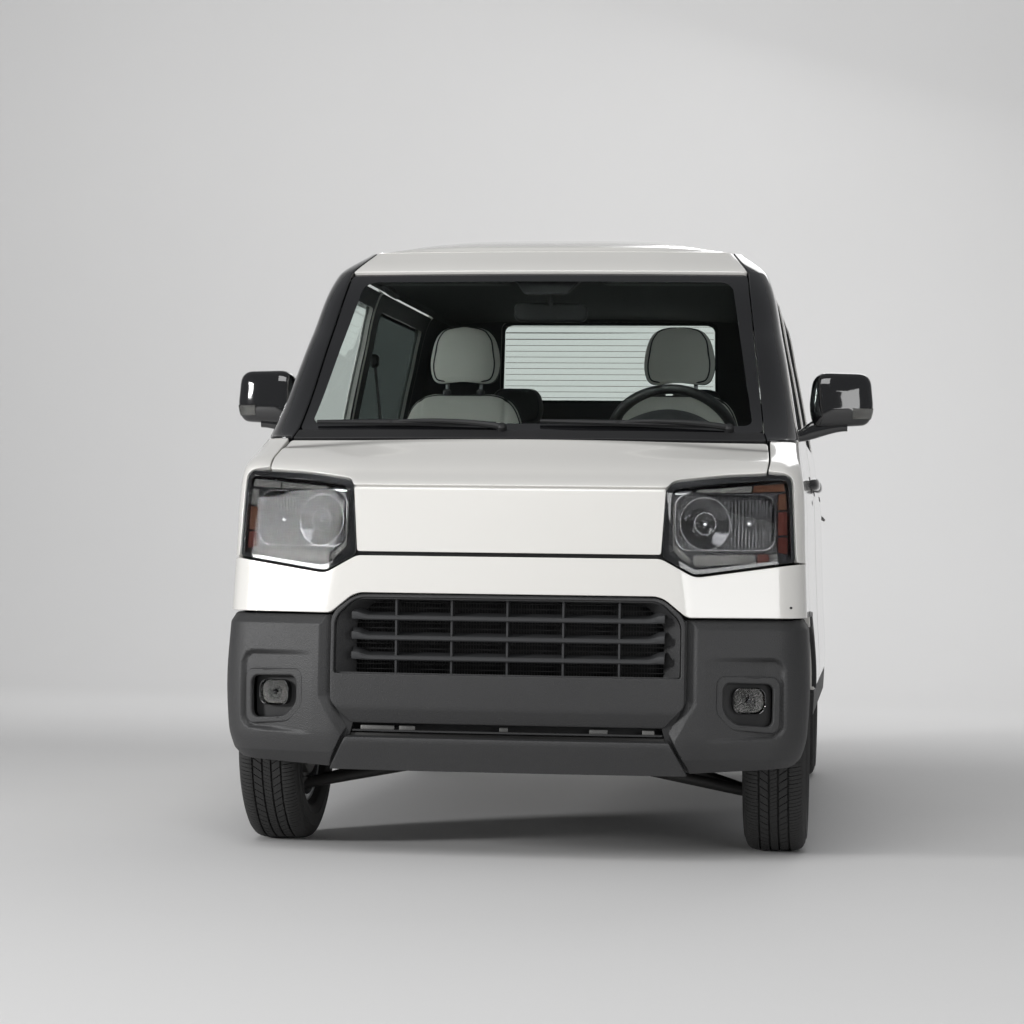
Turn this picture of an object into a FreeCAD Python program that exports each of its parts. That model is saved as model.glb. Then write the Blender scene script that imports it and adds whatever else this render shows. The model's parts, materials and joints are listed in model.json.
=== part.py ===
"""Kei truck with a four-door cab and a short load bed, as a parametric document.

Millimetres.  The truck faces -Y, its left (driver's) side is +X and +Z is up.  The origin is on
the ground, in the middle of the truck's length and width.
"""
import FreeCAD
import Part
import Sketcher
import math
import os
from types import SimpleNamespace

Vector = FreeCAD.Vector
Rotation = FreeCAD.Rotation
Placement = FreeCAD.Placement

# Driving dimensions: spreadsheet alias and value.  "depth" is measured back from the front face.
SIZES = {
    # whole truck
    "front_overhang": 520, "wheelbase": 2450, "rear_overhang": 425, "body_width": 1475,
    "floor_height": 480, "floor_plate": 25, "cab_depth": 2590, "wall": 45, "seam": 0.6,
    "door_gap": 5.5, "seat_gap": 0.3,
    # wheels
    "front_track": 1297, "rear_track": 1240, "tyre_radius": 268.5, "tyre_width": 160,
    "rim_radius": 152, "rim_width": 112, "rim_wall": 5, "arch_clearance": 42,
    "hub_radius": 28, "hub_clearance": 0.08,
    # steering and front suspension
    "ball_joint_x": 606, "ball_joint_z": 165, "strut_top_x": 500, "strut_top_z": 765,
    # body levels used by several panels
    "skirt_bottom": 235, "sill_bottom": 330, "cladding_top": 608,
    "nose_gap_height": 758, "nose_gap": 9, "bonnet_front": 918, "belt": 1070,
    "header": 1530, "roof_edge": 1600, "roof_rise": 88, "roof_skin": 18,
    # door cuts
    "front_door_start": 500, "front_door_end": 1425, "pillar_width": 24, "slide_door_end": 2335,
    "door_top": 1548, "door_bottom": 400, "pillar_lean": 0.2, "hinge_inset": 7.5,
    "sash": 58, "glass_thickness": 4.5, "glass_inset": 9,
    # load bed
    "bed_floor": 620, "bed_plate": 18, "bed_top": 965, "bed_wall": 34, "bed_gap": 12,
    "bed_inset": 40, "bed_flare": 12, "gate_thickness": 34, "post_width": 104, "flare_width": 42,
    # frame
    "rail_x": 340, "rail_width": 55, "rail_height": 85, "plate_pitch": 210,
}


class Size:
    """A length that knows its number and the spreadsheet expression behind it."""

    def __init__(self, value, text):
        self.value = float(value)
        self.text = text

    def __add__(self, other):
        other = as_size(other)
        return Size(self.value + other.value, f"({self.text} + {other.text})")

    def __sub__(self, other):
        other = as_size(other)
        return Size(self.value - other.value, f"({self.text} - {other.text})")

    def __mul__(self, other):
        other = as_size(other)
        return Size(self.value * other.value, f"({self.text} * {other.text})")

    def __truediv__(self, other):
        other = as_size(other)
        return Size(self.value / other.value, f"({self.text} / {other.text})")

    def __neg__(self):
        return Size(-self.value, f"(0 - {self.text})")

    def __radd__(self, other):
        return as_size(other) + self

    def __rsub__(self, other):
        return as_size(other) - self

    def __rmul__(self, other):
        return as_size(other) * self


def as_size(value):
    if isinstance(value, Size):
        return value
    return Size(value, f"({float(value):.6g})")


doc = FreeCAD.newDocument("kei_truck")
sheet = doc.addObject("Spreadsheet::Sheet", "Sizes")
for row, (alias, value) in enumerate(SIZES.items(), start=1):
    sheet.set(f"A{row}", alias)
    sheet.set(f"B{row}", str(value))
    sheet.setAlias(f"B{row}", alias)
doc.recompute()
d = SimpleNamespace(**{alias: Size(sheet.get(alias), f"Sizes.{alias}") for alias in SIZES})

# Places worked out from the driving dimensions.
FRONT = -(d.front_overhang + d.wheelbase + d.rear_overhang) / 2
REAR = -FRONT
FRONT_AXLE = FRONT + d.front_overhang
REAR_AXLE = REAR - d.rear_overhang
HALF = d.body_width / 2
ARCH = d.tyre_radius + d.arch_clearance
CAB_REAR = FRONT + d.cab_depth
BED_FRONT = CAB_REAR + d.bed_gap


# ---------------------------------------------------------------- document helpers

def bind(obj, **properties):
    """Bind each named property to the expression of its size."""
    for name, size in properties.items():
        obj.setExpression(name.replace("__", "."), as_size(size).text)


def box(name, x, y, z):
    """A block between two places on each axis, each given as (low, high)."""
    block = doc.addObject("Part::Box", name)
    lows = [as_size(pair[0]) for pair in (x, y, z)]
    highs = [as_size(pair[1]) for pair in (x, y, z)]
    bind(block, Length=highs[0] - lows[0], Width=highs[1] - lows[1], Height=highs[2] - lows[2],
         Placement__Base__x=lows[0], Placement__Base__y=lows[1], Placement__Base__z=lows[2])
    return block


AXIS_TURNS = {"X": Rotation(Vector(0, 1, 0), 90), "Y": Rotation(Vector(1, 0, 0), -90),
              "Z": Rotation()}


def cylinder(name, axis, start, radius, length, radius_end=None):
    """A round bar, or a cone where the end has its own radius, from start along +axis."""
    if radius_end is None:
        bar = doc.addObject("Part::Cylinder", name)
        bind(bar, Radius=radius, Height=length)
    else:
        bar = doc.addObject("Part::Cone", name)
        bind(bar, Radius1=radius, Radius2=radius_end, Height=length)
    bar.Placement = Placement(Vector(), AXIS_TURNS[axis])
    bind(bar, Placement__Base__x=start[0], Placement__Base__y=start[1],
         Placement__Base__z=start[2])
    return bar


def leaning_bar(name, start, end, radius):
    """A round bar between two points that need not lie along an axis."""
    low = Vector(*[as_size(part).value for part in start])
    high = Vector(*[as_size(part).value for part in end])
    bar = doc.addObject("Part::Cylinder", name)
    bar.Placement = Placement(low, Rotation(Vector(0, 0, 1), high - low))
    bar.Height = (high - low).Length
    bind(bar, Radius=radius)
    return bar


PLANE_TURNS = {
    "XY": Rotation(),
    "XZ": Rotation(Vector(1, 0, 0), Vector(0, 0, 1), Vector(0, -1, 0), "ZXY"),
    "YZ": Rotation(Vector(0, 1, 0), Vector(0, 0, 1), Vector(1, 0, 0), "ZXY"),
}
PLANE_NORMALS = {"XY": Vector(0, 0, 1), "XZ": Vector(0, 1, 0), "YZ": Vector(1, 0, 0)}
PLANE_OFFSETS = {"XY": "z", "XZ": "y", "YZ": "x"}


def outline(name, plane, points, offset):
    """A closed sketch of straight lines, every corner tied to the spreadsheet."""
    sketch = doc.addObject("Sketcher::SketchObject", name)
    sketch.Placement = Placement(Vector(), PLANE_TURNS[plane])
    bind(sketch, **{f"Placement__Base__{PLANE_OFFSETS[plane]}": offset})
    corners = [(as_size(u), as_size(v)) for u, v in points]
    count = len(corners)
    for index in range(count):
        begin = corners[index]
        finish = corners[(index + 1) % count]
        sketch.addGeometry(Part.LineSegment(Vector(begin[0].value, begin[1].value, 0),
                                            Vector(finish[0].value, finish[1].value, 0)), False)
    for index in range(count):
        sketch.addConstraint(
            Sketcher.Constraint("Coincident", index, 2, (index + 1) % count, 1))
    for index, corner in enumerate(corners):
        for direction, size in zip(("DistanceX", "DistanceY"), corner):
            number = sketch.addConstraint(
                Sketcher.Constraint(direction, -1, 1, index, 1, size.value))
            sketch.setExpression(f"Constraints[{number}]", size.text)
    return sketch


def prism(name, plane, points, low, high, rounding=None):
    """An outline pulled along its plane's axis from low to high, its long edges rounded."""
    sketch = outline(f"{name}_outline", plane, points, low)
    solid = doc.addObject("Part::Extrusion", name if rounding is None else f"{name}_sharp")
    solid.Base = sketch
    solid.DirMode = "Custom"
    solid.Dir = PLANE_NORMALS[plane]
    solid.Solid = True
    bind(solid, LengthFwd=as_size(high) - as_size(low))
    if rounding is None:
        return solid
    return rounded(name, solid, rounding, PLANE_NORMALS[plane])


def rounded(name, base, radius, direction=None, choose=None):
    """Round the straight edges that run along a direction, or those that choose() picks."""
    doc.recompute()
    radius = as_size(radius).value
    picked = []
    for number, edge in enumerate(base.Shape.Edges, start=1):
        if choose is not None:
            wanted = choose(edge)
        else:
            tangent = edge.tangentAt(edge.FirstParameter)
            wanted = abs(abs(tangent.dot(direction)) - 1) < 1e-6
        if wanted:
            picked.append((number, radius, radius))
    fillet = doc.addObject("Part::Fillet", name)
    fillet.Base = base
    fillet.Edges = picked
    return fillet


def fuse(name, *pieces):
    joined = doc.addObject("Part::MultiFuse", name)
    joined.Shapes = list(pieces)
    return joined


def cut(name, base, *tools):
    result = doc.addObject("Part::Cut", name)
    result.Base = base
    result.Tool = tools[0] if len(tools) == 1 else fuse(f"{name}_tools", *tools)
    return result


def common(name, first, second):
    result = doc.addObject("Part::Common", name)
    result.Base = first
    result.Tool = second
    return result


def mirrored(name, source, normal=Vector(1, 0, 0)):
    copy = doc.addObject("Part::Mirroring", name)
    copy.Source = source
    copy.Normal = normal
    copy.Base = Vector()
    return copy


def both_sides(name, source):
    """A piece and its mirror image as one object of two solids."""
    pair = doc.addObject("Part::Compound", name)
    pair.Links = [source, mirrored(f"{name}_other_side", source)]
    return pair


def shape_feature(name, shape):
    feature = doc.addObject("Part::Feature", name)
    feature.Shape = shape
    feature.Placement = Placement()
    return feature


SUB_PARTS = {}


def sub_part(label, obj):
    """Name a finished sub-part: its label is its node's and its file's name."""
    obj.Label = label
    SUB_PARTS[label] = obj
    return obj


# ---------------------------------------------------------------- body skin

# Plan sections of the body from the skirt to the windscreen base.  Columns: height, how far the
# side lies inside the half width, then inset from the half width and depth of the nose centre
# (depth only), shoulder, lamp end and start of the side.
LOWER_LEVELS = [
    (d.skirt_bottom, 36, 44, 300, 58, 118, 108, 205),
    (320, 5, 8, 300, 25, 80, 94, 212),
    (440, 0, 0, 298, 20, 70, 94, 215),
    (d.cladding_top, 8, 6, 296, 28, 68, 116, 225),
    (d.nose_gap_height, 14, 14, 315, 35, 70, 133, 240),
    (d.bonnet_front, 20, 22, 347, 34, 64, 158, 258),
    (967, 27, 104, 345, 118, 66, 172, 275),
    (d.belt, 43, 322, 350, 350, 108, 402, 480),
]
# The same columns from the windscreen base to the edge of the roof.
UPPER_LEVELS = [
    (d.belt, 43, 322, 350, 350, 108, 402, 480),
    (1350, 96, 598, 400, 618, 160, 652, 738),
    (d.header, 141, 775, 425, 788, 190, 812, 885),
    (d.roof_edge, 218, 892, 450, 900, 264, 925, 980),
]
CORNER_BULGE = 0.17
REAR_CORNER = 70


def level_wire(level, inset):
    """One plan section: straight sides and lamp faces, arcs over the nose and the corners."""
    height, tuck, nose, shoulder_in, shoulder, lamp_in, lamp, side = (
        as_size(value).value for value in level)
    half = HALF.value
    front = FRONT.value + inset
    rear = CAB_REAR.value - inset
    side_x = half - tuck - inset
    points = {
        "rear": Vector(side_x - REAR_CORNER, rear, height),
        "corner": Vector(side_x, rear - REAR_CORNER, height),
        "side": Vector(side_x, front + side, height),
        "lamp": Vector(half - lamp_in - 0.6 * inset, front + lamp, height),
        "shoulder": Vector(half - shoulder_in - 0.2 * inset, front + shoulder, height),
    }
    flip = {key: Vector(-point.x, point.y, point.z) for key, point in points.items()}

    def corner_arc(begin, end, outward):
        middle = (begin + end) / 2 + outward * ((end - begin).Length * CORNER_BULGE)
        return Part.Arc(begin, middle, end).toShape()

    out_left = Vector(1, -1, 0).normalize()
    out_right = Vector(-1, -1, 0).normalize()
    edges = [
        Part.LineSegment(flip["rear"], points["rear"]).toShape(),
        corner_arc(points["rear"], points["corner"], Vector(1, 1, 0).normalize()),
        Part.LineSegment(points["corner"], points["side"]).toShape(),
        corner_arc(points["side"], points["lamp"], out_left),
        Part.LineSegment(points["lamp"], points["shoulder"]).toShape(),
        Part.Arc(points["shoulder"], Vector(0, front + nose, height), flip["shoulder"]).toShape(),
        Part.LineSegment(flip["shoulder"], flip["lamp"]).toShape(),
        corner_arc(flip["lamp"], flip["side"], out_right),
        Part.LineSegment(flip["side"], flip["corner"]).toShape(),
        corner_arc(flip["corner"], flip["rear"], Vector(-1, 1, 0).normalize()),
    ]
    return Part.Wire(edges)


def skin_solid(name, inset, levels):
    """The closed body form, moved in by inset on every upright face."""
    wires = [level_wire(level, inset) for level in levels]
    return shape_feature(name, Part.makeLoft(wires, True, True))


def joined_skin(name, inset):
    """Body and greenhouse forms joined at the belt."""
    return fuse(name, skin_solid(f"{name}_lower", inset, LOWER_LEVELS),
                skin_solid(f"{name}_upper", inset, UPPER_LEVELS))


body_form = joined_skin("body_form", 0)
cab_hollow = joined_skin("cab_hollow", d.wall.value)
glass_outer = skin_solid("glass_outer", d.glass_inset.value, UPPER_LEVELS)
glass_inner = skin_solid("glass_inner", (d.glass_inset + d.glass_thickness).value, UPPER_LEVELS)
glass_layer = cut("glass_layer", glass_outer, glass_inner)

# Side outlines, as (depth, height) pairs turned into places along Y.
def along(points):
    return [(FRONT + depth, height) for depth, height in points]


SIDE_OUT = HALF + 30
SIDE_IN = as_size(300)
LEAN_SHIFT = d.pillar_lean * (SIDE_OUT - SIDE_IN)


def side_cutter(name, points, leaning, rounding):
    """A cutter through the left side: corners whose number is in leaning move forward inboard."""
    outer = outline(f"{name}_outer", "YZ", along(points), SIDE_OUT)
    inner_points = [(depth - LEAN_SHIFT if index in leaning else depth, height)
                    for index, (depth, height) in enumerate(points)]
    inner = outline(f"{name}_inner", "YZ", along(inner_points), SIDE_IN)
    loft = doc.addObject("Part::Loft", f"{name}_sharp")
    loft.Sections = [outer, inner]
    loft.Solid = True
    loft.Ruled = True
    return rounded(name, loft, rounding, choose=lambda edge: edge.BoundBox.XLength > 300)


def grown(points, gap, centre):
    """An outline moved out by a gap on each axis from a centre (in, when the gap is negative)."""
    moved = []
    for depth, height in points:
        depth = as_size(depth)
        height = as_size(height)
        across = gap if depth.value > centre[0] else -gap
        up = gap if height.value > centre[1] else -gap
        moved.append((depth + across, height + up))
    return moved


# Front door: up the A-pillar, along the roof, down the B-pillar, along the sill.
FRONT_DOOR = [
    (d.front_door_start, d.door_bottom), (d.front_door_start, d.belt + 12),
    (d.front_door_start + 425, d.door_top), (d.front_door_end, d.door_top),
    (d.front_door_end, d.door_bottom),
]
FRONT_DOOR_LEAN = {3, 4}
FRONT_DOOR_CENTRE = (1000, 900)
SLIDE_DOOR = [
    (d.front_door_end + d.pillar_width, d.door_bottom), (d.front_door_end + d.pillar_width, d.door_top),
    (d.slide_door_end, d.door_top), (d.slide_door_end, d.door_bottom),
]
SLIDE_DOOR_LEAN = {0, 1}
SLIDE_DOOR_CENTRE = (1900, 900)
FRONT_WINDOW = [
    (d.front_door_start + 112, d.belt + 22), (d.front_door_start + 462, d.door_top - d.sash),
    (d.front_door_end - 50, d.door_top - d.sash), (d.front_door_end - 50, d.belt + 22),
]
FRONT_WINDOW_CENTRE = (1000, 1300)
SLIDE_WINDOW = [
    (d.front_door_end + d.pillar_width + 60, d.belt + 22),
    (d.front_door_end + d.pillar_width + 60, d.door_top - d.sash),
    (d.slide_door_end - 72, d.door_top - d.sash), (d.slide_door_end - 72, d.belt + 22),
]
SLIDE_WINDOW_CENTRE = (1900, 1300)

front_opening = side_cutter("front_opening", grown(FRONT_DOOR, d.door_gap / 2, FRONT_DOOR_CENTRE),
                            FRONT_DOOR_LEAN, 24)
front_door_form = side_cutter("front_door_form",
                              grown(FRONT_DOOR, -d.door_gap / 2, FRONT_DOOR_CENTRE),
                              FRONT_DOOR_LEAN, 22)
slide_opening = side_cutter("slide_opening", grown(SLIDE_DOOR, d.seam / 2, SLIDE_DOOR_CENTRE),
                            SLIDE_DOOR_LEAN, 24)
slide_door_form = side_cutter("slide_door_form", grown(SLIDE_DOOR, -d.seam / 2, SLIDE_DOOR_CENTRE),
                              SLIDE_DOOR_LEAN, 24)
front_window_cut = side_cutter("front_window_cut", FRONT_WINDOW, (), 30)
slide_window_cut = side_cutter("slide_window_cut", SLIDE_WINDOW, (), 30)
front_pane_form = side_cutter("front_pane_form",
                              grown(FRONT_WINDOW, -d.seat_gap, FRONT_WINDOW_CENTRE), (), 30)
slide_pane_form = side_cutter("slide_pane_form",
                              grown(SLIDE_WINDOW, -d.seat_gap, SLIDE_WINDOW_CENTRE), (), 30)

# ---------------------------------------------------------------- body panels

body_shell = cut("body_shell", body_form, cab_hollow)
front_arch = cylinder("front_arch", "X", (-SIDE_OUT, FRONT_AXLE, d.tyre_radius), ARCH,
                      SIDE_OUT * 2)
open_shell = cut("open_shell", body_shell, front_arch)

# Front outlines, as (x, z) pairs of the left half; closed() adds the mirrored half.
BONNET_SIDE = HALF - 104
LAMP_INNER = HALF - 347


def closed(half_points):
    """A whole front outline from the corners of its left half, top to bottom."""
    return half_points + [(-as_size(x), z) for x, z in reversed(half_points)]


bonnet_zone = prism("bonnet_zone", "XZ", closed([
    (BONNET_SIDE - 14, d.belt - 14), (BONNET_SIDE, 975), (BONNET_SIDE, 963),
    (LAMP_INNER, d.bonnet_front)]), FRONT - 20, FRONT + 420)
bonnet_room = prism("bonnet_room", "XZ", closed([
    (BONNET_SIDE - 14 + d.door_gap, d.belt - 14 + d.door_gap), (BONNET_SIDE + d.door_gap, 975),
    (BONNET_SIDE + d.door_gap, 963 - d.door_gap), (LAMP_INNER, d.bonnet_front - d.door_gap)]),
    FRONT - 40, FRONT + 440)
lamp_zone = prism("lamp_zone", "XZ", [
    (LAMP_INNER + d.seam, 910), (HALF - 61, 955), (HALF - 36, 750), (HALF - 266, 718),
    (HALF - 282, 717), (LAMP_INNER - 12 + d.seam, 757)], FRONT - 20, FRONT + 330, 9)
lamp_room = prism("lamp_room", "XZ", [
    (LAMP_INNER, 990), (HALF - 61 + d.seam, 990), (HALF - 61 + d.seam, 955),
    (HALF - 36 + d.seam, 750 - d.seam), (HALF - 266, 718 - d.seam), (HALF - 282, 717 - d.seam),
    (LAMP_INNER - 12, 757 - d.seam)], FRONT - 40, FRONT + 350)
nose_zone = prism("nose_zone", "XZ", closed([
    (LAMP_INNER - d.seam, d.bonnet_front - d.door_gap - d.seam),
    (LAMP_INNER - 12 - d.seam, d.nose_gap_height + d.nose_gap / 2)]), FRONT - 20, FRONT + 200)
bumper_zone = prism("bumper_zone", "XZ", closed([
    (LAMP_INNER - 12, d.nose_gap_height - d.nose_gap / 2), (HALF - 283, 711), (HALF - 266, 711),
    (HALF - 36, 744), (HALF + 30, 744), (HALF + 30, d.cladding_top + d.seam),
    (HALF - 295, d.cladding_top + d.seam), (HALF - 357, 661)]), FRONT - 20, FRONT + 236)
grille_zone = prism("grille_zone", "XZ", closed([
    (HALF - 357, 661 - d.seam), (HALF - 296, d.cladding_top - 4), (HALF - 296, 464)]),
    FRONT - 20, FRONT + 130)
grille_mouth = prism("grille_mouth", "XZ", closed([
    (HALF - 364, 648), (HALF - 352, 632), (HALF - 352, 466 + 6)]), FRONT - 40, FRONT + 150)

sub_part("nose_panel", common("nose_shape", open_shell, nose_zone))
# The bumper's set-back top lip carries the nose panel and closes the gap below it.
recess_floor = skin_solid("recess_floor", 20, LOWER_LEVELS)
lip_zone = prism("lip_zone", "XZ", closed([
    (LAMP_INNER - 13, d.nose_gap_height + d.nose_gap / 2 - d.seat_gap),
    (LAMP_INNER - 13, d.nose_gap_height - d.nose_gap)]), FRONT - 20, FRONT + 200)
bumper_lip = common("bumper_lip", cut("lip_layer", recess_floor, cab_hollow), lip_zone)
sub_part("bumper_upper", fuse("bumper_upper_shape",
                              common("bumper_face", open_shell, bumper_zone), bumper_lip))
for side, flip in (("left", False), ("right", True)):
    lamp = common(f"lamp_shape_{side}", open_shell,
                  mirrored(f"lamp_zone_{side}", lamp_zone) if flip else lamp_zone)
    sub_part(f"headlamp_{side}", lamp)

# Fenders: the side walls ahead of the front doors, round the lamps and above the bumper.
fender_zone = box("fender_zone", (300, HALF + 20),
                  (FRONT - 20, FRONT + d.front_door_start - d.door_gap / 2),
                  (d.cladding_top + d.seam, d.belt - 14))
fender_left = cut("fender_left_shape", common("fender_raw", open_shell, fender_zone),
                  bonnet_room, lamp_room,
                  box("fender_nose_room", (0, HALF + 30), (FRONT - 30, FRONT + 236 + d.seam),
                      (d.cladding_top - 5, 744 + d.seam)),
                  box("fender_inner_room", (0, HALF - 70), (FRONT - 30, FRONT + 165), (600, 1100)))

# Bumper cladding: wings, beam and skirt, with the channels beside the beam and the fog recesses.
channel_floor = skin_solid("channel_floor", 14, LOWER_LEVELS)
lens_face = skin_solid("lens_face", 7, LOWER_LEVELS)
cladding_zone = box("cladding_zone", (-HALF - 20, HALF + 20), (FRONT - 20, FRONT + 400),
                    (d.skirt_bottom, d.cladding_top))
cladding_raw = common("cladding_raw", open_shell, cladding_zone)
channel_left = prism("channel_left", "XZ", [
    (HALF - 296, 612), (HALF - 266, 592), (HALF - 266, 398), (HALF - 312, 305),
    (HALF - 292, 268), (HALF - 288, 225), (HALF - 298, 225), (HALF - 302, 262), (HALF - 343, 328),
    (HALF - 296, 398)], FRONT - 30, FRONT + 100)
fog_pocket = prism("fog_pocket", "XZ", [
    (HALF - 212, 474), (HALF - 68, 478), (HALF - 66, 356), (HALF - 208, 350)],
    FRONT - 30, FRONT + 160, 26)
fog_form = prism("fog_form", "XZ", [
    (HALF - 188, 458), (HALF - 92, 458), (HALF - 92, 382), (HALF - 188, 382)],
    FRONT - 30, FRONT + 160, 26)
shallow = cut("shallow_cuts", fuse("shallow_outlines", channel_left,
                                   mirrored("channel_right", channel_left)), channel_floor)
deep = cut("deep_cuts", fuse("deep_outlines", fog_pocket, mirrored("fog_pocket_right", fog_pocket)),
           recess_floor)
lower_mouth = prism("lower_mouth", "XZ", closed([(HALF - 346, 334), (HALF - 334, 303)]),
                    FRONT - 30, FRONT + 130)
grille_space = prism("grille_space", "XZ", closed([
    (HALF - 357, 661), (HALF - 296 + d.seam, d.cladding_top), (HALF - 296 + d.seam, 464 - d.seam)]),
    FRONT - 30, FRONT + 130)
sub_part("bumper_cladding", cut("cladding_shape", cladding_raw, shallow, deep, lower_mouth,
                                grille_space))
fog_left = common("fog_left", cut("fog_layer", fog_form, recess_floor), lens_face)
sub_part("fog_lamps", both_sides("fog_pair", fog_left))

# Grille: frame, three slats and five ribs.
SLAT_HEIGHTS = (602, 551, 502)
RIB_PITCH = 138
grille_frame = cut("grille_frame", common("grille_raw", open_shell, grille_zone), grille_mouth)
grille_bars = [box(f"slat_{height}", (-(HALF - 350), HALF - 350), (FRONT + 34, FRONT + 58),
                   (height - 5, height + 5)) for height in SLAT_HEIGHTS]
grille_bars += [box(f"rib_{count}", (RIB_PITCH * count - 4, RIB_PITCH * count + 4),
                    (FRONT + 42, FRONT + 56), (468, 652)) for count in range(-2, 3)]
sub_part("grille", fuse("grille_shape", grille_frame, *grille_bars))

# Cowl, windscreen and the cab's own shell.
cowl_zone = prism("cowl_zone", "XZ", closed([
    (HALF - 119, d.belt + 13), (HALF - 112, d.belt - 14 + d.door_gap)]), FRONT, FRONT + 560)
windscreen_cut = prism("windscreen_cut", "XZ", closed([
    (HALF - 192, d.header + 1), (HALF - 128, d.belt + 13)]), FRONT, FRONT + 960, 20)
windscreen_form = prism("windscreen_form", "XZ", closed([
    (HALF - 192 - d.seat_gap, d.header + 1 - d.seat_gap),
    (HALF - 128 - d.seat_gap, d.belt + 13 + d.seat_gap)]), FRONT, FRONT + 960, 20)
REAR_PANE = closed([(HALF - 372, 1540), (HALF - 368, 1264)])
rear_cut = prism("rear_cut", "XZ", REAR_PANE, CAB_REAR - 100, CAB_REAR + 20, 36)
rear_form = prism("rear_form", "XZ", closed([
    (HALF - 372 - d.seat_gap, 1540 - d.seat_gap), (HALF - 368 - d.seat_gap, 1264 + d.seat_gap)]),
    CAB_REAR - 100, CAB_REAR + 20, 36)
sub_part("windscreen", common("windscreen_pane", glass_layer, windscreen_form))
sub_part("rear_window", common("rear_pane", glass_layer, rear_form))
cowl = common("cowl_shape", open_shell, cowl_zone)

front_body_room = box("front_body_room", (-HALF - 30, HALF + 30),
                      (FRONT - 60, FRONT + d.front_door_start - d.door_gap / 2 + d.seam),
                      (0, d.belt - 14 + d.door_gap))
under_sill = box("under_sill", (-HALF - 30, HALF + 30), (FRONT, CAB_REAR + 30),
                 (0, d.sill_bottom))
rear_wall_foot = box("rear_wall_foot", (-(HALF - 110), HALF - 110), (CAB_REAR - 80, CAB_REAR + 30),
                     (0, d.floor_height - d.floor_plate))
cab_shell = cut("cab_shell_shape", open_shell, front_body_room, under_sill, rear_wall_foot,
                cowl_zone, windscreen_cut, rear_cut, front_opening,
                mirrored("front_opening_right", front_opening), slide_opening,
                mirrored("slide_opening_right", slide_opening))

# Doors and their panes.
front_panel = cut("front_panel", common("front_door_skin", open_shell, front_door_form),
                  front_window_cut)
slide_left = cut("slide_door_skin", common("slide_door_raw", open_shell, slide_door_form),
                 slide_window_cut)
front_pane = common("front_pane", glass_layer, front_pane_form)
slide_pane = common("slide_pane", glass_layer, slide_pane_form)
sub_part("sliding_door_glass", both_sides("slide_panes", slide_pane))
sub_part("front_door_glass_left", front_pane)
sub_part("front_door_glass_right", mirrored("front_pane_right", front_pane))

# Front door hinges: barrels on the door between barrels on the pillar, all on one upright pin line.
HINGE_X = HALF - d.hinge_inset
HINGE_Y = FRONT + d.front_door_start
BARREL = 7
BARREL_LENGTH = 30
HINGE_HEIGHTS = (690, 880)
door_barrels = []
fender_barrels = []
for height in HINGE_HEIGHTS:
    centre = (HINGE_X, HINGE_Y, as_size(height))
    door_barrels.append(cylinder(f"door_barrel_{height}", "Z", centre, BARREL, BARREL_LENGTH))
    door_barrels.append(box(f"door_leaf_{height}", (HALF - 40, HINGE_X),
                            (HINGE_Y, HINGE_Y + 26), (height, height + BARREL_LENGTH)))
    below = (HINGE_X, HINGE_Y, height - d.seat_gap - BARREL_LENGTH)
    fender_barrels.append(cylinder(f"body_barrel_{height}", "Z", below, BARREL, BARREL_LENGTH))
    fender_barrels.append(box(f"body_leaf_{height}", (HALF - 40, HINGE_X),
                              (HINGE_Y - 26, HINGE_Y),
                              (height - d.seat_gap - BARREL_LENGTH, height - d.seat_gap)))
pin_rooms_door = [cylinder(f"door_pin_room_{height}", "Z",
                           (HINGE_X, HINGE_Y, height - 2 * d.seat_gap - BARREL_LENGTH),
                           BARREL + 0.5, BARREL_LENGTH + 2 * d.seat_gap)
                  for height in HINGE_HEIGHTS]
pin_rooms_fender = [cylinder(f"fender_pin_room_{height}", "Z",
                             (HINGE_X, HINGE_Y, height - d.seat_gap), BARREL + 0.5,
                             BARREL_LENGTH + 2 * d.seat_gap) for height in HINGE_HEIGHTS]
fender_left_full = fuse("fender_left_full", cut("fender_left_cleared", fender_left,
                                                *pin_rooms_fender), *fender_barrels)
sub_part("fender_left", fender_left_full)
sub_part("fender_right", mirrored("fender_right_shape", fender_left_full))

# Wheel arch flares: half rings standing proud of the sides, the rear part of the front one on
# the door so that it swings with it.
def flare_ring(name, centre_y, outer_x):
    outer = cylinder(f"{name}_outer", "X", (outer_x - 60, centre_y, d.tyre_radius),
                     ARCH + d.flare_width, 60)
    inner = cylinder(f"{name}_inner", "X", (outer_x - 70, centre_y, d.tyre_radius), ARCH, 80)
    return cut(name, outer, inner)


front_flare = flare_ring("front_flare", FRONT_AXLE, HALF)
flare_outside = cut("flare_outside", front_flare, body_form)
DOOR_FLARE_START = HINGE_Y + 14
door_flare = common("door_flare", flare_outside,
                    box("door_flare_zone", (HALF - 60, HALF), (DOOR_FLARE_START, FRONT + 1000),
                        (d.door_bottom + d.door_gap / 2, 1000)))
fender_flare = common("fender_flare", flare_outside,
                      box("fender_flare_zone", (HALF - 60, HALF),
                          (FRONT + 236 + d.seam, HINGE_Y - d.door_gap / 2),
                          (d.cladding_top + d.seam, 1000)))

# Door mirror on the front corner of the door.
MIRROR_DEPTH = 872
mirror_head = rounded("mirror_head", box(
    "mirror_block", (HALF - 20, HALF + 148), (FRONT + MIRROR_DEPTH, FRONT + MIRROR_DEPTH + 66),
    (1122, 1262)), 24, choose=lambda edge: True)
mirror_stem = prism("mirror_stem", "XZ", [
    (HALF - 58, 1074), (HALF - 22, 1082), (HALF + 70, 1096), (HALF + 70, 1130), (HALF - 6, 1130),
    (HALF - 58, 1104)], FRONT + MIRROR_DEPTH + 14, FRONT + MIRROR_DEPTH + 50)
mirror_room = cut("mirror_whole", fuse("mirror_raw", mirror_head, mirror_stem), body_form)
sub_part("mirror_left", mirror_room)
sub_part("mirror_right", mirrored("mirror_right_shape", mirror_room))

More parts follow.
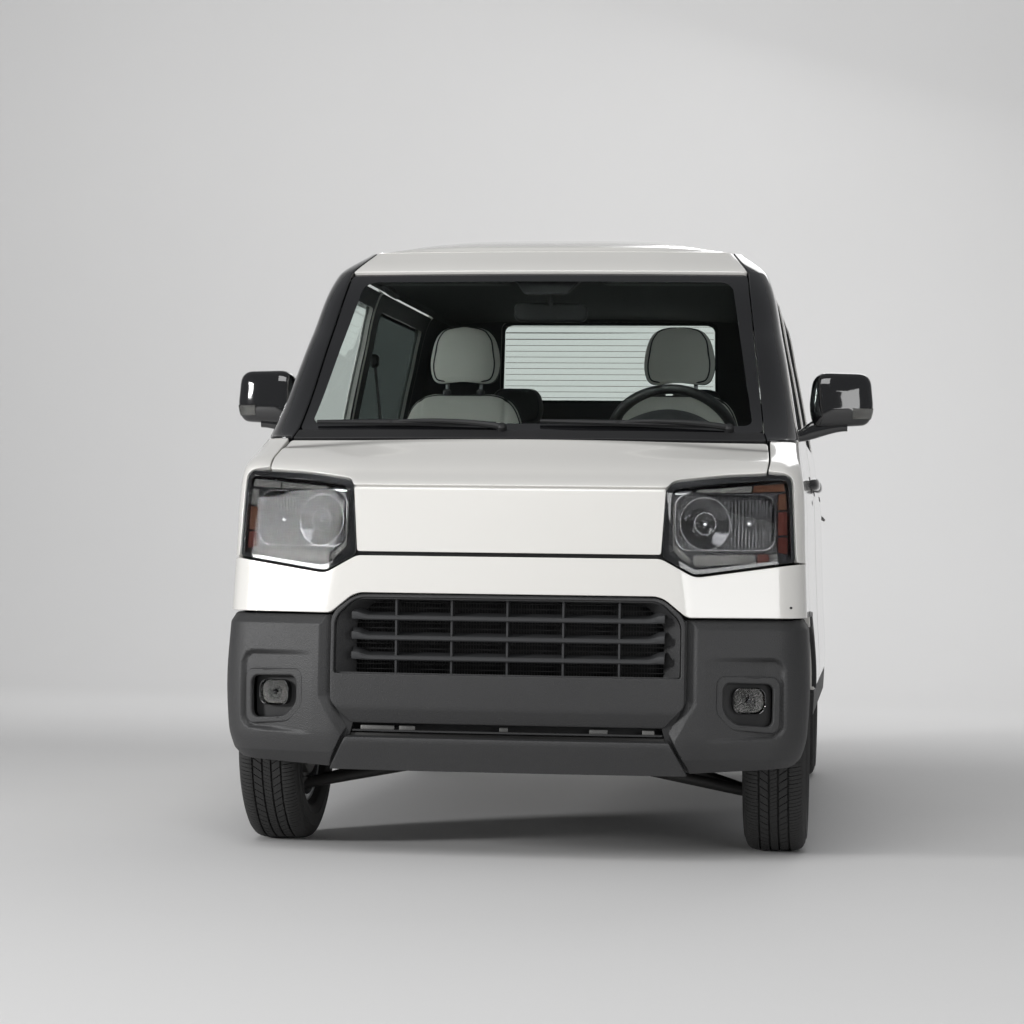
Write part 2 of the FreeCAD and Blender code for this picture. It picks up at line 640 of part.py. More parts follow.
handle_bar = rounded("handle_bar", box("handle_block", (HALF - 36, HALF - 1),
                     (FRONT + 1195, FRONT + 1345), (934, 962)), 9, choose=lambda edge: True)
handle_front = cut("handle_front", handle_bar, body_form)
slide_handle_bar = rounded("slide_handle_bar", box(
    "slide_handle_block", (HALF - 36, HALF - 1), (FRONT + 1525, FRONT + 1675), (934, 962)), 9,
    choose=lambda edge: True)

door_left = fuse("front_door_left_shape", cut("front_panel_cleared", front_panel,
                                              *pin_rooms_door),
                 door_flare, handle_front, *door_barrels)
sub_part("front_door_left", door_left)
sub_part("front_door_right", mirrored("front_door_right_shape", door_left))
slide_full = fuse("slide_door_full", slide_left, slide_handle_bar)
sub_part("sliding_door_left", slide_full)
sub_part("sliding_door_right", mirrored("slide_door_right_shape", slide_full))

# Bonnet with its hinge line just ahead of the cowl.
def level_at(height, levels):
    """The plan section at a height between two of the table's levels."""
    rows = [[as_size(value).value for value in level] for level in levels]
    for low, high in zip(rows, rows[1:]):
        if low[0] <= height <= high[0]:
            share = (height - low[0]) / (high[0] - low[0])
            return [a + (b - a) * share for a, b in zip(low, high)]
    raise ValueError(f"no level at {height}")


BONNET_HINGE_Y = FRONT + 374
BONNET_HINGE_Z = d.belt - 11
BONNET_HINGE_X = HALF - 150
bonnet_edge = level_at((d.belt - 14).value, LOWER_LEVELS)
bonnet_edge[0] = 1000
behind_bonnet = shape_feature("behind_bonnet", Part.Face(level_wire(bonnet_edge, 0)).extrude(
    Vector(0, 0, 120)))
bonnet_skin = cut("bonnet_skin", common("bonnet_raw", open_shell, bonnet_zone), behind_bonnet)
bonnet_barrels = []
cowl_barrels = []
for side, sign in (("left", 1), ("right", -1)):
    middle = sign * BONNET_HINGE_X
    # Columns: owner's list, start of the barrel from the hinge's middle, leaf's side of the pin.
    for pieces, offset, behind in ((bonnet_barrels, 0.2, False), (cowl_barrels, -20.2, True)):
        start = (middle + offset, BONNET_HINGE_Y, BONNET_HINGE_Z)
        tag = f"{side}_{'cowl' if behind else 'bonnet'}"
        pieces.append(cylinder(f"bonnet_barrel_{tag}", "X", start, 5, 20))
        reach = (BONNET_HINGE_Y, BONNET_HINGE_Y + 26) if behind else (
            BONNET_HINGE_Y - 34, BONNET_HINGE_Y)
        pieces.append(box(f"bonnet_leaf_{tag}", (start[0], start[0] + 20), reach,
                          (BONNET_HINGE_Z - 5, BONNET_HINGE_Z + (5 if behind else -1))))
bonnet_clear = [cylinder(f"bonnet_clear_{side}", "X",
                         (sign * BONNET_HINGE_X - 21, BONNET_HINGE_Y, BONNET_HINGE_Z), 8, 42)
                for side, sign in (("left", 1), ("right", -1))]
sub_part("bonnet", fuse("bonnet_shape", cut("bonnet_cleared", bonnet_skin, *bonnet_clear),
                        *bonnet_barrels))
sub_part("cowl", fuse("cowl_full", cut("cowl_cleared", cowl, *bonnet_clear), *cowl_barrels))

# Roof: a crowned skin on the edge of the cab.  Columns: depth, rise at the middle, rise at the edge.
ROOF_STATIONS = [(850, 8, -12), (1000, 45, 3), (1300, 66, 14), (1700, 75, 18), (2200, 68, 12),
                 (2640, 44, -4)]


def roof_form(name, drop, inset):
    wires = []
    for depth, middle, edge in ROOF_STATIONS:
        place = (FRONT + depth).value
        side_x = (HALF - 236).value - inset
        top = d.roof_edge.value - drop
        crown = middle * d.roof_rise.value / 75
        points = [Vector(side_x, place, top + edge), Vector(0, place, top + crown),
                  Vector(-side_x, place, top + edge)]
        low = d.roof_edge.value - 40
        wires.append(Part.Wire([
            Part.Arc(*points).toShape(),
            Part.LineSegment(points[2], Vector(-side_x, place, low)).toShape(),
            Part.LineSegment(Vector(-side_x, place, low), Vector(side_x, place, low)).toShape(),
            Part.LineSegment(Vector(side_x, place, low), points[0]).toShape()]))
    return shape_feature(name, Part.makeLoft(wires, True, False))


roof_plan_level = [as_size(value).value for value in UPPER_LEVELS[-1]]
roof_plan = Part.Face(level_wire(roof_plan_level, 0)).extrude(Vector(0, 0, 130))
roof_room_plan = Part.Face(level_wire(roof_plan_level, 26)).extrude(Vector(0, 0, 130))
roof_outer = common("roof_outer", shape_feature("roof_plan", roof_plan),
                    roof_form("roof_crown", 0, 0))
roof_inner = common("roof_inner", shape_feature("roof_room_plan", roof_room_plan),
                    roof_form("roof_under", d.roof_skin.value, 0))
sub_part("roof_panel", cut("roof_shape", roof_outer, roof_inner))
sub_part("cab_shell", cab_shell)

# ---------------------------------------------------------------- cab floor and interior

inner_form = joined_skin("inner_form", d.wall.value + 8)
FLOOR_BOTTOM = d.floor_height - d.floor_plate
WELL_X = HALF - 324
well_room = [cylinder(f"well_room_{side}", "X", (start, FRONT_AXLE, d.tyre_radius), ARCH, 330)
             for side, start in (("left", WELL_X), ("right", -WELL_X - 330))]


def wheel_well(name, centre_y, inner_x, outer_x, bottom):
    """A half drum of sheet over one wheel with a plate on its inner side, for the left side."""
    sheet_metal = 7
    drum = cut(f"{name}_drum",
               cylinder(f"{name}_drum_outer", "X", (inner_x - sheet_metal, centre_y, d.tyre_radius),
                        ARCH + sheet_metal, outer_x - inner_x + sheet_metal),
               cylinder(f"{name}_drum_inner", "X", (inner_x, centre_y, d.tyre_radius), ARCH,
                        outer_x - inner_x + 10))
    zone = box(f"{name}_zone", (0, HALF + 50), (centre_y - 400, centre_y + 400), (bottom, 1200))
    return common(name, drum, zone)


floor_layer = common("floor_layer", inner_form,
                     box("floor_slab", (-HALF, HALF), (FRONT + 205, CAB_REAR), (FLOOR_BOTTOM,
                                                                               d.floor_height)))
front_well = wheel_well("front_well", FRONT_AXLE, WELL_X, HALF - 58, 330)
front_well_right = mirrored("front_well_right", front_well)
firewall = common("firewall", inner_form, prism("firewall_slab", "YZ", [
    (FRONT + 196, FLOOR_BOTTOM), (FRONT + 205, FLOOR_BOTTOM), (FRONT + 205, 820),
    (FRONT + 452, 968), (FRONT + 452, 1046), (FRONT + 443, 1046), (FRONT + 443, 973),
    (FRONT + 196, 826)], -HALF, HALF))
sills = common("sills", cab_hollow, box("sill_slab", (-HALF, HALF), (
    FRONT + d.front_door_start + 360, FRONT + d.slide_door_end + 30), (d.sill_bottom + 12,
                                                                      d.door_bottom - 12)))
sill_pair = cut("sill_pair", sills, box("sill_middle", (-(HALF - 92), HALF - 92), (FRONT, CAB_REAR),
                                        (0, d.floor_height)))
sill_webs = both_sides("sill_webs", box(
    "sill_web", (HALF - 104, HALF - 80), (FRONT + d.front_door_start + 360,
                                          FRONT + d.slide_door_end + 30),
    (d.sill_bottom + 12, d.floor_height)))
riser = cut("riser", box("riser_outer", (-560, 560), (FRONT + 815, FRONT + 1345),
                         (d.floor_height, 602)),
            box("riser_inner", (-548, 548), (FRONT + 827, FRONT + 1333), (0, 590)))
rear_riser = cut("rear_riser", box("rear_riser_outer", (-580, 580), (FRONT + 1990, FRONT + 2430),
                                   (d.floor_height, 602)),
                 box("rear_riser_inner", (-568, 568), (FRONT + 2002, FRONT + 2418), (0, 590)))
strut_rooms = [cylinder(f"strut_room_{side}", "Z", (sign * 522, FRONT_AXLE, 500), 64, 200)
               for side, sign in (("left", 1), ("right", -1))]
towers = [cut(f"tower_{side}", cylinder(f"tower_outer_{side}", "Z",
                                        (sign * 522, FRONT_AXLE, 560), 71, 170),
              cylinder(f"tower_inner_{side}", "Z", (sign * 522, FRONT_AXLE, 500), 64, 218))
          for side, sign in (("left", 1), ("right", -1))]
floor_cleared = cut("floor_cleared", fuse("floor_joined", floor_layer, firewall, front_well,
                                          front_well_right, sill_pair, sill_webs),
                    *well_room, *strut_rooms,
                    box("engine_hole", (-548, 548), (FRONT + 827, FRONT + 1333), (0, 590)))
tower_pair = [cut(f"tower_open_{side}", tower, cylinder(f"tower_well_{side}", "X",
                  (-HALF, FRONT_AXLE, d.tyre_radius), ARCH, HALF * 2))
              for side, tower in zip(("left", "right"), towers)]
sub_part("floor_pan", fuse("floor_pan_shape", floor_cleared, *tower_pair))
seat_boxes = doc.addObject("Part::Compound", "seat_boxes_shape")
seat_boxes.Links = [riser, rear_riser]
sub_part("seat_boxes", seat_boxes)

dash_profile = prism("dash_profile", "YZ", [
    (FRONT + 470, 1046), (FRONT + 690, 1052), (FRONT + 770, 1030), (FRONT + 838, 990),
    (FRONT + 812, 900), (FRONT + 762, 740), (FRONT + 520, 740), (FRONT + 470, 960)],
    -(HALF - 100), HALF - 100)
dash_block = common("dash_block", inner_form, dash_profile)
binnacle = prism("binnacle", "YZ", [
    (FRONT + 660, 1040), (FRONT + 700, 1092), (FRONT + 792, 1098), (FRONT + 806, 1060),
    (FRONT + 790, 1000), (FRONT + 700, 1000)], 235, 435)
WHEEL_X = 335
WHEEL_TILT = 32
WHEEL_POINT = Vector(WHEEL_X, FRONT.value + 955, 1068)
WHEEL_AXIS = Vector(0, math.cos(math.radians(WHEEL_TILT)), math.sin(math.radians(WHEEL_TILT)))
column = leaning_bar("column", WHEEL_POINT - WHEEL_AXIS * 200, WHEEL_POINT - WHEEL_AXIS * 20.3, 24)
dash_mounts = both_sides("dash_mounts", box("dash_mount", (300, 330), (FRONT + 452.3, FRONT + 530),
                                            (980, 1020)))
sub_part("dashboard", fuse("dashboard_shape", dash_block, binnacle, column, dash_mounts))

rim_ring = doc.addObject("Part::Torus", "steering_rim")
rim_ring.Radius1 = 178
rim_ring.Radius2 = 14
hub = doc.addObject("Part::Cylinder", "steering_hub")
hub.Radius = 46
hub.Height = 40
hub.Placement = Placement(Vector(0, 0, -20), Rotation())
spokes = []
for count, turn in enumerate((0, 180, 270)):
    spoke = doc.addObject("Part::Box", f"steering_spoke_{count}")
    spoke.Length = 150
    spoke.Width = 34
    spoke.Height = 14
    spoke.Placement = Placement(Rotation(Vector(0, 0, 1), turn).multVec(Vector(28, -17, -16)),
                                Rotation(Vector(0, 0, 1), turn))
    spokes.append(spoke)
steering = fuse("steering_shape", rim_ring, hub, *spokes)
steering.Placement = Placement(WHEEL_POINT, Rotation(Vector(1, 0, 0), Vector(0, 0, 0), WHEEL_AXIS,
                                                     "ZXY"))
sub_part("steering_wheel", steering)


def seat(name, middle, width, front_depth, back_depth, base, top, head_top, head_width):
    """Cushion, reclined back and head restraint of one seat as one solid."""
    low = middle - width / 2
    high = middle + width / 2
    cushion = rounded(f"{name}_cushion", box(f"{name}_cushion_block", (low, high), (
        FRONT + front_depth, FRONT + back_depth + 40), (base, base + 125)), 22,
        choose=lambda edge: True)
    back = prism(f"{name}_back", "YZ", [
        (FRONT + back_depth - 20, base + 40), (FRONT + back_depth + 90, base + 40),
        (FRONT + back_depth + 128, top), (FRONT + back_depth + 52, top)], low + 12, high - 12, 20)
    head = rounded(f"{name}_head", box(f"{name}_head_block", (middle - head_width / 2,
                                                              middle + head_width / 2),
                                       (FRONT + back_depth + 45, FRONT + back_depth + 125),
                                       (top + 22, head_top)), 22, choose=lambda edge: True)
    posts = [cylinder(f"{name}_post_{count}", "Z", (middle + shift, FRONT + back_depth + 88,
                                                    top - 20), 6, 60)
             for count, shift in enumerate((-55, 55))]
    return fuse(name, cushion, back, head, *posts)


SEAT_X = 322
seat_left = seat("seat_left", SEAT_X, 470, 880, 1270, 602, 1225, 1415, 215)
sub_part("front_seats", both_sides("front_seat_pair", seat_left))
bench_left = seat("bench_left", 300, 560, 1960, 2370, 602, 1130, 1290, 200)
sub_part("rear_bench", both_sides("bench_pair", bench_left))

mirror_stalk = box("inner_mirror_stalk", (-12, 12), (FRONT + 815, FRONT + 872), (1452, 1500))
sensor_box = prism("sensor_box", "YZ", [
    (FRONT + 742, 1462), (FRONT + 800, 1542), (FRONT + 880, 1542), (FRONT + 860, 1470)], -55, 55)
inner_mirror = rounded("inner_mirror", box("inner_mirror_block", (-105, 105), (
    FRONT + 858, FRONT + 890), (1398, 1458)), 12, choose=lambda edge: True)
sub_part("interior_mirror", cut("interior_mirror_shape", fuse(
    "interior_mirror_raw", mirror_stalk, sensor_box, inner_mirror), body_shell, glass_layer))

# Wipers: a blade and an arm on each side, parked along the foot of the windscreen.
# Columns: pivot (x, depth), blade start and end (x, depth), each with its height above the belt.
WIPERS = [((HALF - 215, 383, 22), (HALF - 335, 352, 30), (HALF - 700, 318, 34)),
          ((HALF - 795, 312, 24), (HALF - 925, 330, 32), (HALF - 1300, 372, 26))]
wiper_parts = []
for count, (pivot, start, end) in enumerate(WIPERS):
    places = [(x, FRONT + depth, d.belt + rise) for x, depth, rise in (pivot, start, end)]
    wiper_parts.append(leaning_bar(f"wiper_blade_{count}", places[1], places[2], 5))
    middle = [(a + b) / 2 for a, b in zip(places[1], places[2])]
    wiper_parts.append(leaning_bar(f"wiper_arm_{count}", places[0], middle, 6))
    wiper_parts.append(cylinder(f"wiper_pivot_{count}", "Z", (
        places[0][0], places[0][1], d.belt - 20), 9, 46))
sub_part("wipers", cut("wiper_shape", fuse("wiper_raw", *wiper_parts), body_form))

# ---------------------------------------------------------------- frame, engine and running gear

RAIL_TOP = FLOOR_BOTTOM
RAIL_BOTTOM = RAIL_TOP - d.rail_height
RAIL_IN = d.rail_x - d.rail_width / 2
RAIL_OUT = d.rail_x + d.rail_width / 2
BUMPER_BAR_BACK = FRONT + 112
rail = box("rail", (RAIL_IN, RAIL_OUT), (BUMPER_BAR_BACK, REAR - 75), (RAIL_BOTTOM, RAIL_TOP))
bumper_bar = common("bumper_bar", cab_hollow, box("bumper_bar_block", (-430, 430), (
    FRONT + 30, BUMPER_BAR_BACK), (RAIL_BOTTOM + 10, RAIL_TOP - 10)))
CROSS_DEPTHS = (690, 1400, 2050, 2620, 3270)
cross_bars = [box(f"cross_bar_{depth}", (-RAIL_IN, RAIL_IN), (FRONT + depth, FRONT + depth + 50),
                  (RAIL_TOP - 60, RAIL_TOP)) for depth in CROSS_DEPTHS]
sub_part("chassis_frame", fuse("chassis_shape", rail, mirrored("rail_right", rail), bumper_bar,
                               *cross_bars))

engine = rounded("engine_block_shape", box("engine_raw", (-RAIL_IN + 0.3, RAIL_IN - 0.3), (
    FRONT + 845, FRONT + 1285), (225, 570)), 18, choose=lambda edge: True)
sub_part("engine_block", engine)

# Front suspension: subframe, arms and steering rack, fixed as it stands at rest.
BALL = Vector(d.ball_joint_x.value, FRONT_AXLE.value, d.ball_joint_z.value)
STRUT_TOP = Vector(d.strut_top_x.value, FRONT_AXLE.value, d.strut_top_z.value)
KING_AXIS = (STRUT_TOP - BALL).normalize()
ARM_PIN = 18
ARM_END = BALL - KING_AXIS * 22
socket = leaning_bar("ball_socket", BALL - KING_AXIS * 30, BALL, ARM_PIN)
arm_rear = leaning_bar("arm_rear", (330, FRONT_AXLE + 215, 212), ARM_END, 13)
arm_front = leaning_bar("arm_front", (300, FRONT_AXLE - 30, 205), ARM_END, 15)
rail_drop = box("rail_drop", (RAIL_IN, RAIL_OUT), (FRONT_AXLE + 180, FRONT_AXLE + 250),
                (190, RAIL_BOTTOM))
front_drop = box("front_drop", (RAIL_IN - 30, RAIL_OUT - 20), (FRONT_AXLE - 70, FRONT_AXLE + 20),
                 (190, RAIL_BOTTOM))
subframe = box("subframe", (-RAIL_OUT + 20, RAIL_OUT - 20), (FRONT_AXLE - 70, FRONT_AXLE + 20),
               (190, 235))
rack = cylinder("rack", "X", (-330, FRONT_AXLE + 120, 262), 22, 660)
rack_mounts = [box(f"rack_mount_{side}", (sign * 230 - 15, sign * 230 + 15),
                   (FRONT_AXLE, FRONT_AXLE + 125), (215, 262))
               for side, sign in (("left", 1), ("right", -1))]
left_links = [socket, arm_rear, arm_front, rail_drop, front_drop]
right_links = [mirrored(f"{piece.Name}_right", piece) for piece in left_links]
sub_part("front_suspension", fuse("front_suspension_shape", subframe, rack, *rack_mounts,
                                  *left_links, *right_links))

# Knuckles: stub axle, drum, ball pin, strut and spring of each steered wheel.
FRONT_WHEEL_X = d.front_track / 2
REAR_WHEEL_X = d.rear_track / 2
WHEEL_FACE = 12          # from the wheel's middle plane to its mounting face
DISC = 7
DRUM_RADIUS = 96


def king_point(height):
    return BALL + KING_AXIS * ((height - BALL.z) / KING_AXIS.z)


stub = cylinder("front_stub", "X", (FRONT_WHEEL_X - 60, FRONT_AXLE, d.tyre_radius), d.hub_radius,
                60 + WHEEL_FACE + DISC + 18)
drum = cylinder("front_drum", "X", (FRONT_WHEEL_X - 62, FRONT_AXLE, d.tyre_radius), DRUM_RADIUS,
                62 + WHEEL_FACE - d.seat_gap)
ball_pin = leaning_bar("ball_pin", BALL + KING_AXIS * 0.3, king_point(215), 13)
upright = box("upright", (FRONT_WHEEL_X - 78, FRONT_WHEEL_X - 55), (FRONT_AXLE - 34, FRONT_AXLE + 34),
              (196, 366))
strut_link = leaning_bar("strut_link", (FRONT_WHEEL_X - 74, FRONT_AXLE, 345), king_point(512), 12)
strut = leaning_bar("strut", king_point(500), king_point(700), 20)
spring_seat = leaning_bar("spring_seat", king_point(590), king_point(597), 50)
spring = leaning_bar("spring", king_point(597), king_point(688), 42)
steer_arm = box("steer_arm", (FRONT_WHEEL_X - 90, FRONT_WHEEL_X - 62),
                (FRONT_AXLE, FRONT_AXLE + 96), (250, 272))
knuckle_left = fuse("knuckle_left_shape", stub, drum, ball_pin, upright, strut_link, strut,
                    spring_seat, spring, steer_arm)
sub_part("knuckle_left", knuckle_left)
sub_part("knuckle_right", mirrored("knuckle_right_shape", knuckle_left))

# Rear axle with its differential, propeller shaft and stub axles; leaf springs and hangers.
axle_tube = cylinder("axle_tube", "X", (-(REAR_WHEEL_X - 62), REAR_AXLE, d.tyre_radius), 36,
                     2 * (REAR_WHEEL_X - 62))
differential = cylinder("differential", "Y", (0, REAR_AXLE - 95, d.tyre_radius), 92, 170, 70)
prop_shaft = leaning_bar("prop_shaft", (0, FRONT + 1289, 350),
                         (0, REAR_AXLE - 80, d.tyre_radius), 28)
rear_stub = cylinder("rear_stub", "X", (REAR_WHEEL_X - 64, REAR_AXLE, d.tyre_radius),
                     d.hub_radius, 64 + WHEEL_FACE + DISC + 18)
rear_drum = cylinder("rear_drum", "X", (REAR_WHEEL_X - 62, REAR_AXLE, d.tyre_radius),
                     DRUM_RADIUS, 62 + WHEEL_FACE - d.seat_gap)
sub_part("rear_axle", fuse("rear_axle_shape", axle_tube, differential, prop_shaft, rear_stub,
                           rear_drum, mirrored("rear_stub_right", rear_stub),
                           mirrored("rear_drum_right", rear_drum)))
SPRING_X = d.rail_x
spring_stack = prism("spring_stack", "YZ", [
    (REAR_AXLE - 390, 352), (REAR_AXLE - 60, 318), (REAR_AXLE + 60, 318), (REAR_AXLE + 340, 352),
    (REAR_AXLE + 340, 340), (REAR_AXLE + 130, 305), (REAR_AXLE - 130, 305), (REAR_AXLE - 390, 340)],
    SPRING_X - 25, SPRING_X + 25)
hangers = [box(f"hanger_{count}", (SPRING_X - 25, SPRING_X + 25), (start, start + 40),
               (335, RAIL_BOTTOM))
           for count, start in enumerate((REAR_AXLE - 400, REAR_AXLE + 310))]
damper = leaning_bar("damper", (SPRING_X - 60, REAR_AXLE + 45, 306), (SPRING_X - 60, REAR_AXLE + 170,
                                                                     450), 19)
damper_foot = box("damper_foot", (SPRING_X - 80, SPRING_X), (REAR_AXLE + 37, REAR_AXLE + 75),
                  (296, 318))
springs_left = cut("springs_left", fuse("springs_joined", spring_stack, damper, damper_foot,
                                        *hangers), axle_tube)
sub_part("rear_springs", both_sides("rear_springs_pair", springs_left))

muffler = rounded("muffler", cylinder("muffler_raw", "Y", (-190, FRONT + 1750, 318), 62, 480), 14,
                  choose=lambda edge: edge.Length > 300)
pipe_points = [(-150, 1285.3, 300), (-150, 1330, 300), (-190, 1430, 312), (-190, 1760, 318)]
pipes = [leaning_bar(f"exhaust_pipe_{count}", (a[0], FRONT + a[1], a[2]), (b[0], FRONT + b[1], b[2]),
                     21) for count, (a, b) in enumerate(zip(pipe_points, pipe_points[1:]))]
tail_points = [(-190, 2220, 318), (-235, 2420, 340), (-235, 3120, 340), (-235, 3340, 305)]
pipes += [leaning_bar(f"tail_pipe_{count}", (a[0], FRONT + a[1], a[2]), (b[0], FRONT + b[1], b[2]),
                      19) for count, (a, b) in enumerate(zip(tail_points, tail_points[1:]))]
exhaust_hangers = [box("exhaust_hanger_front", (-198, -182), (FRONT + 2055, FRONT + 2095),
                       (370, RAIL_TOP - 60)),
                   box("exhaust_hanger_rear", (-243, -227), (FRONT + 3280, FRONT + 3310),
                       (290, RAIL_TOP - 60))]
sub_part("exhaust", fuse("exhaust_shape", muffler, *pipes, *exhaust_hangers))
tank = rounded("fuel_tank_shape", box("fuel_tank_raw", (60, RAIL_IN - 0.3), (
    FRONT + 1500, FRONT + 2000), (235, 452)), 24, choose=lambda edge: True)
sub_part("fuel_tank", tank)

# ---------------------------------------------------------------- wheels


def turned_body(name, corners, place, holes=None):
    """A PartDesign body turned about the wheel's axis from (across, radius) corners."""
    body = doc.addObject("PartDesign::Body", name)
    sketch = body.newObject("Sketcher::SketchObject", f"{name}_profile")
    plane = [part for part in body.Origin.OriginFeatures if part.Role == "XZ_Plane"][0]
    sketch.AttachmentSupport = [(plane, "")]
    sketch.MapMode = "FlatFace"
    points = [(as_size(across), as_size(radius)) for across, radius in corners]
    count = len(points)
    for index in range(count):
        begin = points[index]
        finish = points[(index + 1) % count]
        sketch.addGeometry(Part.LineSegment(Vector(begin[0].value, begin[1].value, 0),
                                            Vector(finish[0].value, finish[1].value, 0)), False)
    for index in range(count):
        sketch.addConstraint(
            Sketcher.Constraint("Coincident", index, 2, (index + 1) % count, 1))
    for index, point in enumerate(points):
        for direction, size in zip(("DistanceX", "DistanceY"), point):
            number = sketch.addConstraint(
                Sketcher.Constraint(direction, -1, 1, index, 1, size.value))
            sketch.setExpression(f"Constraints[{number}]", size.text)
    turned = body.newObject("PartDesign::Revolution", f"{name}_turned")
    turned.Profile = sketch
    turned.ReferenceAxis = (sketch, ["H_Axis"])
    turned.Angle = 360
    if holes:
        doc.recompute()
        across, radius, hole_radius, number = holes
        circle = body.newObject("Sketcher::SketchObject", f"{name}_hole_circle")
        side = [part for part in body.Origin.OriginFeatures if part.Role == "YZ_Plane"][0]
        circle.AttachmentSupport = [(side, "")]
        circle.MapMode = "FlatFace"
        circle.addGeometry(Part.Circle(Vector(0, radius, 0), Vector(0, 0, 1), hole_radius), False)
        circle.addConstraint(Sketcher.Constraint("PointOnObject", 0, 3, -2))
        circle.addConstraint(Sketcher.Constraint("DistanceY", -1, 1, 0, 3, radius))
        circle.addConstraint(Sketcher.Constraint("Radius", 0, hole_radius))
        pocket = body.newObject("PartDesign::Pocket", f"{name}_hole")
        pocket.Profile = circle
        pocket.SideType = "Symmetric"
        pocket.Length = across
        pattern = body.newObject("PartDesign::PolarPattern", f"{name}_holes")
        pattern.Originals = [pocket]
        pattern.Axis = (sketch, ["H_Axis"])
        pattern.Angle = 360
        pattern.Occurrences = number
        body.Tip = pattern
    sign, x, y = place
    turn = Rotation() if sign > 0 else Rotation(Vector(0, 0, 1), 180)
    body.Placement = Placement(Vector(), turn)
    bind(body, Placement__Base__x=x if sign > 0 else -x, Placement__Base__y=y,
         Placement__Base__z=d.tyre_radius)
    return body


HALF_TYRE = d.tyre_width / 2
HALF_RIM = d.rim_width / 2
BEAD = d.rim_radius + 6
TYRE_PROFILE = [
    (HALF_RIM - 6 - d.seat_gap, BEAD), (HALF_RIM - 5, BEAD + 14), (HALF_TYRE - 4, BEAD + 36),
    (HALF_TYRE, BEAD + 64),
    (HALF_TYRE - 6, BEAD + 92), (HALF_TYRE - 16, d.tyre_radius - 5), (HALF_TYRE - 36, d.tyre_radius)]
TYRE_INSIDE = [(HALF_TYRE - 44, d.tyre_radius - 16), (HALF_TYRE - 14, BEAD + 70),
               (HALF_TYRE - 38, BEAD)]


def tyre_corners():
    """The whole tyre section: out over the left shoulder, across the tread and back inside."""
    outer = [(-x, radius) for x, radius in reversed(TYRE_PROFILE)]
    inner = [(-x, radius) for x, radius in reversed(TYRE_INSIDE)]
    return TYRE_PROFILE + outer + inner + TYRE_INSIDE


def rim_corners():
    """Flange, bead seat and well outside, then the wheel disc with its hub bore."""
    bore = d.hub_radius + d.hub_clearance
    seat_radius = BEAD - d.seat_gap
    face = WHEEL_FACE
    return [
        (-HALF_RIM, seat_radius + 12), (-HALF_RIM + 4, seat_radius + 12),
        (-HALF_RIM + 6, seat_radius), (-HALF_RIM + 26, seat_radius), (-HALF_RIM + 34, BEAD - 18),
        (HALF_RIM - 40, BEAD - 18), (HALF_RIM - 28, seat_radius), (HALF_RIM - 6, seat_radius),
        (HALF_RIM - 4, seat_radius + 12), (HALF_RIM, seat_radius + 12),
        (HALF_RIM, seat_radius - 5), (HALF_RIM - 26, seat_radius - 6),
        (face + DISC + 16, BEAD - 34), (face + DISC + 16, 92), (face + DISC, 78),
        (face + DISC, bore), (face, bore), (face, 84), (face + 9, 96), (face + 9, BEAD - 26),
        (HALF_RIM - 44, BEAD - 23), (-HALF_RIM + 32, BEAD - 23), (-HALF_RIM + 22, seat_radius - 5),
        (-HALF_RIM, seat_radius - 5)]


WHEELS = {"front_left": (1, FRONT_WHEEL_X, FRONT_AXLE), "front_right": (-1, FRONT_WHEEL_X, FRONT_AXLE),
          "rear_left": (1, REAR_WHEEL_X, REAR_AXLE), "rear_right": (-1, REAR_WHEEL_X, REAR_AXLE)}
for corner, place in WHEELS.items():
    sub_part(f"tyre_{corner}", turned_body(f"tyre_{corner}_body", tyre_corners(), place))
    sub_part(f"rim_{corner}", turned_body(f"rim_{corner}_body", rim_corners(), place,
                                          holes=(120, 112, 14, 8)))

# ---------------------------------------------------------------- load bed

BED_BACK = REAR - 6 - d.gate_thickness - d.door_gap
BED_HALF = HALF - d.bed_inset
GATE_HALF = BED_HALF - d.post_width
BED_FLOOR_LOW = d.bed_floor - d.bed_plate
rear_arch = cylinder("rear_arch", "X", (-SIDE_OUT, REAR_AXLE, d.tyre_radius), ARCH, SIDE_OUT * 2)
bed_floor = box("bed_floor", (-BED_HALF + 5, BED_HALF - 5), (BED_FRONT, BED_BACK),
                (BED_FLOOR_LOW, d.bed_floor))
bed_front_wall = box("bed_front_wall", (-BED_HALF + 2, BED_HALF - 2), (
    BED_FRONT, BED_FRONT + d.bed_wall), (BED_FLOOR_LOW, d.bed_top))
bed_side = prism("bed_side", "XZ", [
    (BED_HALF - d.bed_wall, BED_FLOOR_LOW), (BED_HALF - 30, d.sill_bottom + 20),
    (BED_HALF - 4, d.sill_bottom + 20), (BED_HALF, BED_FLOOR_LOW), (BED_HALF - 8, d.bed_top),
    (BED_HALF - d.bed_wall, d.bed_top)], BED_FRONT, BED_BACK)
bed_post = box("bed_post", (GATE_HALF + d.door_gap, BED_HALF - 4), (
    REAR - 95, REAR - 26), (d.sill_bottom + 90, d.bed_top))
bearer = box("bearer", (RAIL_IN, RAIL_OUT), (BED_FRONT, REAR - 75), (RAIL_TOP, BED_FLOOR_LOW))
rear_well = wheel_well("rear_well", REAR_AXLE, BED_HALF - 238, BED_HALF - 2, 400)
rear_sill = box("rear_sill", (-(BED_HALF - 4), BED_HALF - 4), (BED_BACK - 60, BED_BACK),
                (BED_FLOOR_LOW - 60, BED_FLOOR_LOW))
rear_flare_left = cut("rear_flare_left", flare_ring("rear_flare", REAR_AXLE,
                                                    BED_HALF + d.bed_flare), box(
    "rear_flare_inside", (0, BED_HALF + d.seat_gap), (REAR_AXLE - 500, REAR_AXLE + 500), (0, 1000)),
    box("rear_flare_foot", (0, HALF + 10), (REAR_AXLE - 500, REAR_AXLE + 500),
        (-200, d.sill_bottom + 20)))
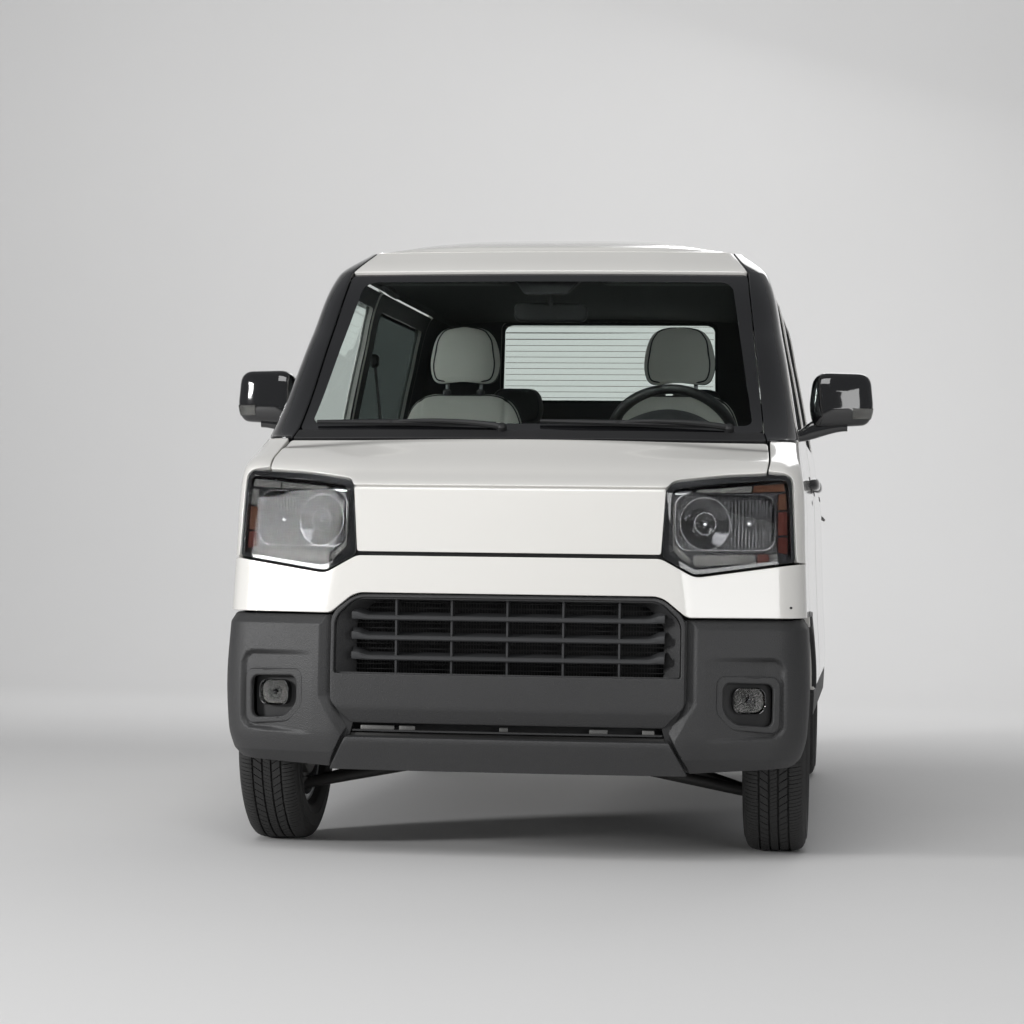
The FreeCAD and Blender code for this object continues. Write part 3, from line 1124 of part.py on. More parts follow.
GATE_Z = BED_FLOOR_LOW - 4
GATE_Y = REAR - 12
gate_barrels = []
sill_barrels = []
for side, sign in (("left", 1), ("right", -1)):
    for pieces, shift, tag in ((gate_barrels, 0.2, "gate"), (sill_barrels, -40.2, "sill")):
        start = sign * 400 + shift
        pieces.append(cylinder(f"gate_barrel_{side}_{tag}", "X", (start, GATE_Y, GATE_Z), 9, 40))
    gate_barrels.append(box(f"gate_leaf_{side}", (sign * 400 + 0.2, sign * 400 + 40.2),
                            (GATE_Y - 6, GATE_Y + 6), (GATE_Z, GATE_Z + 34)))
    sill_barrels.append(box(f"sill_leaf_{side}", (sign * 400 - 40.2, sign * 400 - 0.2),
                            (BED_BACK - 20, GATE_Y), (GATE_Z - 9, GATE_Z - 1)))
bed = cut("bed_cut", fuse("bed_joined", bed_floor, bed_front_wall, bed_side,
                          mirrored("bed_side_right", bed_side), bed_post,
                          mirrored("bed_post_right", bed_post), rear_sill), rear_arch)
sub_part("cargo_bed", fuse("cargo_bed_shape", bed, bearer, mirrored("bearer_right", bearer),
                           rear_well, mirrored("rear_well_right", rear_well), *sill_barrels))
gate_panel = box("gate_panel", (-GATE_HALF, GATE_HALF), (
    REAR - 6 - d.gate_thickness, REAR - 6), (BED_FLOOR_LOW + 12, d.bed_top - 3))
gate_press = rounded("gate_press", box("gate_press_block", (-(GATE_HALF - 70), GATE_HALF - 70), (
    REAR - 16, REAR), (d.bed_floor + 60, d.bed_top - 70)), 20, Vector(0, 1, 0))
sub_part("tailgate", fuse("tailgate_shape", cut("gate_cut", gate_panel, gate_press),
                          *gate_barrels))
flares_left = doc.addObject("Part::Compound", "flares_left")
flares_left.Links = [fender_flare, rear_flare_left]
sub_part("arch_flares", both_sides("flare_pair", flares_left))
tail_lamp = rounded("tail_lamp", box("tail_lamp_block", (GATE_HALF + d.door_gap + 3,
                                                         BED_HALF - 8), (REAR - 26, REAR),
                                     (d.bed_floor + 60, d.bed_top - 45)), 10, Vector(0, 1, 0))
sub_part("tail_lamps", both_sides("tail_lamp_pair", tail_lamp))
bumper_tube = rounded("rear_bumper_beam", box("rear_bumper_block", (-GATE_HALF, GATE_HALF), (
    REAR - 75, REAR - 14), (RAIL_BOTTOM + 5, RAIL_TOP - 8)), 14, Vector(1, 0, 0))
plate_holes = [cylinder(f"plate_hole_{side}", "Y", (sign * d.plate_pitch / 2, REAR - 40,
                                                    (RAIL_BOTTOM + RAIL_TOP) / 2), 3.3, 40)
               for side, sign in (("left", 1), ("right", -1))]
sub_part("rear_bumper", cut("rear_bumper_shape", bumper_tube, *plate_holes))

# ---------------------------------------------------------------- checks and files

doc.recompute()
for obj in doc.Objects:
    if {"Invalid", "Error"} & set(obj.State):
        raise RuntimeError(f"{obj.Name} failed: {obj.State}")
os.makedirs("parts", exist_ok=True)
for label, obj in SUB_PARTS.items():
    shape = obj.Shape
    if shape.isNull() or not shape.isValid():
        raise RuntimeError(f"{label} has no valid shape")
    shape.exportStep(f"parts/{label}.step")
    print(f"{label}: {len(shape.Solids)} solid(s), {shape.Volume / 1e6:.3f} litres")
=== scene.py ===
"""Looks of the kei truck: body panels, lamps, glass, seats, wheels and bed around the CAD frame.

Metres.  The truck faces -Y, its left (driver's) side is +X and +Z is up.  DEPTH is measured back
from the front face.
"""
import json
import math

import bmesh
import bpy
import numpy as np
from mathutils import Matrix, Vector, geometry
from mathutils.bvhtree import BVHTree


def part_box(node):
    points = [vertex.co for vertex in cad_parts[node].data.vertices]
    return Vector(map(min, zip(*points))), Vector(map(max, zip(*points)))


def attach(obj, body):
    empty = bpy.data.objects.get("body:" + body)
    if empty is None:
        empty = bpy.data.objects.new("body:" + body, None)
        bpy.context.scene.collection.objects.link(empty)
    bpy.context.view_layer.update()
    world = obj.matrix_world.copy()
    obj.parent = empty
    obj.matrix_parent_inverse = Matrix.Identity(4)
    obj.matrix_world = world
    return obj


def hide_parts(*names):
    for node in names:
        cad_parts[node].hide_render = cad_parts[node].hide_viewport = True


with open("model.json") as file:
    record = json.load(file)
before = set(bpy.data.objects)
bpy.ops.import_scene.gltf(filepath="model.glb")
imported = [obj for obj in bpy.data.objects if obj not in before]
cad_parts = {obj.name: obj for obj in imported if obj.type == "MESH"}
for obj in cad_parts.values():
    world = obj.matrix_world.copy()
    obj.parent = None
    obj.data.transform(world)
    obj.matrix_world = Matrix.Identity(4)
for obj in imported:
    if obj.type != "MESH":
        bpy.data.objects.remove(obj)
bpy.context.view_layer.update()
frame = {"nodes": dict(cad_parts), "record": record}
NODES = frame["nodes"]
RECORD = frame["record"]
BODY_OF = {node: body for body, nodes in RECORD["behaviour"]["bodies"].items() for node in nodes}
SLOT_OF = {part["node"]: part["material_slot"] for part in RECORD["subparts"]}

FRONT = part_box("bumper_cladding")[0][1]
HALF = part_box("cab_shell")[1][0]
CAB_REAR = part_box("cab_shell")[1][1]
CAB_DEPTH = CAB_REAR - FRONT
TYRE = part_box("tyre_front_left")
TYRE_RADIUS = (TYRE[1][2] - TYRE[0][2]) / 2
FRONT_AXLE = (TYRE[0][1] + TYRE[1][1]) / 2
scene = bpy.context.scene


# ---------------------------------------------------------------- node groups and materials

def new_group(name, inputs, outputs):
    """A shader node group with named float, vector or colour sockets."""
    group = bpy.data.node_groups.new(name, "ShaderNodeTree")
    for label, kind, default in inputs:
        socket = group.interface.new_socket(name=label, in_out="INPUT", socket_type=kind)
        if default is not None:
            socket.default_value = default
    for label, kind in outputs:
        group.interface.new_socket(name=label, in_out="OUTPUT", socket_type=kind)
    entry = group.nodes.new("NodeGroupInput")
    leave = group.nodes.new("NodeGroupOutput")
    return group, entry, leave


FLOAT = "NodeSocketFloat"
COLOUR = "NodeSocketColor"
VECTOR = "NodeSocketVector"


def feed(tree, socket, value):
    """A link into a socket, or a constant on it."""
    if isinstance(value, bpy.types.NodeSocket):
        tree.links.new(value, socket)
    else:
        socket.default_value = value


def add_node(tree, kind, inputs=None, **settings):
    """A node with its settings, and its inputs by name as links or constants."""
    made = tree.nodes.new(kind)
    for label, value in settings.items():
        setattr(made, label, value)
    for label, value in (inputs or {}).items():
        feed(tree, made.inputs[label], value)
    return made


def combine(tree, operation, *values):
    """The result of a maths node over its values."""
    made = add_node(tree, "ShaderNodeMath", operation=operation)
    for socket, value in zip(made.inputs, values):
        feed(tree, socket, value)
    return made.outputs[0]


def sine(tree, source, factor):
    """The sine of a source times a factor."""
    return combine(tree, "SINE", combine(tree, "MULTIPLY", source, factor))


def pressed_out(group, entry, leave, height):
    """Ends a group with a height as its bump and its mask."""
    bump = add_node(group, "ShaderNodeBump", {
        "Height": height, "Distance": entry.outputs["Depth"],
        "Strength": entry.outputs["Strength"]})
    feed(group, leave.inputs["Normal"], bump.outputs["Normal"])
    feed(group, leave.inputs["Mask"], height)
    return group


def grain_group():
    """Moulded or cast grain: soft cells, with their height as a bump and as a mask."""
    group, entry, leave = new_group("surface_grain", [
        ("Vector", VECTOR, None), ("Scale", FLOAT, 900.0), ("Depth", FLOAT, 0.0002),
        ("Strength", FLOAT, 0.4)], [("Normal", VECTOR), ("Mask", FLOAT)])
    place = {label: entry.outputs[label] for label in ("Vector", "Scale")}
    cells = add_node(group, "ShaderNodeTexVoronoi", place, feature="SMOOTH_F1")
    noise = add_node(group, "ShaderNodeTexNoise", {**place, "Detail": 3})
    return pressed_out(group, entry, leave, combine(
        group, "ADD", cells.outputs["Distance"], noise.outputs["Fac"]))


def tint_group():
    """Slow colour variation: a base colour mixed towards a second one by noise."""
    group, entry, leave = new_group("slow_tint", [
        ("Vector", VECTOR, None), ("Scale", FLOAT, 6.0), ("Base", COLOUR, (0.5, 0.5, 0.5, 1)),
        ("Second", COLOUR, (0.4, 0.4, 0.4, 1)), ("Amount", FLOAT, 0.3),
        ("Roughness Low", FLOAT, 0.3), ("Roughness High", FLOAT, 0.4)],
        [("Color", COLOUR), ("Roughness", FLOAT)])
    noise = add_node(group, "ShaderNodeTexNoise", {
        "Vector": entry.outputs["Vector"], "Scale": entry.outputs["Scale"], "Detail": 5})
    cloud = noise.outputs["Fac"]
    mix = add_node(group, "ShaderNodeMix", data_type="RGBA")
    feed(group, mix.inputs["Factor"], combine(group, "MULTIPLY", cloud, entry.outputs["Amount"]))
    feed(group, mix.inputs[6], entry.outputs["Base"])
    feed(group, mix.inputs[7], entry.outputs["Second"])
    rough = add_node(group, "ShaderNodeMapRange", {
        "Value": cloud, "To Min": entry.outputs["Roughness Low"],
        "To Max": entry.outputs["Roughness High"]})
    feed(group, leave.inputs["Color"], mix.outputs[2])
    feed(group, leave.inputs["Roughness"], rough.outputs["Result"])
    return group


def optics_group():
    """Moulded optics: upright flutes with small pillows between them."""
    group, entry, leave = new_group("moulded_optics", [
        ("Vector", VECTOR, None), ("Flutes", FLOAT, 900.0), ("Pillows", FLOAT, 1600.0),
        ("Pillow Share", FLOAT, 0.5), ("Depth", FLOAT, 0.001), ("Strength", FLOAT, 1.0)],
        [("Normal", VECTOR), ("Mask", FLOAT)])
    split = add_node(group, "ShaderNodeSeparateXYZ", {"Vector": entry.outputs["Vector"]})
    across, along, flutes = (sine(group, split.outputs[axis], entry.outputs[factor])
                             for axis, factor in (("X", "Pillows"), ("Z", "Pillows"),
                                                  ("X", "Flutes")))
    mix = add_node(group, "ShaderNodeMix", {
        "Factor": entry.outputs["Pillow Share"], "A": flutes,
        "B": combine(group, "MULTIPLY", across, along)})
    return pressed_out(group, entry, leave, mix.outputs["Result"])


def weave_group():
    """Woven cloth: threads crossing over and under, as a height and a mask."""
    group, entry, leave = new_group("woven_threads", [
        ("Vector", VECTOR, None), ("Threads", FLOAT, 2000.0), ("Depth", FLOAT, 0.0006),
        ("Strength", FLOAT, 0.7)], [("Normal", VECTOR), ("Mask", FLOAT)])
    split = add_node(group, "ShaderNodeSeparateXYZ", {"Vector": entry.outputs["Vector"]})
    climb = combine(group, "ADD", split.outputs["Y"], split.outputs["Z"])
    warp, weft = (sine(group, source, entry.outputs["Threads"])
                  for source in (split.outputs["X"], climb))
    return pressed_out(group, entry, leave, combine(group, "MULTIPLY", warp, weft))


GRAIN = grain_group()
TINT = tint_group()
OPTICS = optics_group()
WEAVE = weave_group()


def new_look(name):
    """A material with its tree, its shader and its object coordinates."""
    material = bpy.data.materials.new(name)
    material.use_nodes = True
    tree = material.node_tree
    place = add_node(tree, "ShaderNodeTexCoord").outputs["Object"]
    return material, tree, tree.nodes["Principled BSDF"], place


def press(material, group, values):
    """The material with a group's bump laid over it, in object coordinates."""
    tree = material.node_tree
    place = next(node for node in tree.nodes if node.type == "TEX_COORD")
    made = add_node(tree, "ShaderNodeGroup", {"Vector": place.outputs["Object"], **values},
                    node_tree=group)
    feed(tree, tree.nodes["Principled BSDF"].inputs["Normal"], made.outputs["Normal"])
    return material


def finish_of(name, base, second, tint=0.3, tint_scale=6.0, rough=(0.3, 0.4), grain=None,
              **sockets):
    """A material with slow tint and, where grain gives (scale, depth, strength), a grain."""
    material, tree, shader, place = new_look(name)
    slow = add_node(tree, "ShaderNodeGroup", {
        "Vector": place, "Scale": tint_scale, "Base": (*base, 1), "Second": (*second, 1),
        "Amount": tint, "Roughness Low": rough[0], "Roughness High": rough[1]}, node_tree=TINT)
    feed(tree, shader.inputs["Base Color"], slow.outputs["Color"])
    feed(tree, shader.inputs["Roughness"], slow.outputs["Roughness"])
    if grain:
        press(material, GRAIN, dict(zip(("Scale", "Depth", "Strength"), grain)))
    for label, value in sockets.items():
        shader.inputs[label.replace("_", " ")].default_value = value
    return material


WHITE = (0.80, 0.785, 0.75)
paint = finish_of("body_paint", WHITE, (0.77, 0.755, 0.72), 0.3, 3.0, (0.16, 0.22),
                  (140, 0.00002, 0.15), Coat_Weight=1.0, Coat_Roughness=0.03,
                  Specular_IOR_Level=0.5)
cladding = finish_of("dark_cladding", (0.030, 0.030, 0.031), (0.040, 0.040, 0.040), 0.5, 9.0,
                     (0.46, 0.56), (360, 0.0009, 0.7))
gloss_black = finish_of("gloss_black", (0.006, 0.006, 0.007), (0.010, 0.010, 0.011), 0.4, 8.0,
                        (0.06, 0.10), Coat_Weight=1.0)
matte_black = finish_of("matte_black", (0.012, 0.012, 0.013), (0.02, 0.02, 0.02), 0.5, 20.0,
                        (0.5, 0.65), (900, 0.0002, 0.4))
trim_dark = finish_of("cab_trim", (0.030, 0.031, 0.033), (0.042, 0.042, 0.043), 0.5, 12.0,
                      (0.55, 0.7), (1100, 0.0002, 0.4))
chassis_black = finish_of("chassis_black", (0.020, 0.020, 0.020), (0.045, 0.042, 0.038), 0.5,
                          14.0, (0.42, 0.65), (400, 0.0002, 0.4))
cast = finish_of("cast_metal", (0.20, 0.20, 0.195), (0.12, 0.115, 0.11), 0.6, 18.0,
                 (0.45, 0.6), (350, 0.0006, 0.5), Metallic=0.85)
rim_silver = finish_of("steel_rim", (0.42, 0.43, 0.44), (0.34, 0.345, 0.35), 0.5, 12.0,
                       (0.30, 0.42), (260, 0.0001, 0.2), Metallic=0.8)
rubber = finish_of("tyre_rubber", (0.018, 0.018, 0.018), (0.032, 0.031, 0.030), 0.6, 16.0,
                   (0.62, 0.80), (700, 0.0003, 0.5))
exhaust_steel = finish_of("exhaust_steel", (0.36, 0.34, 0.31), (0.20, 0.17, 0.14), 0.7, 14.0,
                          (0.35, 0.55), (300, 0.0002, 0.3), Metallic=0.9)
red_lens = finish_of("red_lens", (0.35, 0.008, 0.008), (0.25, 0.004, 0.004), 0.4, 10.0,
                     (0.05, 0.09), Coat_Weight=1.0, Transmission_Weight=0.15)


def glass(name, tint, rough=0.01, weight=1.0, ior=1.02):
    """Thin sheet glass: little bending of light, a tint and a faint haze mask."""
    material, tree, shader, place = new_look(name)
    for label, value in (("Base Color", (*tint, 1)), ("Transmission Weight", weight), ("IOR", ior)):
        shader.inputs[label].default_value = value
    haze = add_node(tree, "ShaderNodeTexNoise", {"Vector": place, "Scale": 5})
    spread = add_node(tree, "ShaderNodeMapRange", {
        "Value": haze.outputs["Fac"], "To Min": rough, "To Max": rough * 1.8})
    feed(tree, shader.inputs["Roughness"], spread.outputs["Result"])
    return material


clear_glass = glass("clear_glass", (0.86, 0.91, 0.885), ior=1.12)
privacy_glass = glass("privacy_glass", (0.10, 0.12, 0.115), ior=1.2)
lens_glass = glass("lens_glass", (0.97, 0.975, 0.975), ior=1.10)


def optics(name, base, second, rough, metallic, flutes, pillows, share, depth, strength=1.0,
           **sockets):
    """A mirrored or coloured optic with flutes and pillows pressed into it."""
    material = finish_of(name, base, second, 0.7, 40.0, rough, None, Metallic=metallic, **sockets)
    return press(material, OPTICS, {
        "Flutes": 2 * math.pi / flutes, "Pillows": 2 * math.pi / pillows, "Pillow Share": share,
        "Depth": depth, "Strength": strength})


# The headlamp reflector is chrome with real flutes and pillows, but its dark base colour is painted
# shade: it stands in for the dark surroundings that the chrome reflects.
reflector = optics("lamp_reflector", (0.17, 0.17, 0.175), (0.05, 0.05, 0.053), (0.08, 0.16), 1.0,
                   0.0085, 0.005, 0.2, 0.0012)
lamp_mask_look = optics("lamp_mask", (0.11, 0.11, 0.115), (0.04, 0.04, 0.042), (0.12, 0.2), 1.0,
                        0.004, 0.004, 0.8, 0.0005)
bright_chrome = finish_of("bright_chrome", (0.62, 0.62, 0.63), (0.50, 0.50, 0.51), 0.4, 20.0,
                          (0.05, 0.08), Metallic=1.0)
clear_facets = optics("clear_facets", (0.44, 0.435, 0.42), (0.16, 0.157, 0.15), (0.10, 0.2), 0.9,
                      0.004, 0.0045, 0.9, 0.0010)
amber_facets = optics("amber_facets", (0.22, 0.105, 0.065), (0.11, 0.04, 0.025), (0.10, 0.2), 0.6,
                      0.004, 0.0045, 0.9, 0.0010)
red_facets = optics("red_facets", (0.17, 0.050, 0.038), (0.09, 0.018, 0.014), (0.10, 0.2), 0.5,
                    0.004, 0.0045, 0.9, 0.0010)
ring_chrome = finish_of("ring_chrome", (0.26, 0.26, 0.265), (0.16, 0.16, 0.165), 0.5, 25.0,
                        (0.07, 0.12), Metallic=1.0)
dark_chrome = finish_of("dark_chrome", (0.10, 0.10, 0.105), (0.06, 0.06, 0.062), 0.5, 30.0,
                        (0.10, 0.16), Metallic=1.0)


def cloth_look(name, base, second, threads):
    """Woven seat cloth with flecked yarn."""
    material = finish_of(name, base, second, 0.8, 420.0, (0.85, 0.95), None, Sheen_Weight=0.2)
    return press(material, WEAVE, {"Threads": 2 * math.pi / threads})


seat_cloth = cloth_look("seat_cloth", (0.74, 0.735, 0.69), (0.50, 0.50, 0.47), 0.0042)
# The rear bench wears the front seats' weave made about ten times darker all over, with no pale
# panel.
bench_cloth = cloth_look("bench_cloth", (0.075, 0.078, 0.076), (0.05, 0.05, 0.05), 0.0042)
seat_side = cloth_look("seat_side_cloth", (0.040, 0.041, 0.041), (0.070, 0.070, 0.068), 0.0036)
piping_look = finish_of("seat_piping", (0.020, 0.020, 0.021), (0.035, 0.035, 0.035), 0.5, 60.0,
                        (0.5, 0.6), (900, 0.0003, 0.4))

wheel_leather = finish_of("wheel_leather", (0.016, 0.016, 0.017), (0.028, 0.028, 0.028), 0.5,
                          30.0, (0.34, 0.46), (700, 0.0003, 0.5))
lining_look = finish_of("roof_cloth", (0.055, 0.060, 0.058), (0.040, 0.044, 0.043), 0.6, 60.0,
                        (0.85, 0.95), (1500, 0.0004, 0.6))
visor_look = finish_of("visor_cloth", (0.10, 0.105, 0.10), (0.07, 0.075, 0.072), 0.6, 60.0,
                       (0.8, 0.9), (1500, 0.0004, 0.6))

plate_look = finish_of("number_plate", (0.62, 0.62, 0.60), (0.55, 0.55, 0.54), 0.4, 12.0,
                       (0.30, 0.40), (300, 0.0001, 0.2))
heat_look = finish_of("heating_line", (0.20, 0.15, 0.12), (0.14, 0.10, 0.08), 0.4, 60.0,
                      (0.4, 0.5))

SLOT_LOOK = {
    "body_paint": paint, "dark_cladding": cladding, "gloss_black": gloss_black,
    "matte_black": matte_black, "clear_glass": clear_glass, "privacy_glass": privacy_glass,
    "lamp_clear": lens_glass, "lamp_red": red_lens, "chassis_black": chassis_black,
    "cast_metal": cast, "steel_rim": rim_silver, "tyre_rubber": rubber,
    "seat_fabric": seat_cloth, "dash_plastic": trim_dark, "exhaust_steel": exhaust_steel,
}


# ---------------------------------------------------------------- pieces

def piece(name, mesh, body, slot, *replaced):
    """Hang a finished mesh on its body and hide the CAD nodes it replaces."""
    obj = bpy.data.objects.new(name, mesh)
    scene.collection.objects.link(obj)
    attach(obj, body)
    if replaced:
        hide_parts(*replaced)
    return obj


def baked(mesh, *modifiers, smooth=30):
    """The mesh with modifiers applied; each is (type, settings)."""
    helper = bpy.data.objects.new("helper", mesh)
    scene.collection.objects.link(helper)
    for count, (kind, settings) in enumerate(modifiers):
        modifier = helper.modifiers.new(f"{kind}_{count}", kind)
        for key, value in settings.items():
            setattr(modifier, key, value)
    graph = bpy.context.evaluated_depsgraph_get()
    result = bpy.data.meshes.new_from_object(helper.evaluated_get(graph))
    bpy.data.objects.remove(helper)
    result.shade_smooth()
    result.set_sharp_from_angle(angle=math.radians(smooth))
    return result


def edited(mesh, change):
    """The mesh after a change to its form."""
    form = bmesh.new()
    form.from_mesh(mesh)
    change(form)
    form.to_mesh(mesh)
    form.free()
    return mesh


def made_whole(form):
    """Loose triangles joined and flat faces made whole."""
    bmesh.ops.remove_doubles(form, verts=form.verts, dist=0.00002)
    bmesh.ops.dissolve_limit(form, angle_limit=math.radians(0.8), verts=form.verts,
                             edges=form.edges)


def dress(node, material=None, bevel=0.0015, segments=2, smooth=32):
    """Replace a CAD node by its own form with rounded edges and a finish."""
    steps = [("BEVEL", {"width": bevel, "segments": segments, "limit_method": "ANGLE",
                        "angle_limit": math.radians(28), "use_clamp_overlap": True})]
    mesh = baked(edited(NODES[node].data.copy(), made_whole), *(steps if bevel else ()),
                 smooth=smooth)
    mesh.materials.clear()
    mesh.materials.append(material or SLOT_LOOK[SLOT_OF[node]])
    return piece(f"{node}_dressed", mesh, BODY_OF[node], SLOT_OF[node], node)


# ---------------------------------------------------------------- the body's smooth surface

# Plan sections from the skirt to the edge of the roof: height, then the pull-in of the side, the
# depth of the nose, and the place of the shoulder, the outer lamp corner and the side's start.
LEVELS = [
    (0.218, 0.036, 0.044, 0.300, 0.058, 0.118, 0.108, 0.205),
    (0.320, 0.005, 0.008, 0.300, 0.025, 0.080, 0.094, 0.212),
    (0.440, 0.000, 0.000, 0.298, 0.020, 0.070, 0.094, 0.215),
    (0.608, 0.008, 0.006, 0.296, 0.028, 0.068, 0.116, 0.225),
    (0.758, 0.014, 0.014, 0.315, 0.035, 0.070, 0.133, 0.240),
    (0.918, 0.020, 0.022, 0.347, 0.034, 0.064, 0.158, 0.258),
    (0.967, 0.027, 0.104, 0.345, 0.118, 0.066, 0.172, 0.275),
    (1.070, 0.043, 0.322, 0.350, 0.350, 0.108, 0.402, 0.480),
    (1.350, 0.096, 0.598, 0.400, 0.618, 0.160, 0.652, 0.738),
    (1.530, 0.141, 0.775, 0.425, 0.788, 0.190, 0.812, 0.885),
    (1.600, 0.218, 0.892, 0.450, 0.900, 0.264, 0.925, 0.980),
]
CORNER_BULGE = 0.17
REAR_CORNER = 0.070
SECTION_STEP = 0.002
ROW_STEP = 0.002
SECTION_BLUR = 0.010
BEND = 0.293
SAMPLES = {"nose": 60, "face": 24, "corner": 60, "side": 60, "turn": 40, "wall": 20}


def runs_of(points):
    """The length run along a path at each of its points."""
    return np.concatenate([[0], np.cumsum(np.linalg.norm(np.diff(points, axis=0), axis=1))])


def read_at(wanted, runs, points):
    """Places on a path at the wanted runs."""
    return np.stack([np.interp(wanted, runs, points[:, axis])
                     for axis in range(points.shape[1])], axis=1)


def arc_through(first, middle, last, count):
    """Points along the circle arc through three plan points."""
    (ax, ay), (bx, by), (cx, cy) = first, middle, last
    twice = 2 * (ax * (by - cy) + bx * (cy - ay) + cx * (ay - by))
    a2, b2, c2 = ax * ax + ay * ay, bx * bx + by * by, cx * cx + cy * cy
    centre = np.array([(a2 * (by - cy) + b2 * (cy - ay) + c2 * (ay - by)) / twice,
                       (a2 * (cx - bx) + b2 * (ax - cx) + c2 * (bx - ax)) / twice])
    start, end = (math.atan2(*(np.array(point) - centre)[::-1]) for point in (first, last))
    while end - start > math.pi:
        end -= 2 * math.pi
    while end - start < -math.pi:
        end += 2 * math.pi
    angles = np.linspace(start, end, count)
    radius = np.linalg.norm(np.array(first) - centre)
    return centre + radius * np.stack([np.cos(angles), np.sin(angles)], axis=1)


def plan_section(level):
    """Half a plan section from the nose to the middle of the rear wall, corners softened."""
    _, tuck, nose, shoulder_in, shoulder, lamp_in, lamp, side = level
    side_x = HALF - tuck
    s_point = np.array([HALF - shoulder_in, shoulder])
    l_point = np.array([HALF - lamp_in, lamp])
    d_point = np.array([side_x, side])
    c_point = np.array([side_x, CAB_DEPTH - REAR_CORNER])
    r_point = np.array([side_x - REAR_CORNER, CAB_DEPTH])
    bulge = np.linalg.norm(d_point - l_point) * CORNER_BULGE
    turn = np.linalg.norm(r_point - c_point) * CORNER_BULGE
    corner_top = (l_point + d_point) / 2 + np.array([1, -1]) / math.sqrt(2) * bulge
    turn_top = (c_point + r_point) / 2 + np.array([1, 1]) / math.sqrt(2) * turn
    mirrored_s = s_point * (-1, 1)
    nose_arc = arc_through(mirrored_s, (0, nose), s_point, 2 * SAMPLES["nose"] - 1)
    parts = [nose_arc[SAMPLES["nose"] - 1:],
             np.linspace(s_point, l_point, SAMPLES["face"]),
             arc_through(l_point, corner_top, d_point, SAMPLES["corner"]),
             np.linspace(d_point, c_point, SAMPLES["side"]),
             arc_through(c_point, turn_top, r_point, SAMPLES["turn"]),
             np.linspace(r_point, (0, CAB_DEPTH), SAMPLES["wall"])]
    points = np.concatenate([parts[0]] + [part[1:] for part in parts[1:]])
    runs = runs_of(points)
    even = np.linspace(0, runs[-1], int(runs[-1] / SECTION_STEP))
    dense = read_at(even, runs, points)
    reach = int(4 * SECTION_BLUR / SECTION_STEP)
    padded = np.concatenate([dense[reach:0:-1] * (-1, 1), dense, dense[-2:-reach - 2:-1] * (-1, 1)])
    bell = np.exp(-0.5 * (np.arange(-reach, reach + 1) * SECTION_STEP / SECTION_BLUR) ** 2)
    bell /= bell.sum()
    soft = np.stack([np.convolve(padded[:, axis], bell, "valid") for axis in (0, 1)], axis=1)
    return read_at(runs, even, soft)


def smooth_through(knots, values, wanted):
    """Cubic curves through rows of values at the knots, with no overshoot between them."""
    knots = np.asarray(knots)
    values = np.asarray(values)
    step = np.diff(knots).reshape((-1,) + (1,) * (values.ndim - 1))
    slope = np.diff(values, axis=0) / step
    tangent = np.zeros_like(values)
    tangent[0], tangent[-1] = slope[0], slope[-1]
    near, far = 2 * step[1:] + step[:-1], step[1:] + 2 * step[:-1]
    same = slope[:-1] * slope[1:] > 1e-12
    low = np.where(same, slope[:-1], 1.0)
    high = np.where(same, slope[1:], 1.0)
    tangent[1:-1] = np.where(same, (near + far) / (near / low + far / high), 0.0)
    index = np.clip(np.searchsorted(knots, wanted, side="right") - 1, 0, len(knots) - 2)
    span = (knots[index + 1] - knots[index]).reshape((-1,) + (1,) * (values.ndim - 1))
    t = ((wanted - knots[index]) / (knots[index + 1] - knots[index])).reshape(span.shape)
    return ((1 + 2 * t) * (1 - t) ** 2 * values[index] + t * (1 - t) ** 2 * span * tangent[index]
            + t * t * (3 - 2 * t) * values[index + 1] - t * t * (1 - t) * span * tangent[index + 1])


def smooth_step(value):
    share = np.clip(value, 0, 1)
    return share * share * (3 - 2 * share)


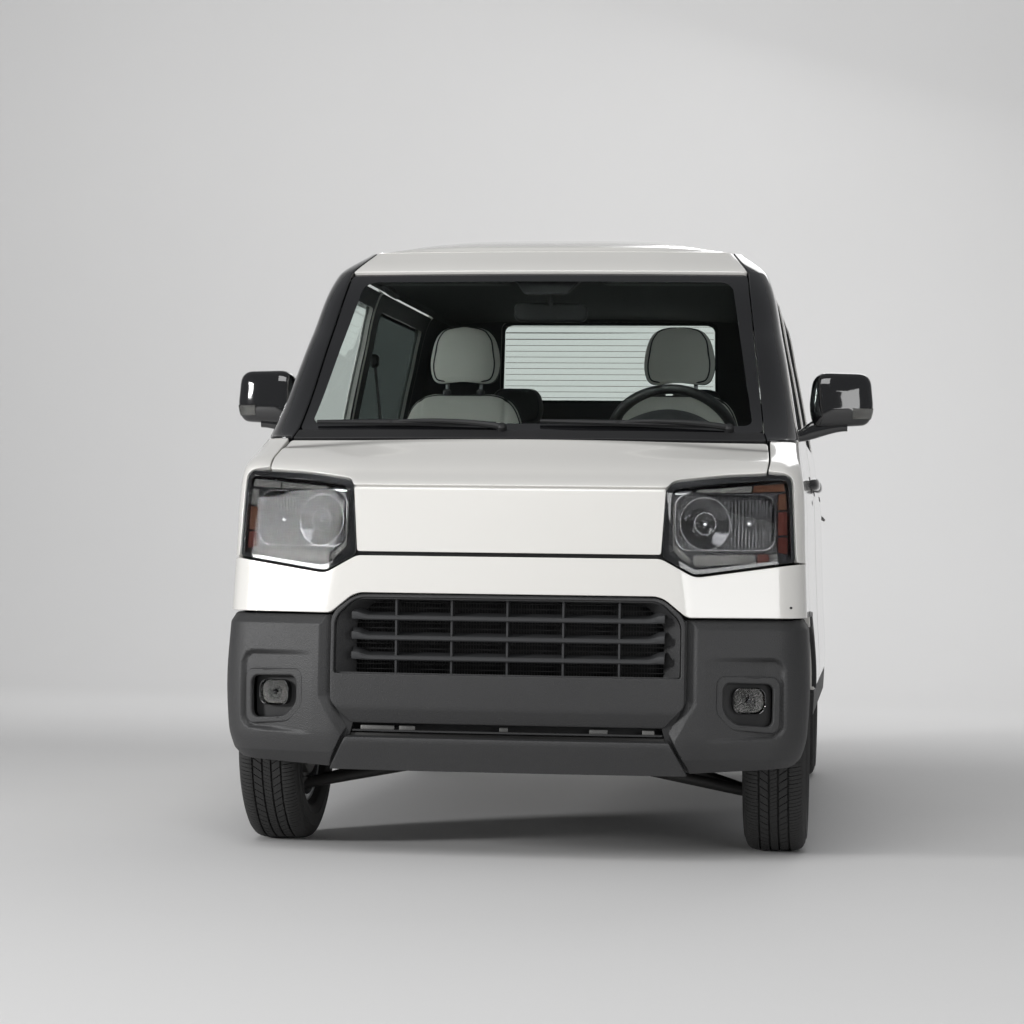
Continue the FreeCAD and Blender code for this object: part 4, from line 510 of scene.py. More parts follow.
class Skin:
    """The body's outer surface, charted by the run round the plan and the run up the nose."""

    def __init__(self):
        heights = [level[0] for level in LEVELS]
        self.heights = np.arange(heights[0], heights[-1] + ROW_STEP / 2, ROW_STEP)
        self.heights[-1] = heights[-1]
        self.rows = smooth_through(heights, [plan_section(level) for level in LEVELS],
                                   self.heights)
        self.rows[:, :, 1] += FRONT
        reference = self.rows[np.searchsorted(self.heights, 0.80)]
        self.runs = runs_of(reference)
        self.round = self.runs[-1]
        self.corner_end = SAMPLES["nose"] + SAMPLES["face"] + SAMPLES["corner"] + 10
        self.turn_start = len(self.runs) - SAMPLES["turn"] - SAMPLES["wall"] - 10
        self.climb = runs_of(np.stack([self.heights, self.rows[:, 0, 1]], axis=1))

    def row(self, height):
        index = np.clip((height - self.heights[0]) / ROW_STEP, 0, len(self.heights) - 1.001)
        low = int(index)
        return self.rows[low] + (self.rows[low + 1] - self.rows[low]) * (index - low)

    def chart(self, view, across, height):
        """Chart place of a point seen from the front, a side or the back."""
        row = self.row(height)
        if view == "front":
            run = np.interp(abs(across), row[:self.corner_end, 0], self.runs[:self.corner_end])
            run = math.copysign(run, across)
        elif view in ("side", "other_side"):
            run = np.interp(FRONT + across, row[:, 1], self.runs)
            run = run if view == "side" else -run
        elif view == "back":
            back = row[self.turn_start:, 0][::-1]
            run = np.interp(abs(across), back, self.runs[self.turn_start:][::-1])
            run = run if across >= 0 else 2 * self.round - run
        else:
            run = 2 * self.round - np.interp(FRONT + across, row[:, 1], self.runs)
        return np.array([run, np.interp(height, self.heights, self.climb)])

    def place(self, spots):
        """Points in space of chart places."""
        run = spots[:, 0]
        wrapped = run > self.round
        sign = np.where((run < 0) | wrapped, -1.0, 1.0)
        run = np.where(wrapped, 2 * self.round - run, np.abs(run))
        height = np.interp(spots[:, 1], self.climb, self.heights)
        column = np.clip(np.interp(run, self.runs, np.arange(len(self.runs))),
                         0, len(self.runs) - 1.001)
        level = np.clip((height - self.heights[0]) / ROW_STEP, 0, len(self.heights) - 1.001)
        c, r = column.astype(int), level.astype(int)
        fc, fr = (column - c)[:, None], (level - r)[:, None]
        flat = ((self.rows[r, c] * (1 - fc) + self.rows[r, c + 1] * fc) * (1 - fr)
                + (self.rows[r + 1, c] * (1 - fc) + self.rows[r + 1, c + 1] * fc) * fr)
        return np.stack([flat[:, 0] * sign, flat[:, 1], height], axis=1)

    def outward(self, spots, reach=0.004):
        """Outward unit directions at chart places."""
        lift = np.clip(spots[:, 1], self.climb[0] + reach, self.climb[-1] - reach)
        middle = np.stack([spots[:, 0], lift], axis=1)
        across = self.place(middle + (reach, 0)) - self.place(middle - (reach, 0))
        up = self.place(middle + (0, reach)) - self.place(middle - (0, reach))
        normal = np.cross(across, up)
        return normal / np.linalg.norm(normal, axis=1, keepdims=True)


skin = Skin()


def chart_loop(corners, step=0.008, softness=0.006):
    """Closed chart loop through corners (view, across, height, rounding), edges divided."""
    count = len(corners)
    spots = [skin.chart(*corner[:3]) for corner in corners]
    cuts = [corner[3] if len(corner) > 3 else softness for corner in corners]

    def along_edge(i, share):
        j = (i + 1) % count
        if corners[i][0] == corners[j][0]:
            a, b = corners[i], corners[j]
            return skin.chart(a[0], a[1] + (b[1] - a[1]) * share, a[2] + (b[2] - a[2]) * share)
        return spots[i] + (spots[j] - spots[i]) * share

    loop = []
    for i in range(count):
        length = max(np.linalg.norm(spots[(i + 1) % count] - spots[i]), 1e-6)
        back_length = max(np.linalg.norm(spots[i] - spots[i - 1]), 1e-6)
        entry = along_edge((i - 1) % count, 1 - min(cuts[i] / back_length, 0.47))
        leave = along_edge(i, min(cuts[i] / length, 0.47))
        turns = max(3, int(cuts[i] / 0.003))
        for t in np.linspace(0, 1, turns + 1):
            a = entry + (spots[i] - entry) * 0.56
            b = leave + (spots[i] - leave) * 0.56
            loop.append(entry * (1 - t) ** 3 + 3 * a * t * (1 - t) ** 2
                        + 3 * b * t * t * (1 - t) + leave * t ** 3)
        first = min(cuts[i] / length, 0.47)
        last = 1 - min(cuts[(i + 1) % count] / length, 0.47)
        pieces = max(1, int((last - first) * length / step))
        loop += [along_edge(i, share) for share in np.linspace(first, last, pieces + 1)[1:-1]]
    kept = [loop[0]]
    for spot in loop[1:]:
        if np.linalg.norm(spot - kept[-1]) > 0.0004:
            kept.append(spot)
    if np.linalg.norm(kept[0] - kept[-1]) < 0.0004:
        kept.pop()
    return np.array(kept)


def signed_area(loop):
    return 0.5 * np.sum(loop[:, 0] * np.roll(loop[:, 1], -1) - np.roll(loop[:, 0], -1) * loop[:, 1])


def inside(spots, loops):
    """Which spots lie inside the loops, holes left out."""
    hit = np.zeros(len(spots), bool)
    for loop in loops:
        for (ax, ay), (bx, by) in zip(loop, np.roll(loop, -1, axis=0)):
            crosses = (ay > spots[:, 1]) != (by > spots[:, 1])
            if by != ay:
                hit ^= crosses & (spots[:, 0] < (bx - ax) * (spots[:, 1] - ay) / (by - ay) + ax)
    return hit


def mesh_of(name, points, faces, normals, slots, materials):
    """A mesh with its own corner normals and a material slot for each face."""
    mesh = bpy.data.meshes.new(name)
    mesh.from_pydata(points.tolist(), [], faces)
    for material in materials:
        mesh.materials.append(material)
    mesh.polygons.foreach_set("material_index", slots)
    mesh.shade_smooth()
    mesh.normals_split_custom_set([tuple(normal) for normal in normals])
    return mesh


def filled(loops, grid):
    """Chart spots over the loops and a staggered field between them, in triangles."""
    border = np.concatenate(loops)
    low, high = border.min(axis=0), border.max(axis=0)
    across = np.arange(low[0] + grid * 0.4, high[0], grid)
    up = np.arange(low[1] + grid * 0.4, high[1], grid * 0.88)
    field = np.array([(a + (grid / 2 if k % 2 else 0), b) for k, b in enumerate(up)
                      for a in across]).reshape(-1, 2)
    if len(field):
        field = field[inside(field, loops)]
    if len(field):
        clear = np.array([np.min(np.sum((border - spot) ** 2, axis=1)) for spot in field])
        field = field[clear > (0.55 * grid) ** 2]
    spots = np.concatenate([border, field]) if len(field) else border
    starts = np.cumsum([0] + [len(loop) for loop in loops])
    rims = [list(range(start, end)) for start, end in zip(starts[:-1], starts[1:])]
    edges = [(a, b) for rim in rims for a, b in zip(rim, rim[1:] + rim[:1])]
    found, _, triangles, _, _, _ = geometry.delaunay_2d_cdt(
        [Vector(spot) for spot in spots], edges, [], 0, 1e-7)
    spots = np.array([tuple(spot) for spot in found])
    triangles = np.array([tuple(face) for face in triangles])
    triangles = triangles[inside(spots[triangles].mean(axis=1), loops)]
    a, b, c = (spots[triangles[:, k]] for k in range(3))
    turned = ((b - a)[:, 0] * (c - a)[:, 1] - (b - a)[:, 1] * (c - a)[:, 0]) < 0
    triangles[turned] = triangles[turned][:, ::-1]
    return spots, triangles, rims


def unit_rows(vectors, least=0.0):
    """The vectors at unit length, or shorter where they are shorter than the least."""
    return vectors / np.maximum(np.linalg.norm(vectors, axis=1, keepdims=True), least)


def lifted(spots, sink, relief):
    """Surface points of chart spots with their own normals and the skin's normals."""
    surface, skin_normal = skin.place(spots), skin.outward(spots)
    lift, normal = np.full(len(spots), -sink), skin_normal
    if relief:
        lift = lift + relief(surface)
        for shift in ((0.002, 0), (0, 0.002)):
            ahead, behind = skin.place(spots + shift), skin.place(spots - shift)
            run = np.linalg.norm(ahead - behind, axis=1)
            slope = (relief(ahead) - relief(behind)) / run
            normal = normal - (ahead - behind) / run[:, None] * slope[:, None]
        normal = unit_rows(normal)
    return surface + skin_normal * lift[:, None], normal, skin_normal


def mirrored_faces(faces, corner_normals):
    """Faces and their corner normals in the order that suits mirrored points."""
    sizes = [len(face) for face in faces]
    starts = np.cumsum([0] + sizes[:-1])
    order = np.concatenate([np.arange(s + n - 1, s - 1, -1) for s, n in zip(starts, sizes)])
    return [face[::-1] for face in faces], corner_normals[order] * (-1, 1, 1)


def panel(name, corners, body, slot, look, holes=(), thick=0.010, edge=0.0022, sink=0.0,
          grid=0.013, relief=None, lining=None, replaced=(), flip=False):
    """A sheet of the body's surface with rounded edges and a returned wall, closed behind."""
    loops = [chart_loop(corners)] + [chart_loop(hole) for hole in holes]
    loops = [loop if (signed_area(loop) > 0) == (index == 0) else loop[::-1]
             for index, loop in enumerate(loops)]
    spots, triangles, rims = filled(loops, grid)
    surface, normal, base_normal = lifted(spots, sink, relief)
    count = len(spots)
    points = [surface.copy(), surface - base_normal * thick]
    faces = [tuple(face) for face in triangles.tolist()]
    corner_normals = [normal[k] for face in faces for k in face]
    back = [(c + count, b + count, a + count) for a, b, c in faces]
    back_normals = [-base_normal[k - count] for face in back for k in face]
    total = 2 * count
    wall_faces, wall_normals = [], []
    for rim in rims:
        here, face_normal, size = surface[rim], base_normal[rim], len(rim)
        ahead = unit_rows(np.roll(here, -1, axis=0) - here, 1e-9)
        inward = unit_rows(np.cross(face_normal, unit_rows(
            ahead + np.roll(ahead, 1, axis=0), 1e-9)))
        slant = np.clip(1 / np.maximum(np.sum(inward * np.cross(face_normal, ahead), axis=1),
                                       0.5), 1, 1.5)[:, None]
        points[0][rim] = here + inward * edge * slant
        points[1][rim] = here - face_normal * thick
        points += [here + inward * edge * BEND * slant - face_normal * edge * BEND,
                   here - face_normal * edge]
        rings = [rim, list(range(total, total + size)), list(range(total + size, total + 2 * size)),
                 [k + count for k in rim]]
        total += 2 * size
        slopes = [normal[rim], (face_normal - inward) / math.sqrt(2), -inward, -inward]
        for ring in range(3):
            for k in range(size):
                j = (k + 1) % size
                around = ((ring, k), (ring + 1, k), (ring + 1, j), (ring, j))
                wall_faces.append(tuple(rings[r][n] for r, n in around))
                wall_normals += [slopes[r][n] for r, n in around]
    slots = [0] * len(faces) + [0] * len(wall_faces) + [1 if lining else 0] * len(back)
    faces = faces + wall_faces + back
    corner_normals = np.array(corner_normals + wall_normals + back_normals)
    points = np.concatenate(points)
    if flip:
        points = points * (-1, 1, 1)
        faces, corner_normals = mirrored_faces(faces, corner_normals)
    mesh = mesh_of(name, points, faces, corner_normals, slots,
                   [look] + ([lining] if lining else []))
    return piece(name, mesh, body, slot, *replaced)


def panel_pair(name, corners, body, slot, look, replaced=(), **settings):
    """A panel on the left side and its mirror image on the right; bodies may be a pair."""
    bodies = body if isinstance(body, tuple) else (body, body)
    looks = look if isinstance(look, tuple) else (look, look)
    left, right = replaced if replaced else ((), ())
    panel(f"{name}_left", corners, bodies[0], slot, looks[0], replaced=left, **settings)
    panel(f"{name}_right", corners, bodies[1], slot, looks[1], replaced=right, flip=True,
          **settings)


# ---------------------------------------------------------------- body panels

GAP = 0.0055
LINE = 0.0024
DOOR_START = 0.500
DOOR_END = 1.425
SLIDE_START = 1.449
SLIDE_END = 2.335
DOOR_LOW = 0.400
DOOR_HIGH = 1.548
ARCH = TYRE_RADIUS + 0.042
AXLE_DEPTH = FRONT_AXLE - FRONT
BUMPER_SIDE = 0.2345


def mirrored_outline(half):
    """A whole outline from the corners of its left half, top to bottom."""
    other = [("other_side", across, *rest) if view == "side" else (view, -across, *rest)
             for view, across, *rest in reversed(half)]
    return half + other


def arch_edge(low, high, back=False, clearance=0.0, count=9):
    """Side corners along the front wheel arch between two heights."""
    radius = ARCH + clearance
    sign = 1 if back else -1
    start, end = (math.asin((height - TYRE_RADIUS) / radius) for height in (low, high))
    return [("side", AXLE_DEPTH + sign * radius * math.cos(angle),
             TYRE_RADIUS + radius * math.sin(angle), 0.0)
            for angle in np.linspace(start, end, count)]


def leaning(depth, height):
    """A side corner on a door edge that leans forward towards the middle of the cab."""
    row = skin.row(height)
    across = np.interp(FRONT + depth, row[:, 1], row[:, 0])
    return ("side", depth - 0.2 * (HALF + 0.030 - across), height)


def bonnet_crease(place):
    """A soft fold across the bonnet ahead of the windscreen."""
    rise = np.clip((place[:, 1] - FRONT - 0.285) / 0.05, 0, 1)
    return -0.006 * rise * rise * (3 - 2 * rise)


panel("bonnet_skin", mirrored_outline([
    ("front", 0.6215, 1.0560, 0.012), ("front", 0.6305, 1.0000, 0.02),
    ("front", 0.6270, 0.9700, 0.006), ("front", 0.5200, 0.9640, 0.03),
    ("front", 0.4050, 0.9490, 0.018), ("front", 0.3900, 0.9300, 0.006)]), "bonnet", "body_paint",
    paint, thick=0.012, relief=bonnet_crease, replaced=("bonnet",))
panel("nose_skin", mirrored_outline([
    ("front", 0.3885, 0.9262, 0.006), ("front", 0.3775, 0.7635, 0.006)]), "truck_body",
    "body_paint", paint, sink=0.002, replaced=("nose_panel",))
panel("nose_gap", mirrored_outline([
    ("front", 0.3860, 0.7720, 0.002), ("front", 0.3860, 0.7450, 0.002)]), "truck_body",
    "matte_black", matte_black, sink=0.020, thick=0.003)
panel("nose_gap_upper", mirrored_outline([
    ("front", 0.3990, 0.9400, 0.002), ("front", 0.3990, 0.9180, 0.002)]), "truck_body",
    "matte_black", matte_black, sink=0.016, thick=0.003)
panel("bumper_skin", mirrored_outline([
    ("front", 0.3775, 0.7535, 0.010), ("front", 0.4545, 0.7115, 0.012),
    ("front", 0.4720, 0.7100, 0.010), ("front", 0.7005, 0.7430, 0.020),
    ("side", BUMPER_SIDE, 0.7440, 0.004), ("side", BUMPER_SIDE, 0.6105, 0.004),
    ("front", 0.7000, 0.6105, 0.010), ("front", 0.4430, 0.6105, 0.012),
    ("front", 0.3800, 0.6620, 0.020)]), "truck_body", "body_paint", paint, thick=0.016,
    replaced=("bumper_upper",))

FENDER_END = DOOR_START - GAP / 2
panel_pair("fender", [
    ("front", 0.6310, 0.9760, 0.006), ("front", 0.6345, 1.0000, 0.02),
    ("front", 0.6265, 1.0565, 0.006),
    ("side", FENDER_END, 1.0555, 0.004), ("side", FENDER_END, 0.6105, 0.004),
    ("side", BUMPER_SIDE + LINE, 0.6105, 0.004), ("side", BUMPER_SIDE + LINE, 0.7465, 0.004),
    ("front", 0.7045, 0.7480, 0.010), ("front", 0.6930, 0.9550, 0.012),
    ("front", 0.6730, 0.9700, 0.012)], "truck_body", "body_paint", paint, thick=0.012,
    replaced=(("fender_left",), ("fender_right",)))

# Doors.
DOOR_BODIES = ("front_door_left", "front_door_right")
front_window = [("side", 0.612, 1.092, 0.03), ("side", 0.962, 1.490, 0.05),
                ("side", 1.375, 1.490, 0.03), ("side", 1.375, 1.092, 0.03)]
slide_window = [("side", 1.509, 1.092, 0.03), ("side", 1.509, 1.490, 0.03),
                ("side", 2.263, 1.490, 0.03), ("side", 2.263, 1.092, 0.03)]
door_front = DOOR_START + GAP / 2
door_back = DOOR_END - GAP / 2
door_outline = ([("side", door_front, 1.0835, 0.02), ("side", 0.9275, DOOR_HIGH - GAP / 2, 0.04)]
                + [(*leaning(door_back, height), soft) for height, soft in (
                    (DOOR_HIGH - GAP / 2, 0.022), (1.35, 0), (1.07, 0), (0.92, 0),
                    (DOOR_LOW + GAP / 2, 0.022))]
                + arch_edge(DOOR_LOW + GAP / 2, 0.5770, back=True, clearance=0.0015)
                + [("side", door_front, TYRE_RADIUS + math.sqrt(
                    (ARCH + 0.0015) ** 2 - (door_front - AXLE_DEPTH) ** 2), 0.003)])
panel_pair("front_door", door_outline, DOOR_BODIES, "body_paint", paint, thick=0.024,
           holes=(front_window,), lining=trim_dark,
           replaced=(("front_door_left",), ("front_door_right",)))
slide_outline = [(*leaning(SLIDE_START + LINE / 2, height), soft) for height, soft in (
    (DOOR_LOW + LINE, 0.022), (0.92, 0), (1.07, 0), (1.35, 0), (DOOR_HIGH - LINE / 2, 0.022))]
slide_outline += [("side", SLIDE_END - LINE / 2, DOOR_HIGH - LINE / 2, 0.022),
                  ("side", SLIDE_END - LINE / 2, DOOR_LOW + LINE, 0.022)]
panel_pair("sliding_door", slide_outline, "truck_body", "body_paint", paint, thick=0.024,
           holes=(slide_window,), lining=trim_dark,
           replaced=(("sliding_door_left",), ("sliding_door_right",)))


def shrunk(corners, inset):
    """Side corners moved in towards their middle."""
    middle = np.mean([corner[1:3] for corner in corners], axis=0)
    return [(view, across + math.copysign(inset, middle[0] - across),
             height + math.copysign(inset, middle[1] - height), *rest)
            for view, across, height, *rest in corners]


# Side glass with its black rubber.
for name, window, bodies, look, slot, nodes in (
        ("front_door", front_window, DOOR_BODIES, clear_glass, "clear_glass",
         (("front_door_glass_left",), ("front_door_glass_right",))),
        ("sliding_door", slide_window, "truck_body", privacy_glass, "privacy_glass",
         (("sliding_door_glass",), ()))):
    panel_pair(f"{name}_pane", shrunk(window, 0.0008), bodies, slot, look, thick=0.0045,
               sink=0.009, edge=0.0008, replaced=nodes, grid=0.03)
    panel_pair(f"{name}_rubber", shrunk(window, 0.0005), bodies, "matte_black", matte_black,
               holes=(shrunk(window, 0.011),), thick=0.005, sink=0.0038, edge=0.0015)

# Pillars and roof rails in black, roof front and cab rear in paint, sills in grained plastic.
panel_pair("pillar", [
    ("side", FENDER_END, 1.0600, 0.003), ("side", FENDER_END, 1.0860, 0.02),
    ("side", 0.9235, DOOR_HIGH + GAP / 2, 0.04), ("side", 2.300, DOOR_HIGH + GAP / 2, 0.004),
    ("side", 2.300, 1.5985, 0.01), ("side", 1.100, 1.5985, 0.004), ("front", 0.4985, 1.5985, 0.004),
    ("front", 0.5468, 1.5330, 0.01), ("front", 0.6105, 1.0830, 0.004),
    ("front", 0.6190, 1.0600, 0.003)], "truck_body", "gloss_black", gloss_black, thick=0.020,
    edge=0.004, lining=trim_dark, replaced=(("cab_shell",), ()))
panel("roof_front", mirrored_outline([
    ("front", 0.4970, 1.5985, 0.003), ("front", 0.5440, 1.5345, 0.004)]), "truck_body",
    "body_paint", paint, thick=0.016, edge=0.003)

# Roof: a broad crown rising from the top edge of the cab, with two shallow swages.
# Columns: distance behind the roof's front edge, rise of the middle.
ROOF_RUN = np.array([(-0.001, 0.0), (0.0, 0.0), (0.020, 0.0130), (0.150, 0.0410), (0.450, 0.0735),
                     (0.850, 0.0900), (1.350, 0.0815), (1.700, 0.0560), (1.785, 0.004),
                     (1.786, 0.004)])
ROOF_EDGE = 1.5990


def roof_height(share, behind):
    """The roof's height at a share of its half width and a distance behind its front edge."""
    across = (1 - abs(share) ** 4.5) ** 0.85
    swage = smooth_step((behind - 0.28) / 0.06) * smooth_step((1.62 - behind) / 0.06)
    swage *= float(smooth_step((abs(share) - 0.30) / 0.05)
                   - smooth_step((abs(share) - 0.48) / 0.05))
    rise = smooth_through(ROOF_RUN[:, 0], ROOF_RUN[:, 1], np.array([behind]))[0]
    return ROOF_EDGE + float(rise) * across - 0.0035 * float(swage)


def roof_mesh():
    columns = np.sin(np.linspace(-1, 1, 65) * math.pi / 2)
    lengths = np.concatenate([np.linspace(0, 0.03, 5), np.linspace(0.05, 1.70, 56),
                              np.linspace(1.72, 1.785, 7)])
    form = bmesh.new()
    top, under = [], []
    for share in columns:
        edge = skin.place(skin.chart("front", abs(share) * 0.4955, 1.5985)[None])[0]
        x = math.copysign(edge[0], share)
        line = []
        for behind in lengths:
            reach = edge[1] + (CAB_REAR - 0.022 - edge[1]) * behind / lengths[-1]
            line.append((x, reach, roof_height(share, behind)))
        top.append([form.verts.new(point) for point in line])
        under.append([form.verts.new((a, b, c - 0.012)) for a, b, c in line])
    for k in range(len(columns) - 1):
        for n in range(len(lengths) - 1):
            form.faces.new((top[k][n], top[k + 1][n], top[k + 1][n + 1], top[k][n + 1]))
            form.faces.new((under[k][n], under[k][n + 1], under[k + 1][n + 1], under[k + 1][n]))
    for rim in (0, -1):
        for n in range(len(lengths) - 1):
            form.faces.new((top[rim][n], top[rim][n + 1], under[rim][n + 1], under[rim][n]))
        for k in range(len(columns) - 1):
            form.faces.new((top[k][rim], top[k + 1][rim], under[k + 1][rim], under[k][rim]))
    bmesh.ops.recalc_face_normals(form, faces=form.faces)
    mesh = bpy.data.meshes.new("roof_crown")
    form.to_mesh(mesh)
    form.free()
    mesh.materials.append(paint)
    mesh.shade_smooth()
    mesh.set_sharp_from_angle(angle=math.radians(40))
    return mesh


piece("roof_crown", roof_mesh(), "truck_body", "body_paint", "roof_panel")
rear_window_hole = [("back", 0.3655, 1.540, 0.036), ("back", -0.3655, 1.540, 0.036),
                    ("back", -0.3695, 1.264, 0.036), ("back", 0.3695, 1.264, 0.036)]
REAR_EDGE = SLIDE_END + LINE / 2
panel("cab_rear", [
    ("side", REAR_EDGE, 0.333, 0.004), ("back", 0.6275, 0.333, 0.004),
    ("back", 0.6275, 0.458, 0.004), ("back", -0.6275, 0.458, 0.004),
    ("back", -0.6275, 0.333, 0.004), ("far_side", REAR_EDGE, 0.333, 0.004),
    ("far_side", REAR_EDGE, 1.5515, 0.004), ("far_side", 2.3015, 1.5515, 0.004),
    ("far_side", 2.3015, 1.5985, 0.004), ("side", 2.3015, 1.5985, 0.004),
    ("side", 2.3015, 1.5515, 0.004), ("side", REAR_EDGE, 1.5515, 0.004)],
    "truck_body", "body_paint", paint, thick=0.024, holes=(rear_window_hole,), lining=trim_dark)
panel("rear_pane", [(view, across * 0.998, 1.402 + (height - 1.402) * 0.996, soft)
                    for view, across, height, soft in rear_window_hole], "truck_body",
      "clear_glass", clear_glass, thick=0.0045, sink=0.009, edge=0.0008, grid=0.04,
      replaced=("rear_window",))
panel("rear_rubber", rear_window_hole, "truck_body", "matte_black", matte_black, thick=0.005,
      sink=0.0038, edge=0.0015, holes=([
          (view, across - math.copysign(0.011, across), height + math.copysign(0.011, 1.4 - height),
           soft) for view, across, height, soft in rear_window_hole],))
panel_pair("sill", [("side", REAR_EDGE, 0.333, 0.004), ("side", REAR_EDGE, 0.3975, 0.004)]
           + arch_edge(0.333, 0.3975, back=True, clearance=0.0015, count=4)[::-1], "truck_body",
           "dark_cladding", cladding, thick=0.020)
panel_pair("middle_pillar", [
    (*leaning(SLIDE_START + 0.010, height), 0.002) for height in (0.405, 0.92, 1.07, 1.35, 1.545)]
    + [(*leaning(DOOR_END - 0.012, height), 0.002) for height in (1.545, 1.35, 1.07, 0.92, 0.405)],
    "truck_body", "matte_black", matte_black, thick=0.006, sink=0.012)

# Cowl and windscreen with its black border.
panel("cowl_skin", mirrored_outline([
    ("front", 0.6090, 1.0830, 0.004), ("front", 0.6175, 1.0605, 0.004)]), "truck_body",
    "matte_black", matte_black, thick=0.010, sink=0.003, replaced=("cowl",))
screen = [("front", 0.5445, 1.5325, 0.020), ("front", 0.6085, 1.0845, 0.020)]
border = [("front", 0.5050, 1.5090, 0.040), ("front", 0.5800, 1.1040, 0.025)]
panel("windscreen_pane", mirrored_outline(screen), "truck_body", "clear_glass", clear_glass,
      thick=0.0045, sink=0.009, edge=0.0008, grid=0.03, replaced=("windscreen",))
panel("windscreen_border", mirrored_outline(screen), "truck_body", "gloss_black", gloss_black,
      thick=0.0014, sink=0.0078, edge=0.0003, holes=(mirrored_outline(border),))

# The rear part of the front arch flare, on the doors, and the rails of the sliding doors.
flare_band = [("side", AXLE_DEPTH + radius * math.cos(turn), TYRE_RADIUS + radius * math.sin(turn))
              for radius, turns in ((ARCH + 0.001, np.radians(np.linspace(26.6, 88.8, 14))),
                                    (ARCH + 0.042, np.radians(np.linspace(88.8, 23.0, 14))))
              for turn in turns]
panel_pair("door_flare", flare_band, ("front_door_left", "front_door_right"), "dark_cladding",
           cladding, thick=0.012, sink=-0.0050, edge=0.0030, grid=0.010)
panel_pair("slide_rail", [("side", 2.350, 0.9405, 0.003), ("side", 2.535, 0.9405, 0.003),
                          ("side", 2.535, 0.9555, 0.003), ("side", 2.350, 0.9555, 0.003)],
           "truck_body", "matte_black", matte_black, thick=0.0020, sink=-0.0008, edge=0.0006)


# ---------------------------------------------------------------- bumper cladding and grille

CLADDING_TOP = 0.6065


def wing_relief(place):
    """Chamfers along the wing's edges and the swept hollow round the fog lamp."""
    across = np.abs(place[:, 0])
    height = place[:, 2]
    top = np.maximum(height - 0.582, 0) * 0.55
    upright = 0.4700 - across
    slant = (across - 0.4135) * -0.869 + (height - 0.302) * 0.4952
    inner = np.maximum(np.minimum(upright, slant), 0) * 0.85
    foot = np.maximum(0.262 - height, 0) * 0.45
    radius = 0.034
    floor_height = 0.3150 + (across - 0.657) * 0.062
    beside = across - (0.684 - radius)
    above = np.maximum(height - (0.514 - radius), floor_height + radius - height)
    reach = (np.hypot(np.maximum(beside, 0), np.maximum(above, 0)) - radius
             + np.minimum(np.maximum(beside, above), 0))
    hollow = smooth_step(-reach / 0.009) * 0.013 * np.clip((across - 0.487) / 0.15, 0, 1)
    return -np.maximum(np.maximum(top, inner), foot) - hollow


fog_hole = [("front", 0.5180, 0.4680, 0.024), ("front", 0.6700, 0.4640, 0.024),
            ("front", 0.6690, 0.3290, 0.026), ("front", 0.5560, 0.3380, 0.016),
            ("front", 0.5170, 0.3790, 0.016)]
SIDE_ARCH = arch_edge(0.2385, 0.5560, clearance=0.0, count=10)
panel_pair("wing", [
    ("front", 0.4430, CLADDING_TOP, 0.003), ("front", 0.4430, 0.4000, 0.010),
    ("front", 0.3970, 0.3300, 0.003), ("front", 0.4145, 0.3000, 0.006),
    ("front", 0.4540, 0.2205, 0.004)] + SIDE_ARCH + [
    ("side", 0.3985, 0.5560, 0.002), ("side", 0.3985, CLADDING_TOP, 0.003),
    ("front", 0.7000, CLADDING_TOP, 0.010)], "truck_body", "dark_cladding", cladding, thick=0.018,
    edge=0.003, grid=0.0058, relief=wing_relief, holes=(fog_hole,),
    replaced=(("bumper_cladding",), ()))


def beam_relief(place):
    height = place[:, 2]
    return -np.maximum(0.3775 - height, 0) * 0.45 - np.maximum(height - 0.628, 0) * 0.30


mouth = mirrored_outline([("front", 0.3770, 0.6500, 0.020), ("front", 0.4300, 0.6000, 0.020),
                          ("front", 0.4300, 0.4620, 0.006)])
panel("beam", mirrored_outline([
    ("front", 0.3790, 0.6600, 0.020), ("front", 0.4400, 0.6070, 0.020),
    ("front", 0.4395, 0.3940, 0.010), ("front", 0.3900, 0.3375, 0.006)]), "truck_body",
    "dark_cladding", cladding, thick=0.016, edge=0.003, grid=0.0085, relief=beam_relief,
    holes=(mouth,))


def skirt_relief(place):
    return -np.maximum(place[:, 2] - 0.292, 0) * 0.5


panel("skirt", mirrored_outline([
    ("front", 0.4025, 0.3025, 0.004), ("front", 0.4465, 0.2205, 0.004)]), "truck_body",
    "dark_cladding", cladding, thick=0.016, edge=0.003, relief=skirt_relief)
panel_pair("channel_floor", [
    ("front", 0.4340, 0.6060, 0.002), ("front", 0.4300, 0.3950, 0.002),
    ("front", 0.3840, 0.3400, 0.002), ("front", 0.3950, 0.2950, 0.002),
    ("front", 0.4400, 0.2230, 0.002), ("front", 0.4610, 0.2230, 0.002),
    ("front", 0.4180, 0.3050, 0.002), ("front", 0.4500, 0.3950, 0.002),
    ("front", 0.4500, 0.6060, 0.002)], "truck_body", "matte_black", matte_black, sink=0.020,
    thick=0.004)


def meshed(form, name, materials, smooth=35, turned=True):
    """The form as a mesh that is smooth up to an angle, its faces turned outwards if asked."""
    if turned:
        bmesh.ops.recalc_face_normals(form, faces=form.faces)
    mesh = bpy.data.meshes.new(name)
    form.to_mesh(mesh)
    form.free()
    for material in materials:
        mesh.materials.append(material)
    mesh.shade_smooth()
    mesh.set_sharp_from_angle(angle=math.radians(smooth))
    return mesh


def bridged(form, loops):
    """The loops as rings of vertices, each joined to the next by faces."""
    rings = [[form.verts.new(point) for point in loop] for loop in loops]
    for first, second in zip(rings, rings[1:]):
        for k in range(len(first)):
            j = (k + 1) % len(first)
            form.faces.new((first[k], first[j], second[j], second[k]))
    return rings


